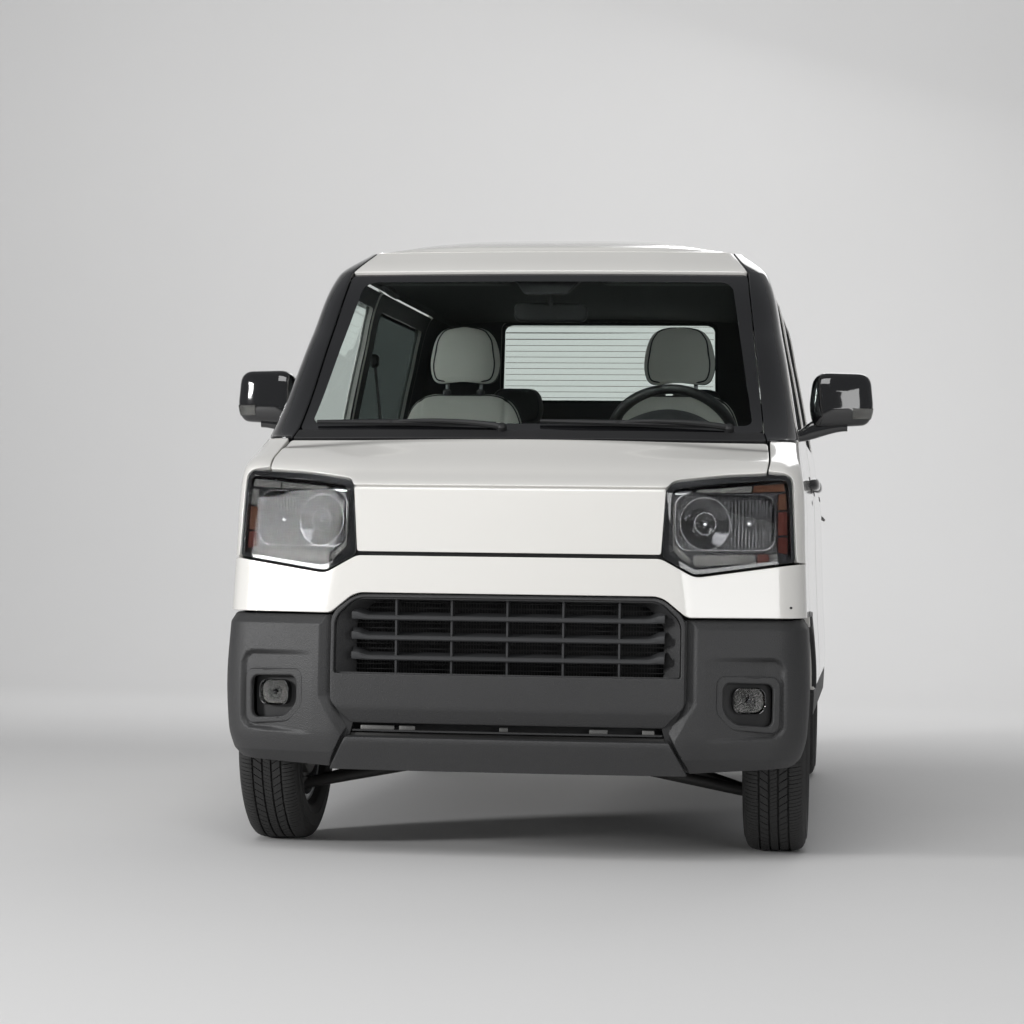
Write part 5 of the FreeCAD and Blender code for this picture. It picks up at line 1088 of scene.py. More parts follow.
def band_mesh(name, loops, material, closed_end=False, thick=0.0):
    """A tube wall through loops of points with equal counts, given a thickness inwards."""
    form = bmesh.new()
    rings = bridged(form, loops)
    if closed_end:
        form.faces.new(rings[-1])
    bmesh.ops.recalc_face_normals(form, faces=form.faces)
    mesh = bpy.data.meshes.new(name)
    form.to_mesh(mesh)
    form.free()
    mesh.materials.append(material)
    if thick:
        mesh = baked(mesh, ("SOLIDIFY", {"thickness": thick, "offset": 1}), smooth=40)
    else:
        mesh.shade_smooth()
        mesh.set_sharp_from_angle(angle=math.radians(40))
    return mesh


def sunk_loop(corners, sink, count=72):
    """Evenly spaced points along an outline on the skin, moved inwards."""
    spots = chart_loop(corners, step=0.006)
    spots = spots if signed_area(spots) > 0 else spots[::-1]
    closed = np.concatenate([spots, spots[:1]])
    runs = runs_of(closed)
    spots = read_at(np.linspace(0, runs[-1], count, endpoint=False), runs, closed)
    return skin.place(spots) - skin.outward(spots) * sink


# Mouth of the grille: walls that run back to the slats.
mouth_front = sunk_loop(mouth, 0.012, 160)
mouth_back = mouth_front.copy()
mouth_back[:, 0] *= 0.900
mouth_back[:, 2] = np.interp(mouth_back[:, 2], (0.462, 0.650), (0.456, 0.644))
mouth_back[:, 1] = FRONT + 0.082
piece("mouth_walls", band_mesh("mouth_walls", [mouth_front, mouth_back], cladding, thick=0.003),
      "truck_body", "dark_cladding", "grille")


# ---------------------------------------------------------------- repeated shapes

GEOMETRY = "NodeSocketGeometry"


def repeat_tree(name, turning):
    """Copies of the incoming shape in a row, or turned round the X axis, each set apart."""
    tree = bpy.data.node_groups.new(name, "GeometryNodeTree")
    tree.is_modifier = True
    add = tree.interface.new_socket
    add(name="Geometry", in_out="INPUT", socket_type=GEOMETRY)
    add(name="Count", in_out="INPUT", socket_type="NodeSocketInt")
    add(name="Step", in_out="INPUT", socket_type=VECTOR)
    add(name="Centre", in_out="INPUT", socket_type=VECTOR)
    add(name="Finish", in_out="INPUT", socket_type="NodeSocketMaterial")
    add(name="Geometry", in_out="OUTPUT", socket_type=GEOMETRY)
    entry = tree.nodes.new("NodeGroupInput")
    leave = tree.nodes.new("NodeGroupOutput")
    line = tree.nodes.new("GeometryNodeMeshLine")
    line.mode = "OFFSET"
    copies = tree.nodes.new("GeometryNodeInstanceOnPoints")
    real = tree.nodes.new("GeometryNodeRealizeInstances")
    shift = tree.nodes.new("GeometryNodeTransform")
    finish = tree.nodes.new("GeometryNodeSetMaterial")
    links = tree.links
    links.new(entry.outputs["Count"], line.inputs["Count"])
    if turning:
        line.inputs["Offset"].default_value = (0, 0, 0)
        index = tree.nodes.new("GeometryNodeInputIndex")
        angle = tree.nodes.new("ShaderNodeVectorMath")
        angle.operation = "SCALE"
        links.new(entry.outputs["Step"], angle.inputs[0])
        links.new(index.outputs[0], angle.inputs["Scale"])
        links.new(angle.outputs[0], copies.inputs["Rotation"])
    else:
        links.new(entry.outputs["Step"], line.inputs["Offset"])
    links.new(line.outputs["Mesh"], copies.inputs["Points"])
    links.new(entry.outputs["Geometry"], copies.inputs["Instance"])
    links.new(copies.outputs["Instances"], shift.inputs["Geometry"])
    links.new(entry.outputs["Centre"], shift.inputs["Translation"])
    links.new(shift.outputs["Geometry"], real.inputs["Geometry"])
    links.new(real.outputs["Geometry"], finish.inputs["Geometry"])
    links.new(entry.outputs["Finish"], finish.inputs["Material"])
    links.new(finish.outputs["Geometry"], leave.inputs["Geometry"])
    return tree


ROW = repeat_tree("row_of_copies", False)
RING = repeat_tree("ring_of_copies", True)


def repeated(mesh, tree, count, step, material, centre=(0, 0, 0)):
    """The mesh repeated by a tree, as one plain mesh."""
    helper = bpy.data.objects.new("helper", mesh)
    scene.collection.objects.link(helper)
    modifier = helper.modifiers.new("copies", "NODES")
    modifier.node_group = tree
    values = {"Count": count, "Step": step, "Centre": centre, "Finish": material}
    for socket in tree.interface.items_tree:
        if socket.in_out == "INPUT" and socket.name in values:
            modifier[socket.identifier] = values[socket.name]
    graph = bpy.context.evaluated_depsgraph_get()
    result = bpy.data.meshes.new_from_object(helper.evaluated_get(graph))
    bpy.data.objects.remove(helper)
    return result


def swept(name, sections, material, closed=True, smooth=35):
    """A closed body through sections of equal point counts, capped at both ends."""
    form = bmesh.new()
    rings = bridged(form, sections)
    if closed:
        form.faces.new(rings[0][::-1])
        form.faces.new(rings[-1])
    return meshed(form, name, [material], smooth)


def block(name, low, high, material, bevel=0.001, segments=2):
    """A box with rounded edges."""
    form = bmesh.new()
    bmesh.ops.create_cube(form, size=1)
    for vert in form.verts:
        vert.co = [low[k] + (high[k] - low[k]) * (vert.co[k] + 0.5) for k in range(3)]
    if bevel:
        bmesh.ops.bevel(form, geom=form.edges, offset=bevel, segments=segments, affect="EDGES",
                        profile=0.5)
    return meshed(form, name, [material])


def joined(name, meshes, smooth=35):
    """Several meshes as one, their materials kept."""
    form = bmesh.new()
    materials = []
    for mesh in meshes:
        start = len(form.faces)
        form.from_mesh(mesh)
        form.faces.ensure_lookup_table()
        slots = [materials.index(m) if m in materials else (materials.append(m)
                                                            or len(materials) - 1)
                 for m in mesh.materials]
        for face in form.faces[start:]:
            face.material_index = slots[face.material_index]
    return meshed(form, name, materials, smooth, turned=False)


def flipped(mesh):
    """The mesh mirrored across the middle of the truck."""
    form = bmesh.new()
    form.from_mesh(mesh)
    for vert in form.verts:
        vert.co.x = -vert.co.x
    bmesh.ops.reverse_faces(form, faces=form.faces)
    return meshed(form, f"{mesh.name}_mirrored", mesh.materials, turned=False)


# ---------------------------------------------------------------- grille

LOUVRE = [(0.000, -0.0052), (0.0035, -0.0082), (0.0140, -0.0062), (0.0440, 0.0090),
          (0.0440, 0.0115), (0.0140, 0.0022), (0.0030, 0.0040), (0.0000, 0.0014)]


def slat_section(across, depth, height, tip):
    """A louvre section; tip lifts and widens the outer ends."""
    return [(across, FRONT + depth + y * (1 - 0.25 * tip) - 0.006 * tip,
             height + z * (1 + 0.5 * tip) + 0.0065 * tip) for y, z in LOUVRE]


slat_sections = []
for across in np.linspace(-0.388, 0.388, 61):
    tip = float(smooth_step((abs(across) - 0.345) / 0.038))
    slat_sections.append(slat_section(across, 0.026 + 0.085 * across * across, 0.6020, tip))
slat = swept("slat", slat_sections, trim_dark)
slats = repeated(slat, ROW, 3, (0, 0, -0.0497), trim_dark)
rib = swept("rib", [[(x, FRONT + y, z) for y, z in (
    (0.036, 0.452), (0.036, 0.650), (0.074, 0.650), (0.074, 0.452))] for x in (-0.0024, 0.0024)],
    trim_dark)
ribs = repeated(rib, ROW, 5, (0.1385, 0, 0), trim_dark, centre=(-0.277, 0, 0))
fin = block("fin", (-0.385, FRONT + 0.0745, 0.4580), (0.385, FRONT + 0.0885, 0.4600), matte_black,
            0.0004, 1)
fins = repeated(fin, ROW, 15, (0, 0, 0.0127), matte_black)
core_fin = block("core_fin", (-0.384, FRONT + 0.1160, 0.452), (-0.3825, FRONT + 0.1190, 0.648),
                 chassis_black, 0)
core = repeated(core_fin, ROW, 110, (0.00702, 0, 0), chassis_black)
back_plate = block("back_plate", (-0.40, FRONT + 0.1190, 0.440), (0.40, FRONT + 0.1230, 0.655),
                   matte_black, 0.001)
piece("grille_slats", joined("grille_slats", [slats, ribs]), "truck_body", "gloss_black")
piece("grille_fins", joined("grille_fins", [fins, core, back_plate]), "truck_body",
      "matte_black")
frame_lip = [[(x, FRONT + y, z) for y, z in ((0.080, 0.4480), (0.080, 0.6560), (0.0830, 0.6560),
                                             (0.0830, 0.4480))] for x in (0.3840, 0.3980)]
lips = swept("grille_lip", frame_lip, gloss_black)
piece("grille_lips", joined("grille_lips", [lips, flipped(lips)]), "truck_body", "gloss_black")

# Lower intake between the beam and the skirt.
intake_bar = swept("intake_bar", [[(x, FRONT + 0.030 + 0.08 * x * x + y, z) for y, z in (
    (0, 0.3185), (0.003, 0.3225), (0.020, 0.3225), (0.020, 0.3185))]
    for x in np.linspace(-0.385, 0.385, 25)], matte_black)
intake_back = block("intake_back", (-0.42, FRONT + 0.085, 0.285), (0.42, FRONT + 0.089, 0.352),
                    matte_black, 0.001)
tow_bar = block("intake_beam", (-0.405, FRONT + 0.050, 0.300), (0.405, FRONT + 0.070, 0.315),
                chassis_black, 0.003)
plates = [block(f"intake_plate_{count}", (x, FRONT + 0.046, 0.3195), (x + width, FRONT + 0.0495,
                                                                      0.3330), cast, 0.0015)
          for count, (x, width) in enumerate(((-0.365, 0.085), (-0.268, 0.040), (-0.018, 0.022),
                                              (0.205, 0.045), (0.335, 0.030)))]
piece("lower_intake", joined("lower_intake", [intake_bar, intake_back, tow_bar] + plates),
      "truck_body", "matte_black")


# ---------------------------------------------------------------- lamps

def front_corners(*points):
    return [("front", *point) for point in points]


LAMP_OUTLINE = front_corners(
    (0.3925, 0.9300, 0.010), (0.4040, 0.9440, 0.014), (0.5200, 0.9595, 0.030),
    (0.6750, 0.9668, 0.010), (0.6910, 0.9530, 0.010), (0.7025, 0.7500, 0.008),
    (0.4720, 0.7170, 0.010), (0.4560, 0.7175, 0.008), (0.3805, 0.7570, 0.008),
    (0.3890, 0.9100, 0.006))
LAMP_WINDOW = front_corners(
    (0.4030, 0.9180, 0.016), (0.4180, 0.9320, 0.014), (0.5200, 0.9450, 0.030),
    (0.6700, 0.9540, 0.012), (0.6840, 0.9420, 0.012), (0.6940, 0.7580, 0.008),
    (0.4690, 0.7285, 0.012), (0.4570, 0.7300, 0.010), (0.3970, 0.7660, 0.012))
REFLECTOR = front_corners((0.4170, 0.9130, 0.036), (0.6550, 0.9180, 0.036),
                          (0.6560, 0.7810, 0.036), (0.4185, 0.7780, 0.036))


def resized(corners, grow):
    """Front corners moved away from their middle on each axis."""
    middle = np.mean([corner[1:3] for corner in corners], axis=0)
    return [(view, x + math.copysign(grow, x - middle[0]), z + math.copysign(grow, z - middle[1]),
             *rest) for view, x, z, *rest in corners]


def on_both(name, corners, slot, look, **settings):
    panel_pair(name, corners, "truck_body", slot, look, **settings)


def bowl_relief(place):
    """Two shallow bowls pressed into the reflector."""
    across = np.abs(place[:, 0])
    inner = (across - 0.4920) ** 2 + (place[:, 2] - 0.8440) ** 2
    outer = (across - 0.6000) ** 2 + (place[:, 2] - 0.8480) ** 2
    return (-0.020 * np.clip(1 - inner / 0.066 ** 2, 0, 1)
            - 0.016 * np.clip(1 - outer / 0.060 ** 2, 0, 1))


on_both("lamp_cover", resized(LAMP_OUTLINE, -0.0012), "lamp_clear", lens_glass, thick=0.0014,
        edge=0.0005, grid=0.010, replaced=(("headlamp_left",), ("headlamp_right",)))
on_both("lamp_bezel", LAMP_OUTLINE, "gloss_black", gloss_black, thick=0.018, sink=0.0035,
        edge=0.0010, holes=(LAMP_WINDOW,))
on_both("lamp_mask", resized(LAMP_WINDOW, 0.003), "lamp_clear", lamp_mask_look, thick=0.022,
        sink=0.0190, edge=0.0020, holes=(REFLECTOR,), grid=0.008)
on_both("lamp_ring", resized(REFLECTOR, 0.0030), "lamp_clear", ring_chrome, thick=0.004,
        sink=0.0170, edge=0.0008, holes=(resized(REFLECTOR, 0.0010),))
on_both("lamp_ring_inner", resized(REFLECTOR, -0.0020), "lamp_clear", dark_chrome, thick=0.010,
        sink=0.0260, edge=0.0010, holes=(resized(REFLECTOR, -0.0060),))
on_both("lamp_reflector", resized(REFLECTOR, 0.003), "lamp_clear", reflector, thick=0.003,
        sink=0.0340, grid=0.006, relief=bowl_relief)
STRIPS = {
    "top_clear": (clear_facets, [
        (0.4640, 0.9200), (0.4640, 0.9340), (0.5960, 0.9440), (0.5960, 0.9245)]),
    "top_dark": ((amber_facets, clear_facets), [
        (0.6000, 0.9247), (0.6000, 0.9442), (0.6760, 0.9475), (0.6800, 0.9270)]),
    "corner": (bright_chrome, [
        (0.4120, 0.9120), (0.4200, 0.9280), (0.4520, 0.9300), (0.4480, 0.9170), (0.4280, 0.9120)]),
    "outer_top": ((amber_facets, clear_facets), [
        (0.6630, 0.8800), (0.6630, 0.9200), (0.6830, 0.9220), (0.6860, 0.8800)]),
    "outer_middle": ((red_facets, amber_facets), [
        (0.6635, 0.8160), (0.6635, 0.8740), (0.6868, 0.8750), (0.6885, 0.8165)]),
    "outer_bottom": (red_facets, [
        (0.6640, 0.7740), (0.6640, 0.8110), (0.6890, 0.8115), (0.6895, 0.7690)]),
    "foot_clear": (clear_facets, [
        (0.4600, 0.7360), (0.4590, 0.7640), (0.6080, 0.7680), (0.6100, 0.7470)]),
    "foot_red": ((red_facets, clear_facets), [
        (0.6140, 0.7475), (0.6120, 0.7685), (0.6400, 0.7690), (0.6420, 0.7490)]),
    "foot_dark": (clear_facets, [
        (0.6460, 0.7495), (0.6440, 0.7690), (0.6600, 0.7700), (0.6640, 0.7540)]),
    "inner": (clear_facets, [
        (0.4075, 0.7750), (0.4075, 0.8900), (0.4120, 0.8900), (0.4130, 0.7900), (0.4520, 0.7560),
        (0.4500, 0.7400)]),
}
for name, (look, points) in STRIPS.items():
    on_both(f"lamp_{name}", front_corners(*[(x, z, 0.003) for x, z in points]), "lamp_clear", look,
            thick=0.006, sink=0.0125, edge=0.0010, grid=0.008)


def skin_frame(across, height, sink):
    """A place on the front skin as an origin with right, up and outward directions."""
    spot = skin.chart("front", across, height)[None]
    outward = skin.outward(spot)[0]
    origin = skin.place(spot)[0] - outward * sink
    sideways = np.cross((0, 0, 1), outward)
    sideways /= np.linalg.norm(sideways)
    return origin, sideways, np.cross(outward, sideways), outward


def turned_on(name, frame_at, profile, material, steps=48):
    """A turned form standing on a frame: profile of (radius, height), open or closed at poles."""
    origin, right_way, up_way, out_way = frame_at
    form = bmesh.new()
    rings = []
    for radius, height in profile:
        if radius < 1e-6:
            rings.append([form.verts.new(origin + out_way * height)])
            continue
        rings.append([form.verts.new(origin + out_way * height + radius * (
            math.cos(2 * math.pi * k / steps) * right_way
            + math.sin(2 * math.pi * k / steps) * up_way)) for k in range(steps)])
    for first, second in zip(rings, rings[1:]):
        for k in range(steps):
            j = (k + 1) % steps
            corners = [first[k % len(first)], first[j % len(first)], second[j % len(second)],
                       second[k % len(second)]]
            face = [v for n, v in enumerate(corners) if v not in corners[:n]]
            if len(face) > 2:
                form.faces.new(face)
    return meshed(form, name, [material])


def both_meshes(name, meshes, slot, body="truck_body"):
    """A piece of joined meshes on the left and its mirror image on the right."""
    left = joined(f"{name}_left", meshes)
    bodies = body if isinstance(body, tuple) else (body, body)
    return (piece(f"{name}_left", left, bodies[0], slot),
            piece(f"{name}_right", flipped(left), bodies[1], slot))


def rim_ring(name, frame_at, radius, width, height, material):
    """A thin raised ring with a rounded top."""
    profile = [(radius, -height), (radius, 0.0), (radius - width * 0.3, height * 0.6),
               (radius - width * 0.7, height * 0.6), (radius - width, 0.0),
               (radius - width, -height), (radius, -height)]
    return turned_on(name, frame_at, profile, material, 64)


low_beam = skin_frame(0.4920, 0.8440, 0.034)
bulb_at = skin_frame(0.6000, 0.8480, 0.046)
projector = [
    rim_ring("beam_rim", low_beam, 0.0655, 0.0016, 0.003, ring_chrome),
    turned_on("beam_cup", low_beam, [(0.0640, 0.001), (0.0500, -0.008), (0.0330, -0.014),
                                     (0.0330, -0.017), (0.0640, -0.010), (0.0640, 0.001)],
              dark_chrome),
    rim_ring("beam_inner_rim", low_beam, 0.0280, 0.0016, 0.004, ring_chrome),
    turned_on("beam_dark", low_beam, [(0.0255, -0.006), (0.0180, -0.010), (0.0, -0.012),
                                      (0.0, -0.014), (0.0255, -0.012), (0.0255, -0.006)],
              gloss_black),
    turned_on("bulb_cap", low_beam, [(0.0, 0.004), (0.0050, 0.003), (0.0062, -0.002),
                                     (0.0062, -0.012), (0.0, -0.012)], bright_chrome, 24),
    turned_on("high_cap", bulb_at, [(0.0, 0.014), (0.0080, 0.011), (0.0105, 0.004),
                                    (0.0105, -0.012), (0.0, -0.012)], bright_chrome, 24),
]
both_meshes("lamp_optics", projector, "lamp_clear")
dome = turned_on("beam_dome", low_beam, [(0.0, 0.0035), (0.0130, 0.0020), (0.0250, -0.004),
                                         (0.0250, -0.006), (0.0130, -0.0005), (0.0, 0.001)],
                 lens_glass, 40)
both_meshes("lamp_dome", [dome], "lamp_clear")

# Fog lamps in their pockets.
FOG_BEZEL = resized(fog_hole, -0.0028)
FOG_OPENING = front_corners((0.5340, 0.4520, 0.020), (0.6550, 0.4490, 0.020),
                            (0.6540, 0.3440, 0.020), (0.5640, 0.3500, 0.016),
                            (0.5340, 0.3830, 0.016))
FOG_LAMP = front_corners((0.5620, 0.4375, 0.024), (0.6370, 0.4375, 0.024),
                         (0.6360, 0.3780, 0.024), (0.5620, 0.3780, 0.024))
on_both("fog_bezel", FOG_BEZEL, "dark_cladding", cladding, thick=0.012, sink=0.0045, edge=0.0045,
        holes=(FOG_OPENING,), grid=0.008)
on_both("fog_cup", resized(FOG_OPENING, 0.003), "matte_black", matte_black, thick=0.003,
        sink=0.0330)
on_both("fog_rim", resized(FOG_LAMP, 0.0026), "lamp_clear", ring_chrome, thick=0.022,
        sink=0.0140, edge=0.0016, holes=(resized(FOG_LAMP, -0.0006),),
        replaced=(("fog_lamps",), ()))
on_both("fog_reflector", FOG_LAMP, "lamp_clear", clear_facets, thick=0.003, sink=0.0270,
        grid=0.006)
on_both("fog_lens", resized(FOG_LAMP, -0.0008), "lamp_clear", lens_glass, thick=0.002,
        sink=0.0150, edge=0.0008)
fog_at = skin_frame(0.5995, 0.4087, 0.024)
fog_bulb = [rim_ring("fog_ring", fog_at, 0.0170, 0.0016, 0.004, ring_chrome),
            turned_on("fog_cap", fog_at, [(0.0, 0.006), (0.0060, 0.004), (0.0080, -0.003),
                                          (0.0, -0.003)], dark_chrome, 24)]
both_meshes("fog_optics", fog_bulb, "lamp_clear")


# ---------------------------------------------------------------- seats

def rounded_loop(corners, steps=6):
    """Points round a polygon whose corners are (a, b, radius)."""
    points = []
    for k, (a, b, radius) in enumerate(corners):
        here = np.array((a, b))
        before = np.array(corners[k - 1][:2]) - here
        after = np.array(corners[(k + 1) % len(corners)][:2]) - here
        reach = [np.linalg.norm(way) for way in (before, after)]
        cut = min(radius, 0.48 * min(reach))
        start = here + before / reach[0] * cut
        end = here + after / reach[1] * cut
        for t in np.linspace(0, 1, steps + 1):
            points.append((1 - t) ** 2 * start + 2 * t * (1 - t) * here + t * t * end)
    return np.array(points)


def drawn_in(loop, inset):
    """The loop made smaller by an inset on each side, or larger where the inset is negative."""
    middle = (loop.min(axis=0) + loop.max(axis=0)) / 2
    half = (loop.max(axis=0) - loop.min(axis=0)) / 2
    return middle + (loop - middle) * (1 - inset / half)


def layered(name, loop, layers, place, material, smooth=40):
    """A closed body of one outline at several levels, each drawn in by its own amount."""
    sections = [[place(a, b, level) for a, b in drawn_in(loop, inset)]
                for level, inset in layers]
    return swept(name, sections, material, smooth=smooth)


def soft_layers(low, high, radius, steps=4):
    """Levels and insets of a slab whose two rims are rounded."""
    turn = [math.pi / 2 * k / steps for k in range(steps + 1)]
    rise = [(radius * (1 - math.cos(t)), radius * (1 - math.sin(t))) for t in turn]
    return ([(low + level, inset) for level, inset in rise]
            + [(high - level, inset) for level, inset in reversed(rise)])


def faced_out(form):
    """All faces turned outwards."""
    bmesh.ops.recalc_face_normals(form, faces=form.faces)


def closed_up(form):
    """Points in one place joined, and all faces turned outwards."""
    bmesh.ops.remove_doubles(form, verts=form.verts, dist=1e-6)
    faced_out(form)


def tube(name, path, radius, material, side=(0, 0, 1), closed=False, sides=8):
    """A round bar along a path, its section kept level with the side direction."""
    path = np.array(path, dtype=float)
    if closed:
        ways = np.roll(path, -1, axis=0) - np.roll(path, 1, axis=0)
    else:
        ways = np.gradient(path, axis=0)
    radii = np.broadcast_to(radius, len(path))
    sections = []
    for spot, way, size in zip(path, ways, radii):
        across = np.cross(way, side)
        across /= np.linalg.norm(across)
        above = np.cross(across, way)
        above /= np.linalg.norm(above)
        sections.append([spot + size * (math.cos(2 * math.pi * k / sides) * across
                                        + math.sin(2 * math.pi * k / sides) * above)
                         for k in range(sides)])
    if closed:
        sections.append(sections[0])
        mesh = edited(swept(name, sections, material, closed=False), closed_up)
        mesh.shade_smooth()
        return mesh
    return swept(name, sections, material)


def vertex_array(mesh):
    spots = np.empty(len(mesh.vertices) * 3)
    mesh.vertices.foreach_get("co", spots)
    return spots.reshape(-1, 3)


def set_vertices(mesh, spots):
    mesh.vertices.foreach_set("co", np.asarray(spots, dtype=float).ravel())
    mesh.update()


SWELL = 0.013
SWELL_FRAMES = 20


def swollen(meshes):
    """The pads blown up a little by cloth under pressure, no point moving more than SWELL."""
    helpers = []
    for mesh in meshes:
        helper = bpy.data.objects.new("pad_helper", mesh)
        scene.collection.objects.link(helper)
        cloth = helper.modifiers.new("cloth", "CLOTH")
        cloth.settings.quality = 5
        cloth.settings.use_pressure = True
        cloth.settings.uniform_pressure_force = 4.0
        cloth.settings.effector_weights.gravity = 0.0
        cloth.point_cache.frame_start = 1
        cloth.point_cache.frame_end = SWELL_FRAMES
        helpers.append(helper)
    for moment in range(1, SWELL_FRAMES + 1):
        scene.frame_set(moment)
    graph = bpy.context.evaluated_depsgraph_get()
    results = []
    for helper, mesh in zip(helpers, meshes):
        start = vertex_array(mesh)
        result = bpy.data.meshes.new_from_object(helper.evaluated_get(graph))
        moved = vertex_array(result) - start
        reach = np.linalg.norm(moved, axis=1, keepdims=True)
        set_vertices(result, start + moved * np.minimum(1, SWELL / np.maximum(reach, 1e-9)))
        results.append(result)
        bpy.data.objects.remove(helper)
    scene.frame_set(1)
    return results


def pad_start(loop, thick, radius, voxel, shaping):
    """A pad before it swells: a soft slab remade of even faces and shaped in its own frame."""
    slab = layered("pad", loop, soft_layers(0, thick, radius), lambda a, b, t: (a, b, t),
                   seat_cloth)
    mesh = baked(slab, ("REMESH", {"mode": "VOXEL", "voxel_size": voxel}), smooth=180)
    spots = vertex_array(mesh)
    set_vertices(mesh, shaping(spots))
    return mesh


def finished_pad(mesh, loop, front_level, front_sign, seams, inset, front_look):
    """Sew the seams, colour the front panel and run piping round it."""
    mesh = baked(mesh, ("SUBSURF", {"levels": 1, "render_levels": 1}), smooth=180)
    spots = vertex_array(mesh)
    normals = np.empty(len(spots) * 3)
    mesh.vertices.foreach_get("normal", normals)
    normals = normals.reshape(-1, 3)
    for distance in seams:
        depth = 0.0042 * np.exp(-(distance(spots) / 0.0055) ** 2)
        spots -= normals * depth[:, None]
    set_vertices(mesh, spots)
    mesh.materials.clear()
    for look in (front_look, seat_side, piping_look):
        mesh.materials.append(look)
    border = drawn_in(loop, inset)
    centres = np.array([face.center for face in mesh.polygons])
    facing = np.array([face.normal.z * front_sign > 0.1 for face in mesh.polygons])
    side_cloth = ~(facing & inside(centres[:, :2], [border]))
    mesh.polygons.foreach_set("material_index", side_cloth.astype(np.int32))
    tree = BVHTree.FromPolygons([Vector(spot) for spot in spots],
                                [tuple(face.vertices) for face in mesh.polygons])
    path = resampled([tuple(tree.find_nearest(Vector((a, b, front_level)))[0])
                      for a, b in border], 0.010)
    cord = tube("piping", path, 0.0026, piping_look, closed=True, sides=6)
    return joined("pad", [mesh, cord], smooth=180)


def resampled(path, step):
    """Even points round a closed path."""
    ring = np.vstack([path, path[:1]])
    runs = runs_of(ring)
    count = max(8, int(runs[-1] / step))
    return read_at(np.linspace(0, runs[-1], count, endpoint=False), runs, ring)


def set_down(mesh, middle, base, up_way, rear_way):
    """The pad at its place: x about the middle, b along up_way and t along rear_way."""
    spots = vertex_array(mesh)
    flat = (np.array([middle, base[0], base[1]]) + np.outer(spots[:, 0], (1, 0, 0))
            + np.outer(spots[:, 1], (0, *up_way)) + np.outer(spots[:, 2], (0, *rear_way)))
    result = mesh.copy()
    set_vertices(result, flat)
    edited(result, faced_out)
    result.shade_smooth()
    return result


def side_rise(spots, start, width):
    return smooth_step((np.abs(spots[:, 0]) - start) / width)


def cushion_shape(half, length, thick):
    def shaping(spots):
        top = smooth_step((spots[:, 2] - 0.4 * thick) / (0.5 * thick))
        lift = 0.016 * side_rise(spots, half - 0.085, 0.045)
        lift -= 0.016 * (1 - smooth_step(spots[:, 1] / 0.07))
        lift -= 0.010 * smooth_step((spots[:, 1] - 0.70 * length) / (0.25 * length))
        spots[:, 2] += top * lift
        return spots
    return shaping


def back_shape(half, length, thick):
    def shaping(spots):
        front = 1 - smooth_step((spots[:, 2] - 0.1 * thick) / (0.5 * thick))
        bolster = side_rise(spots, half - 0.090, 0.045) * (
            1 - smooth_step((spots[:, 1] - 0.70 * length) / (0.2 * length)))
        lumbar = np.sin(np.pi * np.clip(spots[:, 1] / (0.8 * length), 0, 1))
        spots[:, 2] -= front * (0.016 * bolster + 0.008 * lumbar)
        thin = 0.30 * smooth_step((spots[:, 1] - 0.75 * length) / (0.25 * length))
        spots[:, 2] += (thick / 2 - spots[:, 2]) * thin
        return spots
    return shaping


def head_shape(thick):
    def shaping(spots):
        spots[:, 2] += (thick / 2 - spots[:, 2]) * 0.25 * smooth_step(spots[:, 1] / 0.14)
        spots[:, 2] += 0.25 * spots[:, 0] ** 2 / 0.1 - 0.004
        return spots
    return shaping


def mirrored_half(points):
    """A closed loop from corners on the +x side, listed from foot to top."""
    return points + [(-a, b, radius) for a, b, radius in reversed(points)]


RECLINE = math.atan2(0.072, 0.583)
BACK_UP = (math.sin(RECLINE), math.cos(RECLINE))
BACK_REAR = (math.cos(RECLINE), -math.sin(RECLINE))
FLAT_UP = (1.0, 0.0)
FLAT_REAR = (0.0, 1.0)
# Name: loop, thickness, rim radius, even-face size, shaping, (side seams, cross seam), panel inset,
# front (level, sign), (base depth, base height, along, through).
PADS = {
    "front_cushion": (rounded_loop(mirrored_half([(0.218, 0.010, 0.05), (0.214, 0.408, 0.05)])),
                      0.104, 0.030, 0.010, cushion_shape(0.222, 0.42, 0.104), (0.142, 0.285),
                      0.016, (0.11, 1), (0.885, 0.610, FLAT_UP, FLAT_REAR)),
    "front_back": (rounded_loop(mirrored_half([
        (0.180, 0.008, 0.05), (0.206, 0.100, 0.05), (0.204, 0.430, 0.09), (0.160, 0.602, 0.13)])),
        0.074, 0.022, 0.010, back_shape(0.206, 0.61, 0.074), (0.126, 0.330), 0.007, (0.0, -1),
        (1.262, 0.645, BACK_UP, BACK_REAR)),
    "front_head": (rounded_loop(mirrored_half([
        (0.092, 0.002, 0.040), (0.107, 0.060, 0.04), (0.086, 0.172, 0.062)])),
        0.062, 0.020, 0.006, head_shape(0.062), (0.40, -0.2), 0.003, (0.0, -1),
        (1.326, 1.258, BACK_UP, BACK_REAR)),
    "rear_cushion": (rounded_loop(mirrored_half([(0.262, 0.010, 0.05), (0.262, 0.425, 0.05)])),
                     0.104, 0.030, 0.013, cushion_shape(0.268, 0.43, 0.104), (0.175, 0.300),
                     0.016, (0.11, 1), (1.965, 0.610, FLAT_UP, FLAT_REAR)),
    "rear_back": (rounded_loop(mirrored_half([
        (0.258, 0.008, 0.04), (0.262, 0.330, 0.06), (0.235, 0.478, 0.07)])),
        0.072, 0.026, 0.013, back_shape(0.262, 0.48, 0.072), (0.175, 0.250), 0.010, (0.0, -1),
        (2.362, 0.645, BACK_UP, BACK_REAR)),
    "rear_head": (rounded_loop(mirrored_half([
        (0.080, 0.006, 0.040), (0.092, 0.060, 0.04), (0.076, 0.128, 0.050)])),
        0.060, 0.022, 0.008, head_shape(0.060), (0.40, -0.2), 0.006, (0.0, -1),
        (2.434, 1.186, BACK_UP, BACK_REAR)),
}
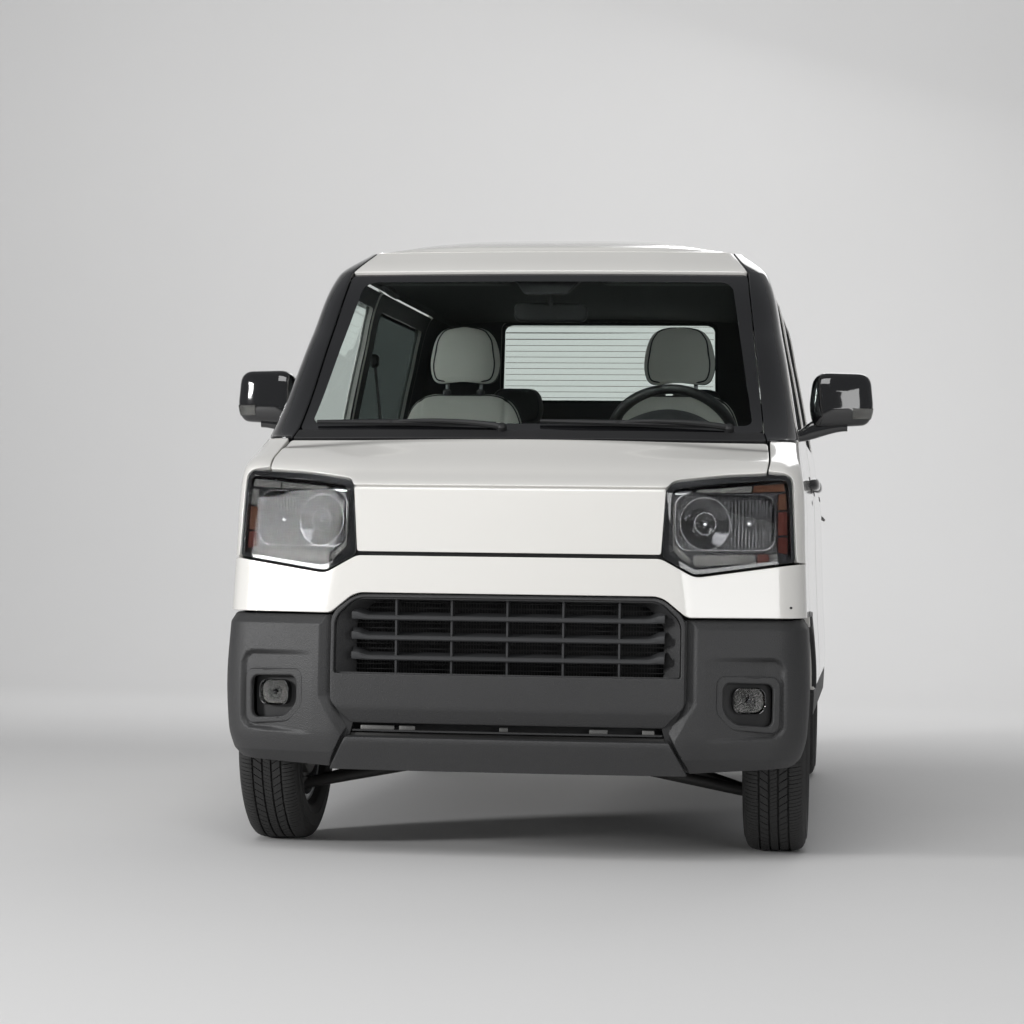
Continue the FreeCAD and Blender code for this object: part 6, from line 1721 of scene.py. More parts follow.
SEAT_MIDDLES = {"front": (0.322, -0.312), "rear": (0.300, -0.300)}
SEAT_NODE = {"front": "front_seats", "rear": "rear_bench"}
started = [pad_start(loop, thick, radius, voxel, shaping)
           for loop, thick, radius, voxel, shaping, *_ in PADS.values()]
for (name, settings), mesh in zip(PADS.items(), swollen(started)):
    loop, thick, radius, voxel, shaping, (side_seam, cross_seam), inset, front, place = settings
    seams = [lambda spots, at=side_seam: np.abs(spots[:, 0]) - at,
             lambda spots, at=cross_seam, wide=side_seam: np.where(
                 np.abs(spots[:, 0]) < wide, spots[:, 1] - at, 1.0)]
    row = name.split("_")[0]
    done = finished_pad(mesh, drawn_in(loop, -0.006), *front, seams,
                        inset, seat_cloth if row == "front" else bench_cloth)
    depth, height, along, through = place
    for side, middle in zip(("left", "right"), SEAT_MIDDLES[row]):
        placed = set_down(done, middle, (FRONT + depth, height), along, through)
        piece(f"{name}_{side}", placed, "truck_body", "seat_fabric",
                                       SEAT_NODE[row])


def seat_point(row, b, t, across):
    depth, height, along, through = PADS[f"{row}_head"][-1]
    return (across, FRONT + depth + b * along[0] + t * through[0],
            height + b * along[1] + t * through[1])


for row, reach in (("front", -0.060), ("rear", -0.055)):
    posts = []
    for middle in SEAT_MIDDLES[row]:
        for shift in (-0.050, 0.050):
            ends = [seat_point(row, b, 0.034, middle + shift) for b in (reach, 0.03)]
            posts.append(tube("post", ends, 0.0058, bright_chrome, side=(1, 0, 0), sides=16))
            collar = [seat_point(row, b, 0.034, middle + shift) for b in (-0.034, -0.030, -0.018,
                                                                          -0.014)]
            posts.append(tube("collar", collar, (0.008, 0.0125, 0.0125, 0.009), trim_dark,
                              side=(1, 0, 0), sides=20))
    piece(f"{row}_head_posts", joined("head_posts", posts), "truck_body", "dash_plastic")

# Slides, side shields and buckles of the front seats.
fittings = []
for middle in SEAT_MIDDLES["front"]:
    for shift in (-0.185, 0.185):
        fittings.append(block("slide", (middle + shift - 0.018, FRONT + 0.900, 0.6025),
                              (middle + shift + 0.018, FRONT + 1.300, 0.6160), cast, 0.002))
    for sign in (-1, 1):
        shield = rounded_loop([(FRONT + 0.925, 0.612, 0.02), (FRONT + 1.300, 0.612, 0.02),
                               (FRONT + 1.335, 0.690, 0.04), (FRONT + 1.270, 0.735, 0.03),
                               (FRONT + 1.160, 0.668, 0.05), (FRONT + 0.950, 0.650, 0.02)])
        start = middle + sign * 0.230
        fittings.append(layered("shield", shield, soft_layers(0, 0.014, 0.006, 3),
                                lambda a, b, t, s=start, w=sign: (s + w * (t - 0.004), a, b),
                                trim_dark))
    sign = -1 if middle > 0 else 1
    buckle_x = middle + sign * 0.262
    fittings.append(tube("buckle_stem", [(buckle_x, FRONT + 1.250, 0.625),
                                         (buckle_x, FRONT + 1.235, 0.735)], 0.006, matte_black,
                         side=(1, 0, 0)))
    fittings.append(block("buckle", (buckle_x - 0.011, FRONT + 1.216, 0.725),
                          (buckle_x + 0.011, FRONT + 1.252, 0.775), gloss_black, 0.005, 3))
    fittings.append(block("buckle_key", (buckle_x - 0.007, FRONT + 1.224, 0.770),
                          (buckle_x + 0.007, FRONT + 1.244, 0.778), red_lens, 0.0015))
piece("seat_fittings", joined("seat_fittings", fittings), "truck_body", "dash_plastic")


# ---------------------------------------------------------------- wheels

def turned_x(name, profile, material, steps=96, closed=False):
    """A form turned round the X axis from (x, radius) points."""
    sections = []
    for k in range(steps):
        turn = 2 * math.pi * k / steps
        sections.append([(x, radius * math.cos(turn), radius * math.sin(turn))
                         for x, radius in profile])
    form = bmesh.new()
    rings = [[form.verts.new(point) for point in section] for section in sections]
    count = len(profile)
    for k in range(steps):
        first, second = rings[k], rings[(k + 1) % steps]
        for n in range(count if closed else count - 1):
            m = (n + 1) % count
            form.faces.new((first[n], first[m], second[m], second[n]))
    bmesh.ops.remove_doubles(form, verts=form.verts, dist=1e-6)
    return meshed(form, name, [material])


TREAD = TYRE_RADIUS
BASE = TREAD - 0.0080
SIDEWALL = [(0.0500, 0.1580), (0.0515, 0.1660), (0.0560, 0.1735), (0.0660, 0.1800),
            (0.0690, 0.1805), (0.0715, 0.1845), (0.0735, 0.1870), (0.0775, 0.2020),
            (0.0780, 0.2045), (0.0790, 0.2050), (0.0792, 0.2065), (0.0785, 0.2075),
            (0.0795, 0.2200), (0.0788, 0.2330), (0.0796, 0.2345), (0.0790, 0.2365),
            (0.0772, 0.2375), (0.0755, 0.2470), (0.0715, 0.2545), (0.0660, 0.2580)]
CROWN = [(0.0400, BASE), (0.0150, BASE + 0.0004), (0.0, BASE + 0.0004)]
outside = SIDEWALL + CROWN
INSIDE_WALL = [(0.0360, 0.2525), (0.0660, 0.2280), (0.0420, 0.1580)]
tyre_profile = (outside + [(-x, radius) for x, radius in reversed(outside[:-1])]
                + [(-x, radius) for x, radius in reversed(INSIDE_WALL)] + INSIDE_WALL)
carcass = turned_x("carcass", tyre_profile, rubber, 96, closed=True)
PITCHES = 78
PITCH = 2 * math.pi / PITCHES


def tread_block(section, start, end, slant):
    """A block of tread: a section of (x, radius) carried round part of a pitch."""
    rings = []
    for share in (start, end):
        ring = []
        for x, radius in section:
            turn = PITCH * share + slant * x
            ring.append((x, radius * math.sin(turn), radius * math.cos(turn)))
        rings.append(ring)
    return swept("tread_block", rings, rubber)


def rib_section(low, high):
    return [(low, BASE - 0.001), (low + 0.0004, TREAD - 0.0006), (low + 0.0012, TREAD),
            (high - 0.0012, TREAD), (high - 0.0004, TREAD - 0.0006), (high, BASE - 0.001)]


SHOULDER = [(0.0390, BASE - 0.001), (0.0394, TREAD - 0.0006), (0.0402, TREAD - 0.0002),
            (0.0480, TREAD - 0.0008), (0.0580, TREAD - 0.0030), (0.0655, TREAD - 0.0065),
            (0.0715, TREAD - 0.0130), (0.0700, TREAD - 0.0170), (0.0600, BASE - 0.004)]
pitch_parts = [tread_block(rib_section(-0.0095, 0.0095), -0.46, 0.02, 1.6),
               tread_block(rib_section(-0.0095, 0.0095), 0.06, 0.48, 1.6)]
for sign in (1, -1):
    low, high = sorted((sign * 0.0135, sign * 0.0350))
    pitch_parts.append(tread_block(rib_section(low, high), -0.44, 0.44, sign * 2.6))
    shoulder = [(sign * x, radius) for x, radius in SHOULDER][::sign]
    for start, end in ((-0.36, 0.06), (0.12, 0.56)):
        pitch_parts.append(tread_block(shoulder, start, end, sign * 0.5))
pitch_mesh = joined("pitch", pitch_parts)
tread = repeated(pitch_mesh, RING, PITCHES, (PITCH, 0, 0), rubber)
tyre_mesh = joined("tyre", [carcass, tread])


def shifted(mesh, move):
    result = mesh.copy()
    result.transform(Matrix.Translation(move))
    return result


nut = swept("nut", [[(x, radius * math.cos(math.radians(60 * k)),
                      radius * math.sin(math.radians(60 * k))) for k in range(6)]
                    for x, radius in ((-0.010, 0.0085), (0.008, 0.0098), (0.011, 0.0090),
                                      (0.014, 0.0060))], bright_chrome)
flange = turned_x("flange", [(-0.004, 0.001), (-0.004, 0.0125), (-0.001, 0.0130),
                             (0.002, 0.0105), (0.002, 0.001)], bright_chrome, 20, closed=True)
lug = shifted(joined("lug", [nut, flange]), (0, 0, 0.0500))
CAP_PROFILE = [(0.0, 0.0350), (0.0180, 0.0350), (0.0200, 0.0338), (0.0215, 0.0345),
               (0.0245, 0.0315), (0.0255, 0.0250), (0.0248, 0.0235), (0.0262, 0.0215),
               (0.0265, 0.0005), (0.0235, 0.0005), (0.0225, 0.0250), (0.0200, 0.0315),
               (0.0180, 0.0325), (0.0, 0.0325)]
hub_cap = turned_x("hub_cap", CAP_PROFILE, gloss_black, 40, closed=True)
valve = tube("valve", [(0.006, 0, 0.1180), (0.016, 0, 0.1205), (0.026, 0, 0.1215)],
             (0.0035, 0.0042, 0.0038), rubber, side=(0, 1, 0), sides=10)
HUB_FACE = 0.0190
for corner in ("front_left", "front_right", "rear_left", "rear_right"):
    low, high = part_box(f"tyre_{corner}")
    centre = [(a + b) / 2 for a, b in zip(low, high)]
    sign = 1 if corner.endswith("left") else -1
    body = BODY_OF[f"tyre_{corner}"]
    own_tyre = tyre_mesh if sign > 0 else flipped(tyre_mesh)
    piece(f"tread_tyre_{corner}", shifted(own_tyre, centre), body, SLOT_OF[f"tyre_{corner}"],
          f"tyre_{corner}")
    face_x = HUB_FACE * sign
    lugs = repeated(lug, RING, 4, (math.pi / 2, 0, 0), bright_chrome)
    fastened = joined("fastened", [lugs, hub_cap, valve])
    fastened = fastened if sign > 0 else flipped(fastened)
    piece(f"wheel_nuts_{corner}", shifted(fastened, (centre[0] + face_x, *centre[1:])), body,
          "steel_rim")


# ---------------------------------------------------------------- mirrors

def cut_to(mesh, low, high):
    """The part of a closed mesh inside a box, closed again where it was cut."""
    form = bmesh.new()
    form.from_mesh(mesh)
    for axis in range(3):
        for limit, sign in ((low[axis], -1), (high[axis], 1)):
            way = [0.0, 0.0, 0.0]
            way[axis] = sign
            spot = [0.0, 0.0, 0.0]
            spot[axis] = limit
            bmesh.ops.bisect_plane(form, geom=form.verts[:] + form.edges[:] + form.faces[:],
                                   plane_co=spot, plane_no=way, clear_outer=True)
            open_edges = [edge for edge in form.edges if edge.is_boundary]
            if open_edges:
                bmesh.ops.contextual_create(form, geom=open_edges)
    bmesh.ops.recalc_face_normals(form, faces=form.faces)
    result = bpy.data.meshes.new(mesh.name)
    form.to_mesh(result)
    form.free()
    for material in mesh.materials:
        result.materials.append(material)
    result.shade_smooth()
    result.set_sharp_from_angle(angle=math.radians(35))
    return result


MIRROR_LOOP = rounded_loop([
    (0.7250, 1.1140, 0.016), (0.8730, 1.1230, 0.024), (0.8875, 1.1650, 0.030),
    (0.8780, 1.2640, 0.034), (0.7240, 1.2670, 0.042), (0.7120, 1.1700, 0.040)], 8)
MIRROR_FRONT = FRONT + 0.8640
MIRROR_LAYERS = [(0.0000, 0.0520), (0.0015, 0.0360), (0.0050, 0.0200), (0.0110, 0.0090),
                 (0.0200, 0.0025), (0.0330, 0.0), (0.0640, 0.0), (0.0690, 0.0012),
                 (0.0700, 0.0035), (0.0660, 0.0055)]


def mirror_place(a, b, t):
    """The head leans back towards its outer end."""
    return (a, MIRROR_FRONT + t + 0.030 * ((a - 0.715) / 0.17) ** 2 * (1 - t / 0.07), b)


head = layered("mirror_head", MIRROR_LOOP, MIRROR_LAYERS, mirror_place, gloss_black)
lens_zone = ((0.8320, MIRROR_FRONT - 0.1, 1.1400), (0.9, MIRROR_FRONT + 0.052, 1.1680))
lens_body = layered("mirror_lens", MIRROR_LOOP, [(t - 0.0012, inset - 0.0012)
                                                 for t, inset in MIRROR_LAYERS[:7]],
                    mirror_place, clear_facets)
lens = cut_to(lens_body, *lens_zone)
lens_cap = cut_to(layered("mirror_lens_cap", MIRROR_LOOP, [(t - 0.0018, inset - 0.0018)
                                                           for t, inset in MIRROR_LAYERS[:7]],
                          mirror_place, lens_glass),
                  *[[value + shift for value, shift in zip(corner, shifts)]
                    for corner, shifts in zip(lens_zone, ((-0.001, 0, -0.001),
                                                          (0, 0.001, 0.001)))])
pane = layered("mirror_pane", MIRROR_LOOP, [(0.0655, 0.0060), (0.0668, 0.0075)], mirror_place,
               bright_chrome)
arm_sections = []
for share in np.linspace(0, 1, 15):
    x = HALF - 0.060 + share * 0.140
    foot = 1.0760 + 0.030 * smooth_step(share)
    top = 1.1050 + 0.030 * smooth_step(share / 0.35)
    deep = 0.0210 - 0.004 * share
    middle = FRONT + 0.9040 + 0.004 * share
    height = (top - foot) / 2
    arm_sections.append([(x, middle + deep * math.copysign(abs(math.cos(t)) ** 0.6, math.cos(t)),
                          foot + height + height * math.copysign(abs(math.sin(t)) ** 0.6,
                                                                 math.sin(t)))
                         for t in np.linspace(0, 2 * math.pi, 24, endpoint=False)])
arm = swept("mirror_arm", arm_sections, gloss_black)
sail = layered("mirror_sail", rounded_loop([(FRONT + 0.815, 1.072, 0.006),
                                            (FRONT + 0.965, 1.074, 0.012),
                                            (FRONT + 0.940, 1.120, 0.020),
                                            (FRONT + 0.880, 1.135, 0.020)]),
               soft_layers(0, 0.012, 0.005, 3),
               lambda a, b, t: (HALF - 0.064 + t - 0.16 * (b - 1.07), a, b), gloss_black)
left_parts = [head, lens, lens_cap, pane, arm, sail]
piece("mirror_full_left", joined("mirror_full_left", left_parts), "front_door_left",
      "gloss_black", "mirror_left")
piece("mirror_full_right", flipped(joined("mirror_full_right", left_parts)), "front_door_right",
      "gloss_black", "mirror_right")

# ---------------------------------------------------------------- door handles


def side_frame(depth, height, sink):
    """A place on the left side as an origin with rearward, upward and outward directions."""
    spot = skin.chart("side", depth, height)[None]
    outward = skin.outward(spot)[0]
    origin = skin.place(spot)[0] - outward * sink
    upward_way = np.cross(outward, (0, 1, 0))
    upward_way /= np.linalg.norm(upward_way)
    if upward_way[2] < 0:
        upward_way = -upward_way
    return origin, np.array((0.0, 1.0, 0.0)), upward_way, outward


def handle_parts(depth, height, length):
    """A bowed grip that meets the door at both ends, over a pressed cup."""
    sections = []
    for share in np.linspace(-1, 1, 21):
        origin, back, above, out = side_frame(depth + length / 2 * share, height, 0.0)
        grip = 1 - abs(share) ** 6
        stand = 0.020 * (1 - abs(share) ** 3)
        thick = 0.0045 + 0.0030 * grip
        tall = 0.0100 + 0.0065 * grip
        sections.append([origin + out * (stand + thick * math.cos(t)) + above * tall * math.sin(t)
                         for t in np.linspace(0, 2 * math.pi, 16, endpoint=False)])
    return [swept("grip", sections, gloss_black)]


HANDLE_HEIGHT = 0.966
FRONT_HANDLE, REAR_HANDLE = 1.262, 1.602
cups = [[("side", depth + a, HANDLE_HEIGHT + b, 0.024) for a, b in (
    (-0.070, -0.024), (0.070, -0.024), (0.070, 0.024), (-0.070, 0.024))]
    for depth in (FRONT_HANDLE, REAR_HANDLE)]
panel_pair("front_handle_cup", cups[0], ("front_door_left", "front_door_right"), "matte_black",
           matte_black, thick=0.0016, sink=-0.0006, edge=0.0006)
panel_pair("rear_handle_cup", cups[1], "truck_body", "matte_black", matte_black, thick=0.0016,
           sink=-0.0006, edge=0.0006)
both_meshes("front_handle", handle_parts(FRONT_HANDLE, HANDLE_HEIGHT, 0.172), "gloss_black",
            ("front_door_left", "front_door_right"))
both_meshes("rear_handle", handle_parts(REAR_HANDLE, HANDLE_HEIGHT, 0.172), "gloss_black")


def lock_parts(depth, height):
    origin, back, above, out = side_frame(depth, height, 0.0005)
    place = (origin, back, above, out)
    ring = turned_on("lock_ring", place, [(0.0, 0.0012), (0.0065, 0.0014), (0.0090, 0.0008),
                                          (0.0095, -0.002), (0.0, -0.002)], gloss_black, 24)
    slot_low = origin + out * 0.0012
    slot = swept("lock_slot", [[tuple(slot_low + back * a + above * b + out * t)
                                for a, b in ((-0.001, -0.004), (0.001, -0.004), (0.001, 0.004),
                                             (-0.001, 0.004))] for t in (0, 0.0008)], matte_black)
    return [ring, slot]


both_meshes("door_lock", lock_parts(1.190, 0.914), "gloss_black",
            ("front_door_left", "front_door_right"))

# ---------------------------------------------------------------- wipers


def screen_point(across, height, lift):
    """A point over the glass; across is signed."""
    spot = skin.chart("front", abs(across), height)[None]
    place = skin.place(spot)[0] + skin.outward(spot)[0] * (lift - 0.010)
    return np.array((math.copysign(place[0], across) if across else 0.0, place[1], place[2]))


wiper_parts = []
for pivot, start, end in (((0.520, 1.088), (0.400, 1.0960), (0.035, 1.1030)),
                          ((-0.060, 1.084), (-0.190, 1.0960), (-0.562, 1.1000))):
    spots = [screen_point(start[0] + (end[0] - start[0]) * t, start[1] + (end[1] - start[1]) * t,
                          0.0120) for t in np.linspace(-0.30, 1, 27)]
    blade = []
    for count, spot in enumerate(spots):
        t = count / 26
        wide = 0.0045 + 0.0035 * math.sin(math.pi * t)
        tall = 0.0050 + 0.0030 * math.sin(math.pi * t)
        blade.append([spot + np.array((0, a, b)) for a, b in (
            (-wide, -tall * 0.2), (-wide * 0.5, tall * 0.6), (wide * 0.5, tall), (wide, 0),
            (wide * 0.4, -tall), (-wide * 0.4, -tall))])
    wiper_parts.append(swept("wiper_blade", blade, matte_black))
    middle = spots[15]
    pin = screen_point(pivot[0], pivot[1], 0.0140)
    ways = [pin + (middle - pin) * t + np.array((0, -0.007, 0.009)) * math.sin(math.pi * t) ** 0.7
            for t in np.linspace(0, 1, 13)]
    wiper_parts.append(tube("wiper_arm", ways, np.linspace(0.0085, 0.0042, 13), matte_black))
    base = (pin, np.array((1.0, 0, 0)), np.array((0, 0.8, 0.6)), np.array((0, -0.6, 0.8)))
    wiper_parts.append(turned_on("wiper_pivot", base, [
        (0.0, 0.010), (0.0080, 0.009), (0.0120, 0.004), (0.0125, -0.012), (0.0150, -0.030),
        (0.0, -0.030)], matte_black, 24))
    clip = (middle, np.array((1.0, 0, 0)), np.array((0, 0.8, 0.6)), np.array((0, -0.6, 0.8)))
    wiper_parts.append(turned_on("wiper_clip", clip, [
        (0.0, 0.007), (0.0060, 0.006), (0.0075, 0.0), (0.0075, -0.004), (0.0, -0.004)],
        matte_black, 16))
piece("wiper_set", joined("wiper_set", wiper_parts), "truck_body", "matte_black", "wipers")

# A round mark on the left corner of the bumper.

panel("bumper_mark", front_corners((0.6885, 0.6336, 0.003), (0.6949, 0.6336, 0.003),
                                   (0.6949, 0.6396, 0.003), (0.6885, 0.6396, 0.003)),
      "truck_body", "matte_black", matte_black, thick=0.002, sink=-0.0006, edge=0.0006)


# ---------------------------------------------------------------- dashboard

BINNACLE = 0.335


def dash_profile(across):
    """Corners (depth, height, rounding) of the dashboard at one place across."""
    hood = max(0.0, 1 - ((across - BINNACLE) / 0.200) ** 2) ** 0.8
    centre = float(math.exp(-(across / 0.125) ** 4))
    return [(0.492, 1.0400, 0.010), (0.640, 1.0480 + 0.044 * hood, 0.060),
            (0.735, 1.0400 + 0.112 * hood, 0.050),
            (0.786 + 0.018 * hood, 1.0260 + 0.132 * hood, 0.012),
            (0.788 + 0.014 * hood, 1.0160 + 0.130 * hood, 0.006),
            (0.784 - 0.020 * hood, 1.0060 + 0.112 * hood, 0.010),
            (0.790 - 0.006 * hood, 0.9800, 0.016),
            (0.828 + 0.006 * centre, 0.9560, 0.030), (0.822 + 0.008 * centre, 0.9000, 0.030),
            (0.776, 0.8200, 0.040), (0.742 - 0.02 * centre, 0.7420, 0.030),
            (0.545, 0.7420, 0.020), (0.492, 0.9500, 0.030)]


dash_sections = []
for across in np.linspace(-0.612, 0.612, 121):
    loop = rounded_loop(dash_profile(across), 4)
    side = min(1.0, (0.612 - abs(across)) / 0.030)
    draw = 1 - 0.04 * (1 - math.sqrt(max(0.0, 1 - (1 - side) ** 2)))
    middle = loop.mean(axis=0)
    dash_sections.append([(across, FRONT + middle[0] + (a - middle[0]) * draw,
                           middle[1] + (b - middle[1]) * draw) for a, b in loop])
dash = swept("dash_body", dash_sections, trim_dark)
dash_parts = [dash]


def facia(name, x_range, heights, look, proud=0.004, radius=0.006):
    """A rounded plate on the driver's face of the dashboard, leaning with it."""
    loop = rounded_loop([(x_range[0], heights[0], radius), (x_range[1], heights[0], radius),
                         (x_range[1], heights[1], radius), (x_range[0], heights[1], radius)], 4)

    def place(a, b, t):
        share = (b - 0.90) / 0.056
        depth = 0.822 + 0.006 * share if b >= 0.90 else 0.822 - 0.046 * (0.90 - b) / 0.08
        return (a, FRONT + depth - 0.004 + proud + t, b)

    return layered(name, loop, soft_layers(-0.006, 0.006, 0.002, 2), place, look)


for low, high in ((-0.560, -0.450), (-0.145, -0.030), (0.030, 0.145), (0.480, 0.575)):
    dash_parts.append(facia("vent_rim", (low, high), (0.905, 0.958), gloss_black))
    louvre = block("louvre", (low + 0.008, FRONT + 0.826, 0.9105),
                   (high - 0.008, FRONT + 0.840, 0.9130), matte_black, 0.0006, 1)
    dash_parts.append(repeated(louvre, ROW, 5, (0, 0, 0.0094), matte_black))
dash_parts.append(facia("glovebox", (-0.575, -0.205), (0.785, 0.888), trim_dark, 0.006, 0.018))
dash_parts.append(facia("glove_latch", (-0.410, -0.370), (0.862, 0.878), gloss_black, 0.010,
                        0.005))
dash_parts.append(facia("screen", (-0.110, 0.110), (0.800, 0.893), gloss_black, 0.008, 0.010))
dash_parts.append(facia("control_plate", (-0.105, 0.105), (0.756, 0.794), matte_black, 0.006,
                        0.008))
for across in (-0.070, 0.0, 0.070):
    knob = (np.array((across, FRONT + 0.7700, 0.7750)), np.array((1.0, 0, 0)),
            np.array((0, 0.28, 0.96)), np.array((0, 0.96, -0.28)))
    dash_parts.append(turned_on("knob", knob, [
        (0.0, 0.018), (0.0115, 0.0175), (0.0130, 0.015), (0.0145, 0.002), (0.0155, -0.004),
        (0.0, -0.004)], gloss_black, 28))
for across, radius in ((0.278, 0.042), (0.392, 0.042), (0.335, 0.018)):
    dial = (np.array((across, FRONT + 0.7770, 1.0420)), np.array((1.0, 0, 0)),
            np.array((0, -0.14, 0.990)), np.array((0, 0.990, 0.14)))
    dash_parts.append(turned_on("dial_face", dial, [
        (0.0, 0.0035), (radius * 0.8, 0.0035), (radius * 0.84, 0.0050), (radius * 0.92, 0.0080),
        (radius, 0.0060), (radius, -0.004), (0.0, -0.004)], gloss_black, 40))
    dash_parts.append(rim_ring("dial_ring", dial, radius * 0.95, 0.0016, 0.010, bright_chrome))
shroud = []
axis = np.array((0, math.cos(math.radians(32)), math.sin(math.radians(32))))
above_axis = np.array((0, -axis[2], axis[1]))
hub_place = np.array((BINNACLE, FRONT + 0.955, 1.068))
for back, wide, tall in ((0.150, 0.036, 0.034), (0.130, 0.040, 0.038), (0.060, 0.040, 0.040),
                         (0.034, 0.034, 0.034), (0.028, 0.028, 0.028)):
    spot = hub_place - axis * back
    shroud.append([spot + np.array((wide * math.copysign(abs(math.cos(t)) ** 0.7, math.cos(t)),
                                    0, 0)) + above_axis * tall * math.copysign(
                                        abs(math.sin(t)) ** 0.7, math.sin(t))
                   for t in np.linspace(0, 2 * math.pi, 28, endpoint=False)])
dash_parts.append(swept("column_shroud", shroud, trim_dark))
for sign in (-1, 1):
    root = hub_place - axis * 0.075 + np.array((sign * 0.030, 0, 0)) + above_axis * 0.012
    tip = root + np.array((sign * 0.120, 0, 0)) + above_axis * 0.022 + axis * 0.010
    ways = [root + (tip - root) * t for t in np.linspace(0, 1, 7)]
    dash_parts.append(tube("stalk", ways, (0.006, 0.0055, 0.005, 0.0055, 0.0078, 0.0082, 0.0060),
                           matte_black, sides=12))
piece("dash_full", joined("dash_full", dash_parts), "truck_body", "dash_plastic", "dashboard")

# ---------------------------------------------------------------- steering wheel

across_way = np.array((1.0, 0, 0))


def wheel_point(a, b, t):
    return hub_place + across_way * a + above_axis * b + axis * t


ring_path = [wheel_point(0.175 * math.cos(t), 0.175 * math.sin(t), 0.0)
             for t in np.linspace(0, 2 * math.pi, 72, endpoint=False)]
ring_size = [0.0138 + 0.0016 * abs(math.cos(2 * t + math.pi / 2)) ** 4
             for t in np.linspace(0, 2 * math.pi, 72, endpoint=False)]
wheel_parts = [tube("wheel_rim", ring_path, ring_size, wheel_leather, side=tuple(axis),
                    closed=True, sides=16)]
pad_loop = rounded_loop([(-0.085, 0.030, 0.03), (-0.066, 0.052, 0.03), (0.066, 0.052, 0.03),
                         (0.085, 0.030, 0.03), (0.072, -0.030, 0.03), (0.030, -0.074, 0.03),
                         (-0.030, -0.074, 0.03), (-0.072, -0.030, 0.03)])
wheel_parts.append(layered("wheel_pad", pad_loop, [
    (-0.024, 0.020), (-0.020, 0.004), (-0.004, 0.0), (0.002, 0.0015), (0.006, 0.006),
    (0.009, 0.016), (0.010, 0.030)], wheel_point, trim_dark))
for start, end, wide in ((0, 0.172, 0.020), (math.pi, 0.172, 0.020),
                         (-math.pi / 2, 0.172, 0.017)):
    way = np.array((math.cos(start), math.sin(start)))
    aside = np.array((-way[1], way[0]))
    sections = []
    for share in np.linspace(0, 1, 9):
        reach = 0.050 + (end - 0.050) * share
        width = wide * (1 - 0.35 * math.sin(math.pi * share) + 0.10 * share)
        lift = -0.010 * (1 - share) - 0.004 * math.sin(math.pi * share)
        sections.append([wheel_point(*(way * reach + aside * width * math.cos(t)),
                                     lift + 0.0065 * math.sin(t))
                         for t in np.linspace(0, 2 * math.pi, 14, endpoint=False)])
    wheel_parts.append(swept("wheel_spoke", sections, trim_dark))
piece("steering_full", joined("steering_full", wheel_parts), "steering_wheel", "dash_plastic",
      "steering_wheel")

# ---------------------------------------------------------------- roof lining, mirror, visors

lining_sections = []
for depth in np.linspace(0.905, 2.560, 40):
    ends = min(1.0, (depth - 0.905) / 0.05, (2.560 - depth) / 0.05)
    top = []
    for across in np.linspace(-0.520, 0.520, 33):
        crown = 1.5420 + 0.020 * (1 - (across / 0.52) ** 2) - 0.006 * (1 - ends)
        top.append((across, FRONT + depth, crown))
    under = [(x, y, z - 0.006) for x, y, z in reversed(top)]
    lining_sections.append(top + under)
piece("roof_lining", swept("roof_lining", lining_sections, lining_look), "truck_body",
      "dash_plastic")

mirror_loop = rounded_loop([(-0.100, -0.027, 0.022), (0.100, -0.027, 0.022),
                            (0.104, 0.026, 0.026), (-0.104, 0.026, 0.026)], 6)


def inner_place(a, b, t):
    turn = math.radians(8)
    return (a * math.cos(turn) - t * math.sin(turn),
            FRONT + 0.876 + t * math.cos(turn) + a * math.sin(turn), 1.4270 + b - 0.1 * t)


inner_parts = [layered("inner_mirror", mirror_loop, soft_layers(-0.014, 0.012, 0.008, 4),
                       inner_place, matte_black),
               layered("inner_glass", mirror_loop, [(0.0118, 0.0060), (0.0130, 0.0070)],
                       inner_place, bright_chrome),
               tube("inner_stalk", [(0, FRONT + 0.872, 1.440), (0, FRONT + 0.858, 1.470),
                                    (0, FRONT + 0.862, 1.500)], (0.010, 0.007, 0.010),
                    matte_black, side=(1, 0, 0), sides=14)]
housing = rounded_loop([(-0.058, 1.4660, 0.012), (0.058, 1.4660, 0.012), (0.105, 1.5260, 0.016),
                        (-0.105, 1.5260, 0.016)], 5)
inner_parts.append(layered("sensor_housing", housing, [
    (0.0, 0.004), (0.004, 0.0), (0.030, 0.0), (0.050, 0.004), (0.066, 0.016), (0.070, 0.026)],
    lambda a, b, t: (a, FRONT + 0.742 + (b - 1.466) * 0.95 + t, b), matte_black))
piece("inner_mirror_full", joined("inner_mirror_full", inner_parts), "truck_body",
      "gloss_black", "interior_mirror")

visor_parts = []
for low, high in ((0.135, 0.500), (-0.500, -0.135)):
    loop = rounded_loop([(low, 0.925, 0.02), (high, 0.925, 0.02), (high, 1.080, 0.03),
                         (low, 1.080, 0.03)])
    visor_parts.append(layered("visor", loop, soft_layers(0, 0.014, 0.006, 3),
                               lambda a, b, t: (a, FRONT + b, 1.5120 + t + (b - 0.925) * 0.06),
                               visor_look))
    visor_parts.append(tube("visor_rod", [(low + 0.01, FRONT + 0.930, 1.5180),
                                          (high - 0.01, FRONT + 0.930, 1.5180)], 0.005,
                            trim_dark, sides=10))
piece("visors", joined("visors", visor_parts), "truck_body", "dash_plastic")

